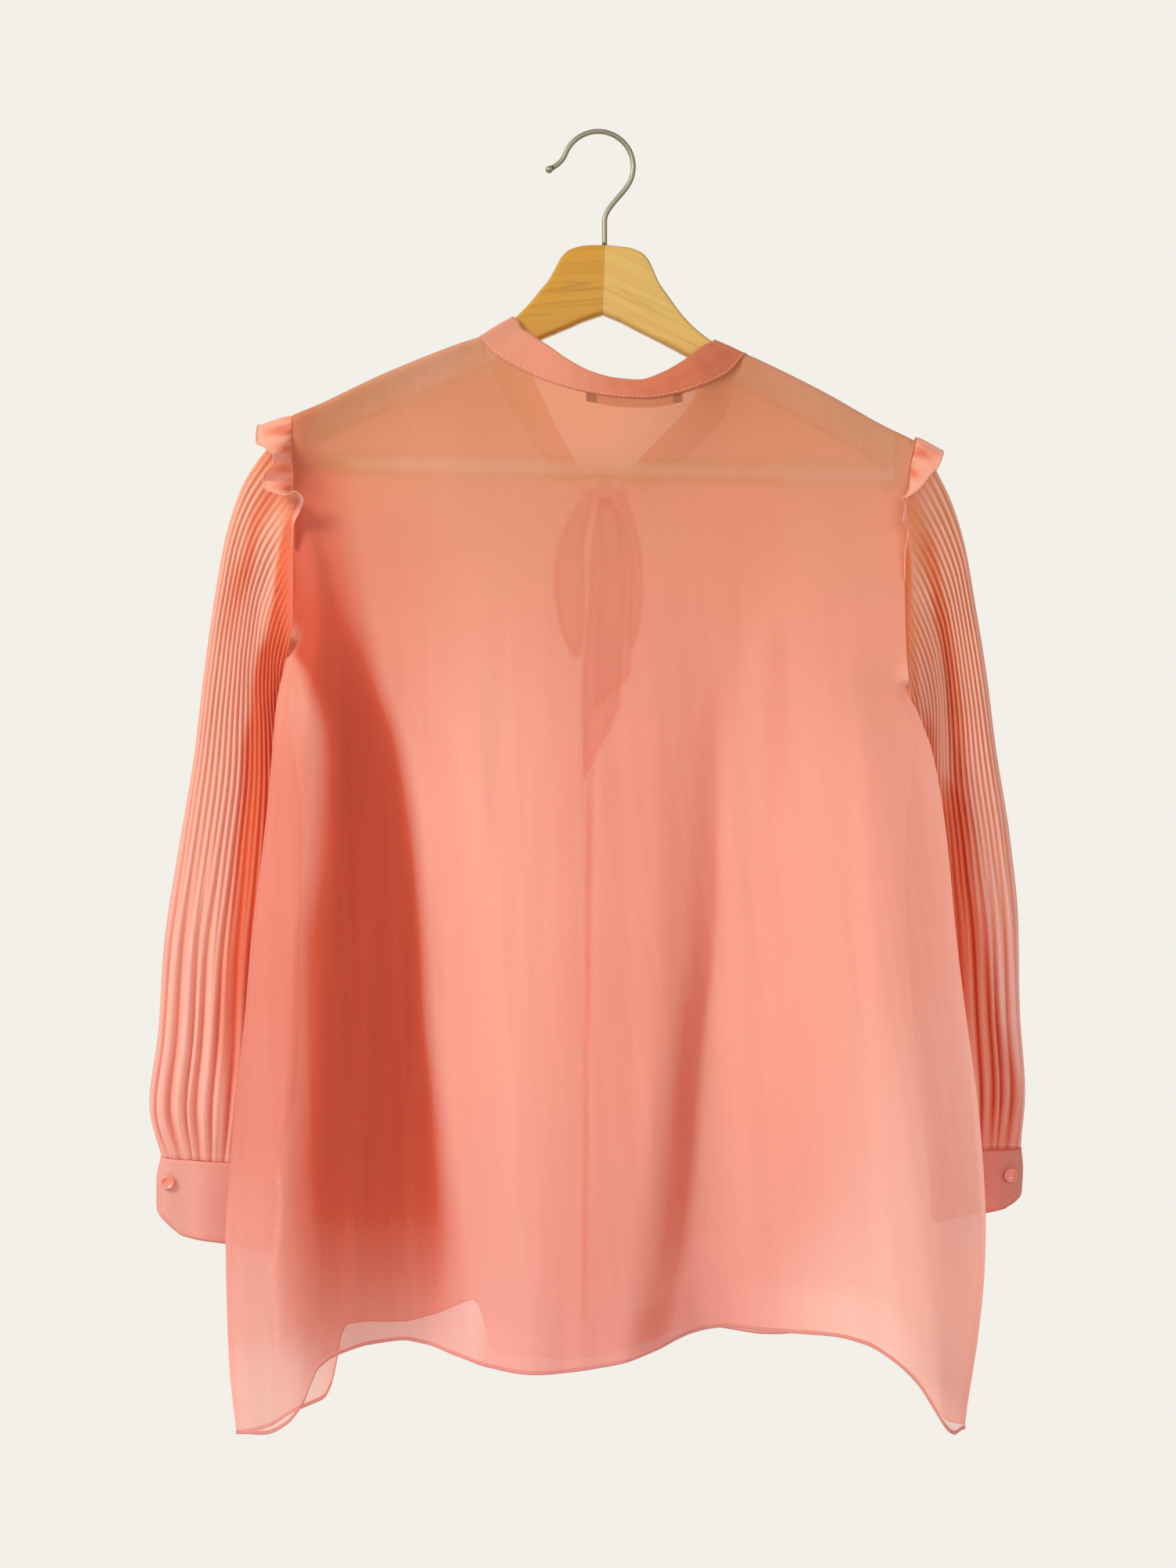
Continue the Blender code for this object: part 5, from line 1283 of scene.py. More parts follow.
    def inset(self, x: Array, z: Array) -> Array:
        """Distance in from the nearer side edge."""
        return np.minimum(x - self.side_x(z, Side.LEFT), self.side_x(z, Side.RIGHT) - x)

    def side_half(self, z: Array, side: Side) -> Array:
        """Half the opening between front and back edges: the armhole above, a seam below.

        Args:
            z: Height.
            side: Which side.

        Returns:
            Half the opening at every height.
        """
        under = self.underarm[0] if side is Side.LEFT else self.underarm[1]
        tip = self.hanger.shoulder_height(self.side_x(self.shoulder_level, side))
        reach = self.hanger.shoulder_round
        open_share = np.where(z > under, rounded((z - under) / reach) * rounded((tip - z) / reach), 0.0)
        return self.seam_half + (reach - self.seam_half) * open_share

    def fold_depth(self, x: Array, z: Array, face: Face) -> Array:
        """Depth of a panel from its fold lines: from line to line it turns by a smooth step.

        Args:
            x: Distance across.
            z: Height.
            face: Which panel.

        Returns:
            Depth at every point.
        """
        folds = (self.back_folds if face is Face.BACK else self.front_folds)[::-1]
        heights = column(folds, 0)
        lines_x, lines_y = [self.side_x(z, Side.LEFT)], []
        lines_y.append(table(self.side_depth, z) + face.sign * self.side_half(z, Side.LEFT))
        for points in zip(*(row[1:] for row in folds)):
            lines_x.append(through(heights, column(points, 0), z))
            lines_y.append(through(heights, column(points, 1), z))
        lines_x.append(self.side_x(z, Side.RIGHT))
        lines_y.append(table(self.side_depth, z) + face.sign * self.side_half(z, Side.RIGHT))
        depth = lines_y[0] + 0.0 * x
        for k in range(len(lines_x) - 1):
            turn = smooth((x - lines_x[k]) / np.maximum(lines_x[k + 1] - lines_x[k], 1.0))
            depth = depth + (lines_y[k + 1] - lines_y[k]) * turn
        return depth

    def panel_top(self, x: Array, face: Face) -> tuple[Array, Array, Array]:
        """Height and depth of a panel's top edge at x, and the depth where the cloth hangs.

        Args:
            x: Distance across.
            face: Which panel.

        Returns:
            Height and depth of the edge, and the depth of the hanging cloth.
        """
        rows = self.neck.rows(face)
        left_end = self.neck.left_x if face is not Face.FRONT_RIGHT else -math.inf
        right_end = self.neck.right_x if face is not Face.FRONT_LEFT else math.inf
        inside = (x > left_end) & (x < right_end)
        shoulder = self.hanger.shoulder_height(x)
        arm = self.hanger.depth_at(x, shoulder)
        depth = table(rows, x, 0, 2)
        hang = arm + face.sign * self.hanger.shoulder_round
        beyond = np.minimum(depth, hang) if face is Face.BACK else np.maximum(depth, hang)
        return (np.where(inside, table(rows, x), shoulder),
                np.where(inside, depth, arm + face.sign * 0.1),
                np.where(inside, beyond, hang))

    def panel_depth(self, x: Array, z: Array, drop: Array, face: Face, edge: Array, hang: Array) -> Array:
        """Depth of a panel point: over the arm at the top, then hanging, then in its folds.

        Args:
            x: Distance across.
            z: Height.
            drop: Distance below the top edge.
            face: Which panel.
            edge: Depth of the top edge.
            hang: Depth where the cloth hangs clear of the arm.

        Returns:
            Depth at every point.
        """
        reach, flat, wrap = self.hanger.shoulder_round, self.hanger.flat, self.hanger.wrap
        round_end = rounded(drop / reach)
        round_arm = (flat * smooth(drop / 0.4) + wrap * rounded(drop / wrap)) / reach
        near = self.inset(x, z)
        turned = round_end + (round_arm - round_end) * smooth(near / self.armhole_run)
        hung = edge + (hang - edge) * turned
        return hung + (self.fold_depth(x, z, face) - hung) * smooth(drop / self.fold_run)

    def edges(self, face: Face) -> tuple[Callable, Callable]:
        """The two lines that bound a panel, as distance across at a height.

        Args:
            face: Which panel.

        Returns:
            Functions of height for the left and the right line.
        """
        def bound(side: Side, inner: Face) -> Callable:
            """Side edge, or for the panel that ends at the centre, a line just beside its seam.

            Args:
                side: Which line of the panel.
                inner: The panel for which this line is the centre seam.

            Returns:
                The line as a function of height.
            """
            if face is inner:
                return lambda z: table(self.centre_front, z) - side.outward * 0.05
            return lambda z: self.side_x(z, side)

        return bound(Side.LEFT, Face.FRONT_RIGHT), bound(Side.RIGHT, Face.FRONT_LEFT)

    def shares(self, face: Face, count: int) -> Array:
        """Shares across of a panel's columns: even ones, and close ones where the neck climbs.

        Args:
            face: Which panel.
            count: Even columns across.

        Returns:
            Rising shares from 0 to 1.
        """
        left, right = self.edges(face)
        wanted = [np.linspace(0.0, 1.0, count)]
        near = np.array(self.corner_steps)
        heights = self.corner_levels
        for use, line, height, way in ((face is not Face.FRONT_RIGHT, self.neck.left_x, heights[0], 1.0),
                                       (face is not Face.FRONT_LEFT, self.neck.right_x, heights[1], -1.0)):
            if use:
                a, b = float(left(height)), float(right(height))
                wanted.append((line + way * near - a) / (b - a))
        return np.unique(np.round(np.concatenate(wanted), 5))

    def panel(self, face: Face, count: int, upper: int, lower: int) -> tuple[Array, Array]:
        """Middle surface of a panel and the drop of each point below its top edge.

        Column by column, x is a fixed share between the two side lines at each height, and
        the rows run from the top edge past the underarm line to the hem. The height of the
        top and the hem settle where a column's own curve meets them.

        Args:
            face: Which panel.
            count: Even columns across.
            upper: Rows above the underarm line.
            lower: Rows below it.

        Returns:
            Points, rows by columns by three, and drops, rows by columns.
        """
        left, right = self.edges(face)
        shares = self.shares(face, count)
        hem_rows = self.back_hem if face is Face.BACK else self.front_hem

        def across(height: Array | float) -> Array:
            """Distance across of each column at a height."""
            return left(height) + shares * (right(height) - left(height))

        def settle(line: Callable, start: float) -> Array:
            """Height where each column meets a line.

            Args:
                line: Height of the line at a distance across.
                start: First guess.

            Returns:
                One height for each column.
            """
            height = np.full(len(shares), start)
            for _ in range(self.settle_rounds):
                height = 0.5 * height + 0.5 * line(across(height))
            return height

        top = settle(lambda x: self.panel_top(x, face)[0], self.corner_levels[0])
        hem = settle(lambda x: table(hem_rows, x), hem_rows[0][1])
        level = -365.0  # between the two underarms
        left_x, right_x = self.side_x(level, Side.LEFT), self.side_x(level, Side.RIGHT)
        way = (across(level) - left_x) / (right_x - left_x)
        under = self.underarm[0] + way * (self.underarm[1] - self.underarm[0])
        start = top - self.top_drops[-1]
        rows = [top - drop for drop in self.top_drops]
        rows += [start + k / upper * (under - start) for k in range(1, upper + 1)]
        rows += [under + k / lower * (hem - under) for k in range(1, lower + 1)]
        z = np.array(rows)
        x = np.array([across(row) for row in rows])
        drop = top[None] - z
        _, edge, hang = self.panel_top(x[0], face)
        y = self.panel_depth(x, z, drop, face, edge[None], hang[None])
        return np.stack([x, y, z], axis=-1), drop

    def armhole(self, side: Side) -> Array:
        """Points of the back panel's edge on one side, top to bottom."""
        points, _ = self.panel(Face.BACK, 25, 24, 8)
        return points[:, 0] if side is Side.LEFT else points[:, -1]

    def back_values(self, points: Array, drop: Array) -> dict[str, Array]:
        """Cover, tone and cool of the back: seams, stacked folds with painted shade, thin stretches, and
        painted light.

        Args:
            points: Grid of the back panel.
            drop: Distance of each point below the top edge.

        Returns:
            Each number by its name, at every point.
        """
        x, z = points[..., 0], points[..., 2]
        side = self.inset(x, z)
        seam = 0.5 * bell(np.maximum(side - 2.0, 0.0) / 1.6)
        # Painted shade in the folds and painted light on the pale stretches.
        shade, pale = streaks(x, z, self.shades), streaks(x, z, self.lights)
        streak = 0.02 * wander(x + 0.06 * z, 5, 34.0, 4) * rise(drop, 60.0, 200.0)
        # The cloth is drawn together at the top, folded at the sides and thin in its low corners.
        upper = rise(z, -520.0, 120.0, 0.15) + rise(z, -400.0, 90.0, 0.22)
        side_fold = rise(np.abs(x + 4.0), 195.0, 35.0, 0.35) * rise(z, -800.0, 90.0)
        thin = rise(x, -180.0, -25.0, 0.35) * rise(z, -690.0, -120.0)
        thin = thin + rise(x, 190.0, 30.0, 0.38) * rise(z, -580.0, -140.0)
        # Front hem behind the back hem, ends of the label, and the knot behind the back.
        hem = table(self.back_hem, x)
        lined = rise(z, hem + 40.0, -20.0, 0.4) * rise(x, -84.0, 10.0) * rise(x, 225.0, -20.0)
        tabs = smooth(3.6 - np.abs(x + 5.5)) + smooth(3.6 - np.abs(x - 53.0))
        seam = seam - 0.75 * tabs * smooth((8.4 - drop) / 1.2) + lined
        seam = seam + 0.5 * bell((x - 4.0) / 15.0) * bell((z + 247.0) / 11.0)
        # Thinner and painted paler where the seams meet under the arm, a painted light over the shade there,
        # and painted light where it lies on the wood.
        under = bell(side / 6.0) * bell((z - np.where(x < 0.0, *self.underarm) - 3.0) / 8.0)
        lit = self.over_wood(x, z)
        tone = shade - pale * np.clip(1.0 - shade, 0.0, 1.0) + streak - 0.15 * lit
        return {"cover": np.clip(self.usual + seam + upper + side_fold - thin - 0.5 * under, 0.0, 1.0),
                "tone": tone - np.where(x < 0.0, 0.9, 0.5) * under + self.behind(x, z),
                "cool": -0.45 * lit}

    def behind(self, x: Array, z: Array) -> Array:
        """Deeper tone where the doubled ribbons and the front's centre seam show through, with painted shade
        along the ribbons' edges.

        Args:
            x: Distance across.
            z: Height.

        Returns:
            What is added to the tone.
        """
        far_x, far_z = (self.parallax * (v - eye) + eye for v, eye in zip((x, z), self.eye))
        seam = 0.2 * bell((far_x - table(self.centre_front, far_z)) / 1.1) * rise(far_z, -452.0, -12.0)
        knot = 0.16 * bell((far_x - 4.6) / 11.0) * bell((far_z + 246.0) / 9.0)
        return knot + 0.45 * self.tie.shadow(far_x, far_z) + seam * rise(far_z, -830.0, 60.0)

    def over_wood(self, x: Array, z: Array) -> Array:
        """Painted light where the back lies on the wood: over the arms and the bar.

        Args:
            x: Distance across.
            z: Height.

        Returns:
            0 clear of the wood, and up to the glow's strength on it.
        """
        across = np.linspace(-205.0, 205.0, 206)
        low = table(self.hanger.outline, np.abs(across), 0, 2)
        arm = smooth((z - np.interp(x, *self.hanger.to_world(across, low))) / 5.0 + 0.5)
        bar = np.interp(x, *self.hanger.to_world(across, self.hanger.bar_drop + 0.014 * across))
        glow = np.maximum(self.wood_glow[0] * arm, self.wood_glow[1] * bell((z - bar) / self.glow_width))
        return glow * rise(np.abs(x - 4.5), 198.0, -5.0)

    def ripple(self, points: Array, drop: Array, face: Face) -> Array:
        """Small soft drape laid over the main folds: long uneven waves that grow downward.

        Args:
            points: Grid of the panel.
            drop: Distance of each point below the top edge.
            face: Which panel.

        Returns:
            What is added to the depth.
        """
        x, z = points[..., 0], points[..., 2]
        side = self.inset(x, z)
        lean = x + 0.05 * (z + 300.0) * np.sign(x)
        (broad, length, octaves), (fine, fine_length, fine_octaves) = self.ripples
        wave = (broad * wander(lean, 11 + int(face.value), length, octaves)
                + fine * wander(lean + 0.1 * z, 3, fine_length, fine_octaves))
        return wave * (rise(drop, 40.0, 380.0) * smooth(side / 25.0))

    def eased(self, points: Array, drop: Array) -> Array:
        """Depths with the steps below the neck corners and at the underarms spread softly.

        Near a neck corner each depth is drawn towards the plane that best fits its bell-weighted
        neighbours; at an underarm towards the mean of those above and below it.

        Args:
            points: Grid of the panel.
            drop: Distance of each point below the top edge.

        Returns:
            Depth at every point.
        """
        x, y, z = points[..., 0], points[..., 1].copy(), points[..., 2]
        rows = int(np.argmax(z.max(axis=1) < self.ease_floor))
        for corner in (self.neck.left_x, self.neck.right_x):
            columns = np.flatnonzero(np.abs(x[0] - corner) < self.ease_reach)
            if not len(columns):
                continue
            part = np.ix_(range(rows), columns)
            px, pz = x[part].ravel() - corner, z[part].ravel() + 200.0
            basis = np.stack([np.ones_like(px), px / 60.0, pz / 60.0], axis=-1)
            area = (np.gradient(x, axis=1) * -np.gradient(z, axis=0))[part].ravel()
            apart = np.subtract.outer(px, px) ** 2 + np.subtract.outer(pz, pz) ** 2
            weight = np.exp(-apart / self.ease_bell ** 2) * area
            moments = (weight @ (basis[:, :, None] * basis[:, None, :]).reshape(-1, 9)).reshape(-1, 3, 3)
            sums = weight @ (basis * y[part].ravel()[:, None])
            plane = np.linalg.solve(moments + 1e-6 * np.eye(3), sums[..., None])[..., 0]
            fitted = np.sum(plane * basis, axis=-1).reshape(rows, -1)
            window = rise(np.abs(x[part] - corner), 58.0, -26.0) * rise(z[part], self.ease_floor, 50.0)
            y[part] += window * rise(drop[part], 0.5, 14.0) * (fitted - y[part])
        rank = np.arange(len(y))
        weight = bell((rank[:, None] - rank[None]) / 7.0)
        along = weight @ y / weight.sum(axis=1)[:, None]
        side = self.inset(x, z)
        under = np.where(x < 0.0, self.underarm[0], self.underarm[1])
        return y + smooth((side - 0.6) / 9.0) * bell((z - under) / 42.0) * (along - y)

    def side_crinkle(self, points: Array) -> Array:
        """Crumpled crease inside the left side seam near the hem: a narrow uneven ridge.

        Args:
            points: Grid of the back panel.

        Returns:
            Height of the ridge as a share.
        """
        x, z = points[..., 0], points[..., 2]
        line = table(self.crease, z)
        window = rise(z, -842.0, 20.0) * rise(z, -698.0, -14.0)
        crumple = 1.0 + 0.5 * wander(z, 21, 13.0, 4)
        width = 1.6 + 1.6 * bell((z + 780.0) / 50.0)
        return window * crumple * bell((x - line - 0.9 * wander(z, 8, 19.0)) / width)

    def build(self, finishes: Wardrobe) -> None:
        """Make and dress the panels with their hems, then the neckband.

        Args:
            finishes: Every material.
        """
        # Name, solid, columns, cut in metres, area in square metres.
        sizes = {
            Face.BACK: ("back", "back_panel", 236, (0.60, 0.72), 0.335),
            Face.FRONT_LEFT: ("front_left", "front_panel_left", 116, (0.31, 0.74), 0.152),
            Face.FRONT_RIGHT: ("front_right", "front_panel_right", 116, (0.32, 0.74), 0.160),
        }
        edges = {}
        for face, (name, node, count, cut, area) in sizes.items():
            points, drop = self.panel(face, count, *self.rows)
            points[..., 1] = self.eased(points, drop) + self.ripple(points, drop, face)
            normal = grid_normals(points) * (1.0 if face is Face.BACK else -1.0)
            values = self.front_values(points, face)
            if face is Face.BACK:
                values = self.back_values(points, drop)
                crinkle = self.side_crinkle(points)
                points[..., 1] -= self.crinkle[0] * crinkle
                # Paler along the crease's ridge: a painted highlight.
                values["tone"] = values["tone"] - self.crinkle[1] * crinkle
                values["cover"] = np.clip(values["cover"] + self.crinkle[2] * crinkle, 0.0, 1.0)
            edges[face] = points[0]
            flap = rise(points[-1, :, 0], math.inf if face is Face.BACK else -170.0, -8.0)
            hem = rolled_edge("hem_" + name, points[-1], unit(points[-3] - points[-1]), normal[-1],
                              width=0.7 + 1.9 * flap, thickness=0.9, cover=0.85,
                              tone=0.0 if face is Face.BACK else -0.1)
            dress(hem, finishes.chiffon)
            panel = surface(name, points, flip=face is not Face.BACK, values=values)
            dress(panel, finishes.chiffon, [node])
            row = points[-1] + unit(points[-3] - points[-1]) * 2.6 + normal[-1] * 0.4
            dress(stitches("hem_stitches_" + name, row, normal[-1], *HEM_STITCH), finishes.thread)
        self.build_neckband(edges, finishes)

    def front_values(self, points: Array, face: Face) -> dict[str, Array]:
        """Cover and tone of a front panel: doubled along the side and centre seams.

        Args:
            points: Grid of the panel.
            face: Which panel.

        Returns:
            Cover and tone at every point.
        """
        x, z = points[..., 0], points[..., 2]
        near = Side.LEFT if face is Face.FRONT_LEFT else Side.RIGHT
        side = near.outward * (self.side_x(z, near) - x)
        centre = np.abs(x - table(self.centre_front, z))
        seam = np.maximum(0.4 * bell(np.maximum(side - 2.0, 0.0) / 1.6),
                          0.5 * bell(np.maximum(centre - 1.5, 0.0) / 0.8))
        corner = rise(x, -175.0, -30.0) * rise(z, -815.0, -40.0)
        return {"cover": self.usual + 0.1 + seam - 0.45 * corner,
                "tone": 0.3 * bell(centre / 1.2) - 0.6 * corner}

    def band_stretch(self, edge: Array, face: Face) -> tuple[Array, Array]:
        """Seam and free edge of the neckband beside one panel's neck edge.

        Args:
            edge: Points of the panel's top edge.
            face: Which panel.

        Returns:
            Points of the band's seam and of its free edge.
        """
        x = edge[:, 0]
        neck = edge[(x > self.neck.left_x - 0.02) & (x < self.neck.right_x + 0.02)]
        rows = self.neck.free_rows(face)
        free = np.stack([table(rows, neck[:, 0], 0, c) for c in (1, 2, 3)], axis=-1)
        return neck - 1.2 * unit(free - neck), free

    def build_neckband(self, edges: Mapping[Face, Array], finishes: Wardrobe) -> None:
        """Doubled strip up one side of the V, round the back neck and down the other side.

        The middle surface runs straight from the seam to the free edge; the two walls stand
        off it along its normals and swell a little between the edges.

        Args:
            edges: Top edge of each panel.
            finishes: Every material.
        """
        left = self.band_stretch(edges[Face.FRONT_LEFT][::-1], Face.FRONT_LEFT)
        back = self.band_stretch(edges[Face.BACK], Face.BACK)
        right = self.band_stretch(edges[Face.FRONT_RIGHT][::-1], Face.FRONT_RIGHT)
        seam, free = (np.concatenate([left[k][:-1], 0.5 * (left[k][-1:] + back[k][:1]), back[k][1:-1],
                                      0.5 * (back[k][-1:] + right[k][:1]), right[k][1:]]) for k in (0, 1))
        steps = np.linspace(0.0, 1.0, 13)
        middle = seam[None] + steps[:, None, None] * (free - seam)[None]
        normal = grid_normals(middle)
        flip = np.sign(np.sum(normal[6, np.argmin(middle[6, :, 1])] * (0.0, -1.0, 0.0)))
        normal = normal * flip
        run = run_along(middle[6])
        pull = 0.25 * wander(run, 31, 26.0, 3)[None] * np.sin(math.pi * steps)[:, None]
        middle = middle + normal * pull[..., None]
        reach = 0.5 * (0.5 + 0.75 * np.sin(math.pi * np.clip(steps, 0.06, 0.94)))[:, None, None] * normal
        near_seam = bell(np.maximum(steps - 0.08, 0.0) / 0.08)[:, None] + 0.0 * run[None]
        # Painted shade: the band deepens and warms towards its right, away from the light, with a shaded line
        # along its middle there; it is also deeper where doubled at the seam.
        across = smooth((middle[..., 0] + 40.0) / 90.0)
        shaded_middle_line = bell((steps[:, None] - 0.5 - 0.12 * wander(run, 9, 60.0)[None]) / 0.16)
        values = {"cover": np.clip(0.92 + 0.08 * near_seam, 0.0, 1.0),
                  "tone": 0.02 + 0.4 * across + 0.1 * near_seam + 0.12 * across * shaded_middle_line,
                  "cool": 0.45 - 0.4 * across}
        outer, inner = (middle + reach, middle - reach) if flip > 0 else (middle - reach, middle + reach)
        band = shell("neckband_strip", outer, inner, values)
        dress(band, finishes.chiffon, ["neckband"])
        on_cloth = middle[1] + normal[1] * 0.6
        dress(stitches("neckband_stitches", on_cloth, normal[1], *BAND_STITCH), finishes.thread)


@dataclass(frozen=True)
class NeckLabel:
    """Blank woven strip inside the back neck, its ends folded under."""

    body: Body
    left: float = -9.0
    right: float = 56.5
    height: float = 6.2
    wall: float = 0.5
    fold: float = 7.0

    def strip(self, left: float, right: float, behind: float, count: int) -> tuple[Array, Array]:
        """Outer and inner grid of a strip inside the back panel, following its curve.

        Args:
            left: Its left end.
            right: Its right end.
            behind: How far it stands off the back panel.
            count: Columns of points.

        Returns:
            The two grids.
        """
        x = np.linspace(left, right, count)
        top, edge, hang = self.body.panel_top(x, Face.BACK)
        drop = 1.0 + np.linspace(0.0, self.height, 9)[:, None]
        z = top[None] - drop
        y = self.body.panel_depth(np.broadcast_to(x, z.shape), z, drop, Face.BACK, edge[None], hang[None])
        middle = join(x, y + behind, z)
        reach = 0.5 * self.wall * grid_normals(middle)
        return middle + reach, middle - reach

    def build(self, finishes: Wardrobe) -> None:
        """Make the strip and its two ends, which are folded under on the side of the cloth.

        Args:
            finishes: Every material.
        """
        ends = [shell("shaded_label_end_" + side, *self.strip(start, start + self.fold, 0.9, 9))
                for side, start in (("left", self.left), ("right", self.right - self.fold))]
        strip = shell("blank_label", *self.strip(self.left, self.right, 1.5, 60))
        dress(strip, finishes.label, ["neck_label"])
        for end in ends:
            # The folded-under ends take the darker copy of the label's finish: painted shade.
            dress(end, finishes.shaded_label_end)


# --- sleeves -----------------------------------------------------------------------------
def stadium(share: Array, half_length: Array, half_width: Array) -> tuple[Array, Array, Array, Array]:
    """Point and normal on a flat loop with round ends, share 0 at its outer end.

    The loop runs by equal lengths: outer end, back face, inner end, front face.

    Args:
        share: Place round the loop, in whole turns.
        half_length: Half its long way.
        half_width: Half its narrow way.

    Returns:
        Place along and across the loop, then the normal's two parts.
    """
    straight = half_length - half_width
    quarter = 0.5 * math.pi * half_width
    run = (share % 1.0) * 4.0 * (quarter + straight)
    angle1 = run / half_width
    on_back = run - quarter
    angle2 = (run - quarter - 2.0 * straight) / half_width
    on_front = run - 3.0 * quarter - 2.0 * straight
    angle3 = (run - 3.0 * quarter - 4.0 * straight) / half_width
    zero = 0.0 * run
    choices = [run < quarter, on_back < 2.0 * straight, angle2 < math.pi, on_front < 2.0 * straight]
    p = np.select(choices, [straight + half_width * np.cos(angle1), straight - on_back,
                            -straight - half_width * np.sin(angle2), -straight + on_front],
                  straight + half_width * np.sin(angle3))
    q = np.select(choices, [-half_width * np.sin(angle1), -half_width + zero,
                            -half_width * np.cos(angle2), half_width + zero], half_width * np.cos(angle3))
    n_p = np.select(choices, [np.cos(angle1), zero, -np.sin(angle2), zero], np.sin(angle3))
    n_q = np.select(choices, [-np.sin(angle1), zero - 1.0, -np.cos(angle2), zero + 1.0], np.cos(angle3))
    return p, q, n_p, n_q


def loops(rings: Array, share: Array, offset: Array | float = 0.0, dent: Array | float = 0.0,
          crease_width: float = 0.22) -> Array:
    """Points on a stack of sleeve or cuff rings, moved out from each loop by an offset.

    Args:
        rings: For each row: outer x and z, inner x and z, depth of the middle, half thickness.
        share: Places round the loop.
        offset: Distance out from the loop.
        dent: Depth of the long crease down the back face.
        crease_width: Width of that crease as a share of half the loop's length.

    Returns:
        Rows by places by three.
    """
    outer_x, outer_z, inner_x, inner_z, depth, half = (rings[:, k][:, None] for k in range(6))
    half_length = 0.5 * np.hypot(outer_x - inner_x, outer_z - inner_z)
    way_x, way_z = (outer_x - inner_x) / (2.0 * half_length), (outer_z - inner_z) / (2.0 * half_length)
    share = np.broadcast_to(share, (len(rings), np.shape(share)[-1]))
    p, q, n_p, n_q = stadium(share, half_length, half)
    crease = dent * np.exp(-(p / (crease_width * half_length)) ** 2) * (q < 0.0)
    p = p + n_p * offset
    q = q + n_q * offset + crease
    return np.stack([0.5 * (outer_x + inner_x) + way_x * p, depth + q, 0.5 * (outer_z + inner_z) + way_z * p],
                    axis=-1)


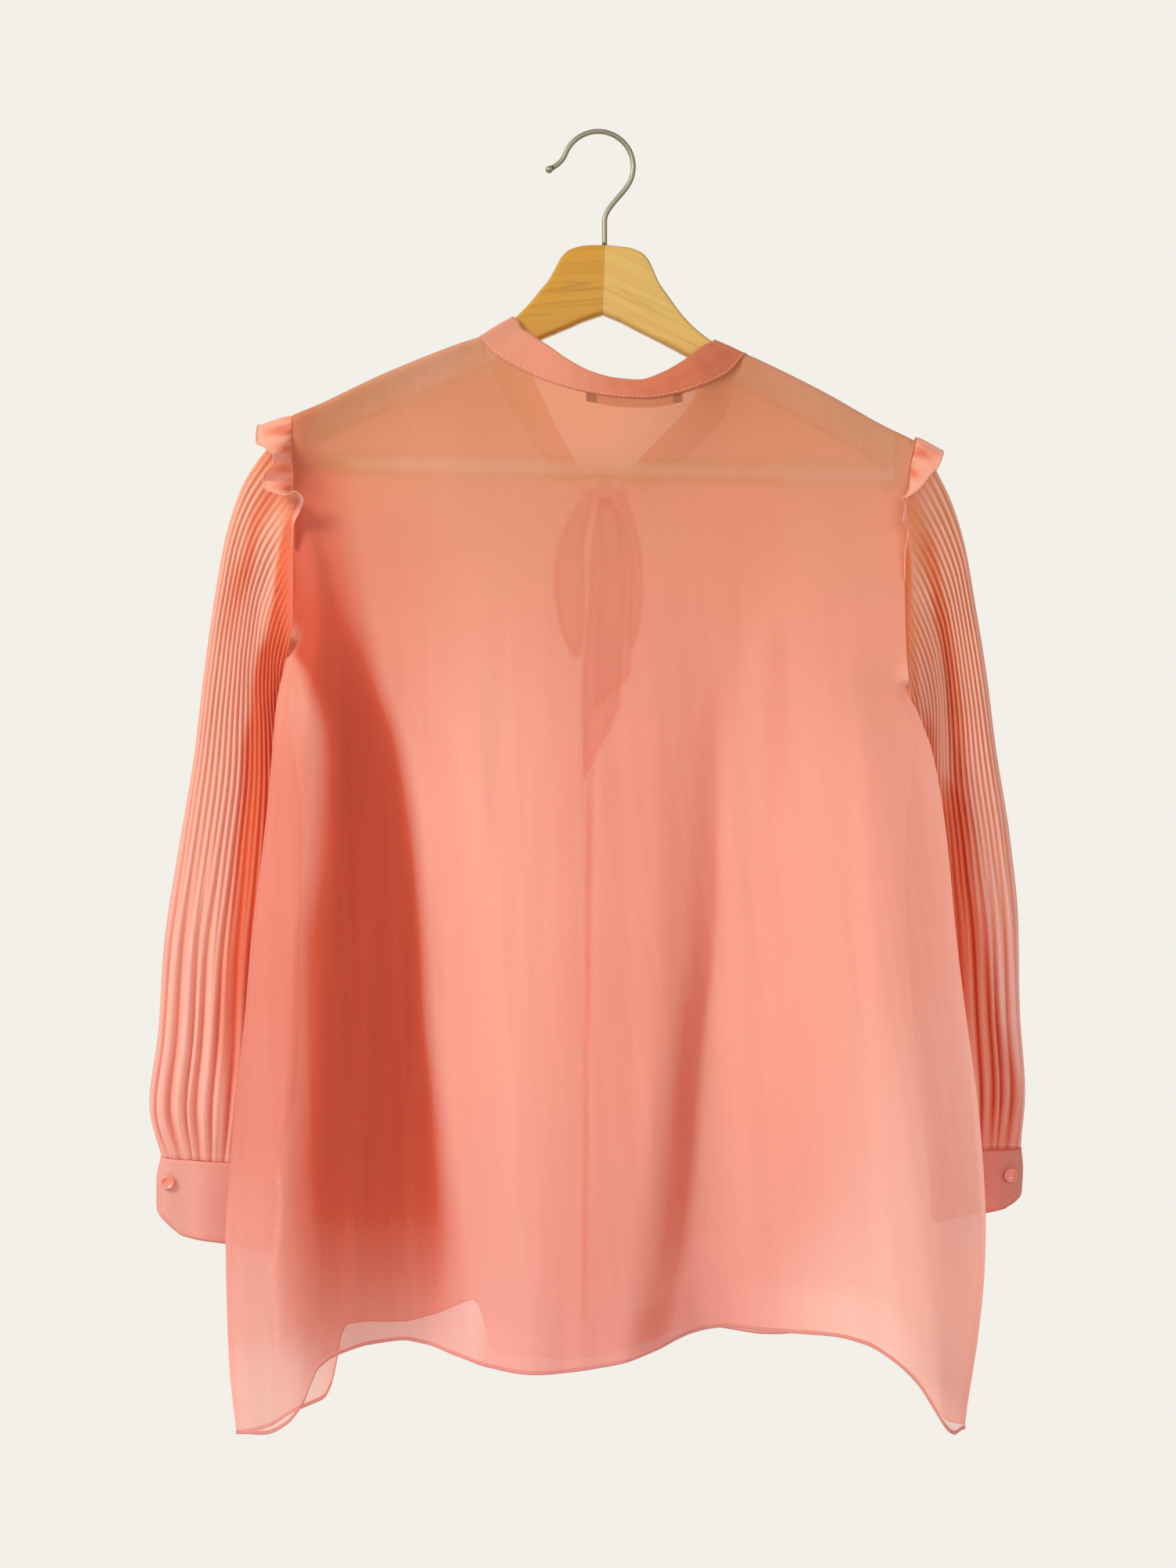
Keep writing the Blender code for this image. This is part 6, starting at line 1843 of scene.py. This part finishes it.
@dataclass(frozen=True)
class Sleeve:
    """Finely pleated sleeve that is released into gathers above its buttoned cuff."""

    side: Side
    body: Body
    rings: Rows
    cuff_rings: Rows
    cuff_sag: float
    button: tuple[float, float]
    ruffle: Rows
    # Painted shade down the sleeve: ring number, start as a share of the way from the outer end
    # (0) to the inner end (1), its blur, end, its blur, strength.
    shades: Sequence[Rows]
    cut: tuple[float, float]
    cut_area: float
    # Tone of the cuff band: paler on the left cuff, painted light, and deeper on the right one, painted shade.
    cuff_tone: float
    cuff_cut: tuple[float, float]
    ruffle_cut: tuple[float, float]
    pleats: int = 46
    gathers: int = 24
    tan_shade: float = 0.0  # how much more painted tan shade than its height alone gives
    # Paler offset of the whole sleeve's tone, a painted light; the right sleeve's is larger.
    base_tone: float = -0.25
    contrast: float = 0.95  # of the painted highlight on the pleats' tops with the painted shade in their valleys
    per_pleat: int = 7  # columns of points in one pleat
    row_count: int = 210
    seam_gap: float = 0.25
    pleat_scale: float = 1.2
    gather_scale: float = 1.25
    cuff_wall: float = 1.4
    cuff_overlap: float = 0.10
    # Radius and height of the button's profile, from the middle of its back over the rim.
    button_profile: Rows = (
        (0.05, 0), (4.2, 0), (4.75, 0.15), (4.9, 0.6), (4.9, 1.5), (4.7, 2), (4.3, 2.35), (3.8, 2.4),
        (3.3, 2.15), (2.9, 1.7), (2.2, 1.5), (1.2, 1.42), (0.05, 1.4),
    )
    cuff_covered: float = 256.0  # distance out within which the cuff lies in front of the body
    sag_shape: Rows = (
        (0, 0), (0.12, 0.58), (0.26, 1), (0.36, 0.92), (0.6, 0.5), (1, 0),
    )
    cuff_start: float = 0.06
    ruffle_stand_off: float = 1.2
    ruffle_pitch: float = 5.2  # distance between its small gathers
    ruffle_folds: Sequence[float] = (-68.0, -52.0, -38.0, -25.0, -12.0)  # where its cloth turns under, with painted shade
    covered: tuple[float, float] = (0.72, 4.2)  # where and from which ring it lies in front of the body
    ridge_power: float = 2.5  # narrows the painted highlight on a pleat's top
    ridge_mean: float = 0.42
    lap: float = 1.9  # how far the cuff's free end stands off its start

    def seam_shift(self, loop: Array) -> Array:
        """Shift of the sleeve head that brings it to the armhole's own curve.

        Args:
            loop: Points of the sleeve's head.

        Returns:
            Shift of each point.
        """
        edge = self.body.armhole(self.side)[::-1]
        shift = np.zeros_like(loop)
        seam_x = np.interp(loop[:, 2], edge[:, 2], edge[:, 0])
        shift[:, 0] = seam_x + self.side.outward * self.seam_gap - loop[:, 0]
        shift[:, 1] = table(self.body.side_depth, loop[:, 2]) - self.rings[0][4]
        return shift

    def middle(self) -> tuple[Array, Array, Array]:
        """Plain middle surface, its outward normals, and the ring table at each row.

        Returns:
            Points, normals, and the ring table with its row number last.
        """
        columns = self.pleats * self.per_pleat
        t = np.linspace(0.0, len(self.rings) - 1.0, self.row_count)
        ring = between(self.rings, t, 9)
        share = np.arange(columns) / columns
        middle = loops(ring, share, 0.0, ring[:, 8:9])
        head = np.maximum(0.0, 1.0 - t / 3.0)[:, None, None]
        middle = middle + self.seam_shift(loops(ring[:1], share)[0])[None] * head
        normal = grid_normals(middle, closed=True)
        if self.side is Side.RIGHT:
            normal = -normal
        return middle, normal, np.concatenate([ring, t[:, None]], axis=1)

    def build_sleeve(self, finishes: Wardrobe) -> None:
        """Pleats with round tops and sharp valleys, opened below into fewer, fuller gathers.

        Args:
            finishes: Every material.
        """
        middle, normal, ring = self.middle()
        columns = middle.shape[1]
        share = np.arange(columns) / columns
        t = ring[:, 9:10]
        down = np.gradient(middle, axis=0)
        across = 0.5 * (np.roll(middle, -1, axis=1) - np.roll(middle, 1, axis=1)) * self.per_pleat
        apart = np.linalg.norm(np.cross(down, across), axis=-1) / np.linalg.norm(down, axis=-1)
        room = smooth((apart - 1.0) / 1.4)
        phase = self.pleats * share[None] + 0.10 * wander(t + 9.0 * share, 41, 5.0, 3)
        top = np.abs(np.cos(np.pi * phase))
        uneven = 1.0 + 0.3 * wander(share * 40.0, 17, 9.0, 3)[None]
        turn = self.gathers * (share[None] + 0.010 * wander(share * 12.0, 5, 2.0, 3)[None])
        turn = turn + 0.12 * wander(t + 6.0 * share, 51, 6.0, 3)
        gather = np.abs(np.cos(np.pi * turn)) - 0.55
        fine = np.abs(np.cos(np.pi * (2.0 * turn + 0.3))) - 0.6
        mouth = rise(t, 8.6, 2.4)
        height = ring[:, 6:7] * self.pleat_scale * (top - 0.6) * room * uneven
        height = height + ring[:, 7:8] * self.gather_scale * (gather + 0.25 * mouth * fine) * (
            1.0 + 0.25 * wander(share * 24.0, 61, 7.0, 3)[None])
        values = self.sleeve_values(share, t, ring, top ** self.ridge_power - self.ridge_mean, gather, room)
        piece = surface("pleated_sleeve_" + self.side.value, middle + normal * height[..., None], True,
                        self.side is Side.RIGHT, values)
        dress(piece, finishes.pleated, ["sleeve_" + self.side.value])

    def sleeve_values(self, share: Array, t: Array, ring: Array, ridge: Array, gather: Array,
                      room: Array) -> dict[str, Array]:
        """Cover and tone: pleats stack the cloth, valleys and the body side turn deeper.

        Args:
            share: Place round the sleeve, in turns.
            t: Place down the sleeve, in rings.
            ring: Ring table at each row.
            ridge: Painted highlight of the pleats, above 0 on their tops.
            gather: Height of the gathers, as a share.
            room: Share of its full depth that a pleat has room for.

        Returns:
            Each number by its name, at every point.
        """
        place = np.where(share < 0.5, 2.0 * share, 2.0 - 2.0 * share)[None]
        tone = streaks(place, t, self.shades)
        pleated = np.clip(ring[:, 6:7] / 1.8, 0.0, 1.0)
        gathered = np.clip(ring[:, 7:8] / 3.6, 0.0, 1.0)
        fine = -self.contrast * (ridge * pleated * (0.35 + 0.65 * room) + 1.1 * gather * gathered)
        hidden = smooth((place - self.covered[0]) / 0.1) * smooth((t - self.covered[1]) / 1.5)
        fine = fine * (1.0 - 0.6 * hidden)
        # Thinner and painted paler at the inner foot of the sleeve head: painted light over the shade there.
        foot = rise(place, 0.88, 0.12) * (1.0 - smooth(t / 1.2))
        cover = 0.78 + 0.14 * pleated + 0.04 * gathered - 0.75 * hidden - 0.5 * foot
        tone = tone - 0.25 * hidden
        tone = tone + self.base_tone + fine * (1.0 - 0.45 * np.clip(tone, 0.0, 1.0)) - 0.7 * foot
        return {"cover": np.clip(cover, 0.0, 1.0), "tone": np.clip(tone, -0.9, 2.0),
                "cool": np.full(cover.shape, -self.tan_shade)}

    def cuff_grid(self, offset: float, columns: int, rows: int) -> Array:
        """Cuff band: once round the sleeve's end, its free end lapped over its start.

        Args:
            offset: Distance out from the cuff's middle.
            columns: Points round the cuff.
            rows: Points down it.

        Returns:
            Rows by columns by three.
        """
        travel = np.linspace(0.0, 1.0 + self.cuff_overlap, columns)
        share = self.cuff_start + self.cuff_overlap - travel
        lap = rise(travel, 0.82, 0.16, self.lap)
        corner = smooth((travel - (1.0 + self.cuff_overlap - 0.07)) / 0.07)
        t = np.linspace(0.0, len(self.cuff_rings) - 1.0, rows)
        ring = between(self.cuff_rings, t, 6)
        points = loops(ring, share, offset + lap[None])
        down = (t / t[-1])[:, None]
        back = table(self.sag_shape, np.clip(share % 1.0, 0.0, 0.5) / 0.5)[None]
        points[..., 2] -= self.cuff_sag * back * down
        points[..., 2] += 4.0 * corner[None] * rise(down, 0.5, 0.5)
        points[..., 1] += 0.35 * wander(travel * 10.0, 71, 3.0, 3)[None] * np.sin(math.pi * down)
        return points

    def build_cuff(self, finishes: Wardrobe) -> None:
        """Doubled cuff with stitched edges, and the button on its lapped end.

        Args:
            finishes: Every material.
        """
        half = 0.5 * self.cuff_wall
        outer, inner = self.cuff_grid(half, 190, 26), self.cuff_grid(-half, 190, 26)
        normal = grid_normals(outer)
        if np.mean(np.sum(normal * (outer - inner), axis=-1)) < 0.0:
            outer, inner = outer[:, ::-1], inner[:, ::-1]
        down = np.linspace(0.0, 1.0, outer.shape[0])[:, None] + 0.0 * outer[..., 0]
        rim = bell(down / 0.06) + bell((1.0 - down) / 0.05)
        covered = np.where(self.side.outward * outer[..., 0] < self.cuff_covered, 1.0, 0.0)
        values = {"cover": np.clip(0.85 + 0.15 * rim - 0.8 * covered, 0.0, 1.0),
                  "tone": self.cuff_tone + 0.25 * rim * (1.0 - covered) - 0.3 * covered}
        cuff = shell("cuff_band_" + self.side.value, outer, inner, values)
        dress(cuff, finishes.pleated, ["cuff_" + self.side.value])
        face = unit(outer - inner)
        for name, row in (("upper", 1), ("lower", -3)):
            thread = stitches(f"cuff_stitches_{name}_{self.side.value}", outer[row] + 0.05 * face[row],
                              face[row], *CUFF_STITCH)
            dress(thread, finishes.thread)
        self.build_button(finishes)

    def build_button(self, finishes: Wardrobe) -> None:
        """Round button with a raised rim and a dished middle: a profile turned about Y.

        Args:
            finishes: Every material.
        """
        x, z = self.button
        row = self.cuff_rings[1]
        face = row[4] - row[5] - 0.75 - self.lap - 0.3
        profile = np.array(self.button_profile)
        angle = turns(40)
        rings = join(x + profile[:, :1] * np.cos(angle), face - profile[:, 1:],
                     z + profile[:, :1] * np.sin(angle))
        dress(loft("cuff_button_" + self.side.value, rings), finishes.button,
              ["button_" + self.side.value])

    def ruffle_grid(self, columns: int, rows: int) -> Array:
        """Ruffle over the sleeve head: from the armhole seam out to its waved free edge.

        Across the ruffle a point lifts off the seam along the loop's normal by a power of the
        way out, moves outward and drops, each by the wave table; near the seam the cloth is
        drawn into small gathers.

        Args:
            columns: Points along the seam.
            rows: Points out from it.

        Returns:
            Rows by columns by three.
        """
        waves = self.ruffle
        along = np.linspace(waves[0][0], waves[-1][0], columns)
        out, lift, climb = (table(waves, along, 0, k)[None] for k in (1, 2, 3))
        row = np.asarray(self.rings[0], float)[None]
        half_length = 0.5 * math.hypot(row[0, 0] - row[0, 2], row[0, 1] - row[0, 3])
        share = -along / (4.0 * (0.5 * math.pi * row[0, 5] + half_length - row[0, 5]))
        loop = loops(row, share)[0]
        normal = loops(row, share, 1.0)[0] - loop
        base = loop + self.seam_shift(loop) + normal * self.ruffle_stand_off
        base[:, 0] += self.side.outward * 0.3
        step = np.linspace(0.0, 1.0, rows)[:, None]
        ends = smooth((along - along[0]) / 14.0) * smooth((along[-1] - along) / 14.0)
        turn = np.pi * along / self.ruffle_pitch + 1.1 * wander(along, 81, 31.0)
        gather = 0.9 * (np.abs(np.cos(turn)) - 0.6)[None]
        drawn = gather * np.sin(math.pi * np.clip(step, 0.0, 1.0) ** 0.6) * ends[None]
        points = base[None] + normal[None] * (lift * step ** 0.8 + drawn)[..., None]
        points[..., 0] += self.side.outward * out * step ** 1.2
        points[..., 2] += climb * step ** 1.3
        return points

    def build_ruffle(self, finishes: Wardrobe) -> None:
        """Ruffle sheet with its narrow rolled edge.

        Args:
            finishes: Every material.
        """
        points = self.ruffle_grid(260, 22)
        normal = grid_normals(points)
        step = np.linspace(0.0, 1.0, points.shape[0])[:, None] + 0.0 * points[..., 0]
        run = run_along(points[0])[None]
        gather = np.abs(np.cos(np.pi * run / self.ruffle_pitch)) * bell(step / 0.3)
        along = np.linspace(self.ruffle[0][0], self.ruffle[-1][0], points.shape[1])[None]
        folds = sum(bell((along - place - 6.0 * (step - 0.5)) / 3.0) for place in self.ruffle_folds)
        # Painted shade in the small gathers by the seam and where the cloth turns under.
        values = {"cover": 0.95 + 0.0 * step, "cool": 0.5 + 0.0 * step,
                  "tone": 0.35 * gather - 0.16 + 0.8 * folds * bell((step - 0.35) / 0.4)}
        # Its rolled edge is paler: a painted highlight.
        edge = rolled_edge("ruffle_edge_" + self.side.value, points[-1], unit(points[-3] - points[-1]),
                           normal[-1], width=1.3, thickness=0.9, cover=0.9, tone=-0.25)
        dress(edge, finishes.pleated)
        piece = surface("sleeve_ruffle_" + self.side.value, points, False, self.side is Side.RIGHT, values)
        dress(piece, finishes.pleated, ["ruffle_" + self.side.value])

    def build(self, finishes: Wardrobe) -> None:
        """Make and dress the sleeve, its cuff and its ruffle.

        Args:
            finishes: Every material.
        """
        self.build_sleeve(finishes)
        self.build_cuff(finishes)
        self.build_ruffle(finishes)


# --- studio ------------------------------------------------------------------------------
@dataclass(frozen=True)
class Studio:
    """Pale surround and floor, soft lights from the upper left, and the camera."""

    backdrop: str = "#F2F0E8"
    camera: tuple[float, float, float] = (-0.0076, -1.5, -0.4477)
    lens: float = 50.0
    aim: tuple[float, float, float] = (0.0, 0.0, -0.45)
    floor_height: float = -1.55
    # Lamps: name, place in metres, width, power in watts, colour.
    lamps: tuple = (
        ("key_light", (-1.7, -1.25, 0.75), 0.8, 56.0, (1.0, 0.97, 0.93)),
        ("front_fill", (0.9, -2.2, 0.1), 1.4, 23.0, (1.0, 0.98, 0.96)),
        ("wall_bounce", (0.2, 1.7, -0.3), 1.8, 26.0, (1.0, 0.97, 0.92)),
    )

    def world(self) -> None:
        """Even pale surround; what lights the cloth is dimmer than what is seen of it."""
        world = bpy.data.worlds.new("studio_surround")
        bpy.context.scene.world = world
        world.use_nodes = True
        tree = world.node_tree
        tree.nodes.clear()
        seen = add_node(tree, "Background", {}, {"Color": linear(self.backdrop), "Strength": 1.0})
        fill = add_node(tree, "Background", {}, {"Color": (0.93, 0.96, 1.0, 1.0), "Strength": 0.42})
        path = add_node(tree, "LightPath")
        mixed = add_node(tree, "MixShader", {}, {0: path.outputs["Is Camera Ray"], 1: fill, 2: seen})
        add_node(tree, "OutputWorld", {}, {"Surface": mixed})

    def lamp(self, name: str, place: tuple[float, float, float], size: float, power: float,
             colour: tuple[float, float, float]) -> None:
        """Square soft light aimed at the middle of the garment.

        Args:
            name: Its name.
            place: Where it stands, in metres.
            size: Its width in metres.
            power: Its power in watts.
            colour: Its colour.
        """
        data = bpy.data.lights.new(name, "AREA")
        data.size = size
        data.energy = power
        data.color = colour
        lamp = bpy.data.objects.new(name, data)
        lamp.location = place
        lamp.rotation_euler = (Vector(self.aim) - Vector(place)).to_track_quat("-Z", "Y").to_euler()
        bpy.context.scene.collection.objects.link(lamp)

    def build(self) -> None:
        """Make the surround, the floor, the lights and the camera."""
        scene = bpy.context.scene
        self.world()
        angle = turns(96)
        radius = np.array([0.0005, 0.5, 1.0, 1.35])[:, None] / MM
        rings = join(radius * np.cos(angle), radius * np.sin(angle), self.floor_height / MM)
        floor = surface("studio_floor", rings, closed=True, flip=False)
        matt = Plain("matt_pale_floor", "#EAE7DF", "#E7E4DB", 0.9, grain_mm=40.0)
        floor.data.materials.append(matt.material())
        for lamp in self.lamps:
            self.lamp(*lamp)
        data = bpy.data.cameras.new("camera")
        data.lens = self.lens
        data.sensor_width = 36.0
        camera = bpy.data.objects.new("camera", data)
        camera.location = self.camera
        camera.rotation_euler = (math.radians(90.0), 0.0, 0.0)
        scene.collection.objects.link(camera)
        scene.camera = camera
        scene.view_settings.view_transform = "Standard"
        scene.cycles.transparent_max_bounces = 32
        scene.cycles.max_bounces = 10


LEFT_SLEEVE = dict(
    rings=(
        # upper edge x, z; under edge x, z; depth of the middle; half thickness; pleat; gather; crease
        (-207.4, -199.3, -209.6, -352, -21.8, 8.1, 0, 0, 0),
        (-217, -210, -209.8, -357, -19.8, 8.4, 0.4, 0, 0.8),
        (-241.5, -242, -211.6, -369.5, -13.5, 9.2, 1.6, 0, 2),
        (-254, -274, -213.6, -384.5, -7, 10, 1.8, 0, 1), (-263.5, -318, -213.6, -405, -0.5, 11, 1.8, 0, 0),
        (-272, -370, -209.8, -434, 5.5, 12, 1.8, 0, 2), (-280, -428, -207, -473, 11.5, 13, 1.7, 0, 3.5),
        (-291, -490, -207.5, -520, 16, 14, 1.4, 0.8, 4), (-302, -560, -209.5, -577, 20, 15, 0.5, 2.6, 3),
        (-306.5, -622, -211, -632, 22, 15.5, 0, 3.6, 1.5), (-312.8, -672, -215.5, -679, 22, 14, 0, 3.6, 0),
        (-305.3, -707, -225.6, -712.5, 22, 9.5, 0, 1.3, 0),
    ),
    cuff_rings=(
        (-305.3, -707.6, -225.6, -713.1, 22, 9.5), (-308.4, -724, -226, -742, 22, 10),
        (-308.4, -741, -226.7, -773.7, 22, 10),
    ),
    cuff_sag=12.0,
    button=(-298.6, -723.6),
    ruffle=(
        (-94, 0, 2, 0), (-84, -2, 7, 5.6), (-74, -9, 14, 7.8), (-69, -10, 17, 5.5), (-63, -5, 19, 4.7),
        (-58, 3, 20, -2.9), (-53, 11, 18, -5.3), (-48, 16, 14, -7.6), (-43, 18.2, 11, -7.3),
        (-37, 16, 14, -8), (-31, 9.7, 18, -7.7), (-26, 9.7, 18, -8.4), (-20, 16, 13, -8.1),
        (-14, 23, 6, -9.3), (-6, 23.5, 3, -9.1), (4, 22, 3, -10), (13, 20, 9, -12), (23, 12, 17, -11),
        (33, 17, 15, -10), (43, 18, 12, -9), (53, 6, 20, -6), (63, -4, 18, 2), (73, 2, 13, 4), (83, 1, 7, 2),
        (92, 0, 2, 0),
    ),
    cut=(0.34, 0.50),
    cut_area=0.125,
    cuff_tone=-0.36,
    cuff_cut=(0.215, 0.052),
    ruffle_cut=(0.20, 0.022),
    shades=(
        ((0, 0.4, 0.1, 1.2, 0.1, 0.9), (1, 0.43, 0.08, 1.2, 0.1, 1.05), (1.5, 0.53, 0.08, 1.2, 0.1, 1.1),
         (2, 0.64, 0.08, 1.15, 0.1, 1.15), (2.8, 0.66, 0.08, 1.05, 0.1, 1.15),
         (3.7, 0.58, 0.08, 0.97, 0.08, 1.15), (4.8, 0.52, 0.08, 0.86, 0.08, 1.15),
         (5.6, 0.46, 0.08, 0.77, 0.08, 1.15), (7.9, 0.47, 0.1, 0.71, 0.08, 1.05),
         (8.8, 0.44, 0.12, 0.67, 0.08, 0.8), (9.8, 0.52, 0.14, 0.65, 0.08, 0.5),
         (11, 0.6, 0.2, 0.7, 0.1, 0.25)),
        ((0.6, 0.15, 0.1, 0.3, 0.1, 0), (1.1, 0.17, 0.1, 0.3, 0.1, 0.6), (1.9, 0.2, 0.1, 0.32, 0.1, 0.75),
         (2.7, 0.26, 0.1, 0.38, 0.1, 0.75), (3.5, 0.2, 0.1, 0.34, 0.1, 0.5), (4.6, 0.18, 0.1, 0.3, 0.1, 0)),
        ((0, -0.2, 0.1, 0.6, 0.3, 0.5), (1, -0.2, 0.1, 0.4, 0.3, 0.5), (1.8, -0.2, 0.1, 0.1, 0.2, 0.3),
         (2.4, -0.2, 0.1, 0.1, 0.2, 0)),
    ),
)
RIGHT_SLEEVE = dict(
    rings=(
        (214.6, -213.8, 208.8, -382, -21.8, 8.1, 0, 0, 0), (224, -226, 209.6, -387.5, -19.8, 8.4, 0.4, 0, 1),
        (240, -256, 212.4, -399, -13.5, 9.2, 1.6, 0, 3), (249.5, -284, 215.4, -412, -7, 10, 1.8, 0, 5),
        (257.5, -322, 218, -429, -0.5, 11, 1.8, 0, 7), (266.5, -370, 216, -454, 5.5, 12, 1.8, 0, 8),
        (274.5, -424, 213.5, -485, 11, 13, 1.7, 0, 8), (284.5, -482, 214, -521, 15.5, 14, 1.4, 0.8, 7),
        (291, -545, 217.5, -566, 19, 15, 0.5, 2.6, 5), (292.3, -605, 221, -613, 21, 16, 0, 3.6, 3),
        (295.8, -660, 226, -664, 21, 15, 0, 3.6, 1), (294.2, -700.5, 230, -702, 21, 9.5, 0, 1.3, 0),
    ),
    cuff_rings=(
        (294.2, -701.1, 230, -702.6, 21, 9.5), (295.4, -716, 231, -727, 21, 10),
        (294.4, -731.5, 232, -752, 21, 10),
    ),
    cuff_sag=6.0,
    button=(285.0, -718.5),
    ruffle=(
        (-104, -1, 2, 4), (-90, -1, 5, 6), (-75, 0, 8, 5.6), (-67, -1.5, 10, 2), (-60, -4.5, 12, -2),
        (-51, -3.5, 13, -1.4), (-45, -6, 15, -3), (-35, -3, 15, -12), (-27, 4, 13, -14.6),
        (-18, 11.2, 10, -13.1), (-10, 16.5, 6, -12.8), (-5, 18, 3, -11.6), (5, 17, 3, -12), (16, 19, 8, -13),
        (28, 11, 15, -12), (39, 16, 14, -11), (50, 5, 17, -8), (61, -3, 15, 1), (73, 2, 11, 3), (84, 0, 6, 2),
        (96, 0, 2, 0),
    ),
    tan_shade=0.8,
    base_tone=-0.34,
    contrast=1.9,
    cut=(0.32, 0.47),
    cut_area=0.109,
    cuff_tone=0.2,
    cuff_cut=(0.185, 0.041),
    ruffle_cut=(0.20, 0.020),
    shades=(
        ((5.4, 0.6, 0.12, 0.75, 0.08, 0.3), (6.3, 0.38, 0.12, 0.68, 0.08, 1.2),
         (7.2, 0.4, 0.12, 0.65, 0.08, 1.3), (8.1, 0.35, 0.14, 0.62, 0.08, 1.15),
         (9, 0.27, 0.14, 0.54, 0.08, 1), (10.1, 0.12, 0.14, 0.5, 0.08, 0.9),
         (11, 0.1, 0.14, 0.48, 0.08, 0.7)),
        ((1, 0.25, 0.12, 0.42, 0.12, 0.4), (1.7, 0.28, 0.12, 0.43, 0.12, 0.8),
         (2.6, 0.36, 0.12, 0.5, 0.12, 0.95), (3.75, 0.37, 0.12, 0.51, 0.12, 0.95),
         (4.7, 0.36, 0.12, 0.5, 0.12, 0.9), (5.5, 0.35, 0.12, 0.49, 0.12, 0.9),
         (6.3, 0.38, 0.12, 0.5, 0.12, 0.95), (11, 0.38, 0.12, 0.5, 0.12, 0.8)),
        ((3.2, 0.8, 0.14, 1.1, 0.1, 0.2), (4.2, 0.72, 0.12, 0.95, 0.08, 0.8), (4.9, 0.68, 0.12, 0.8, 0.08, 1),
         (6, 0.6, 0.12, 0.69, 0.08, 0.9), (11, 0.4, 0.12, 0.48, 0.08, 0.7)),
        ((0, 0.4, 0.1, 1.2, 0.1, 1.2), (0.4, 0.42, 0.1, 1.2, 0.1, 1), (0.9, 0.56, 0.1, 1.2, 0.1, 0.55),
         (1.5, 0.74, 0.12, 1.2, 0.1, 0.6), (2.4, 0.86, 0.12, 1.2, 0.1, 0.9), (3.4, 0.92, 0.1, 1.2, 0.1, 0.3)),
    ),
)


def main() -> None:
    """Build every sub-assembly in order."""
    logging.basicConfig(level=logging.INFO, format="%(name)s %(message)s")
    finishes = Wardrobe()
    hanger = Hanger()
    hanger.build(finishes)
    tie = Tie()
    body = Body(hanger, Neckline(hanger), tie)
    body.build(finishes)
    NeckLabel(body).build(finishes)
    for side, sizes in ((Side.LEFT, LEFT_SLEEVE), (Side.RIGHT, RIGHT_SLEEVE)):
        Sleeve(side, body, **sizes).build(finishes)
    tie.build(finishes)
    Studio().build()


if __name__ == "__main__":
    main()
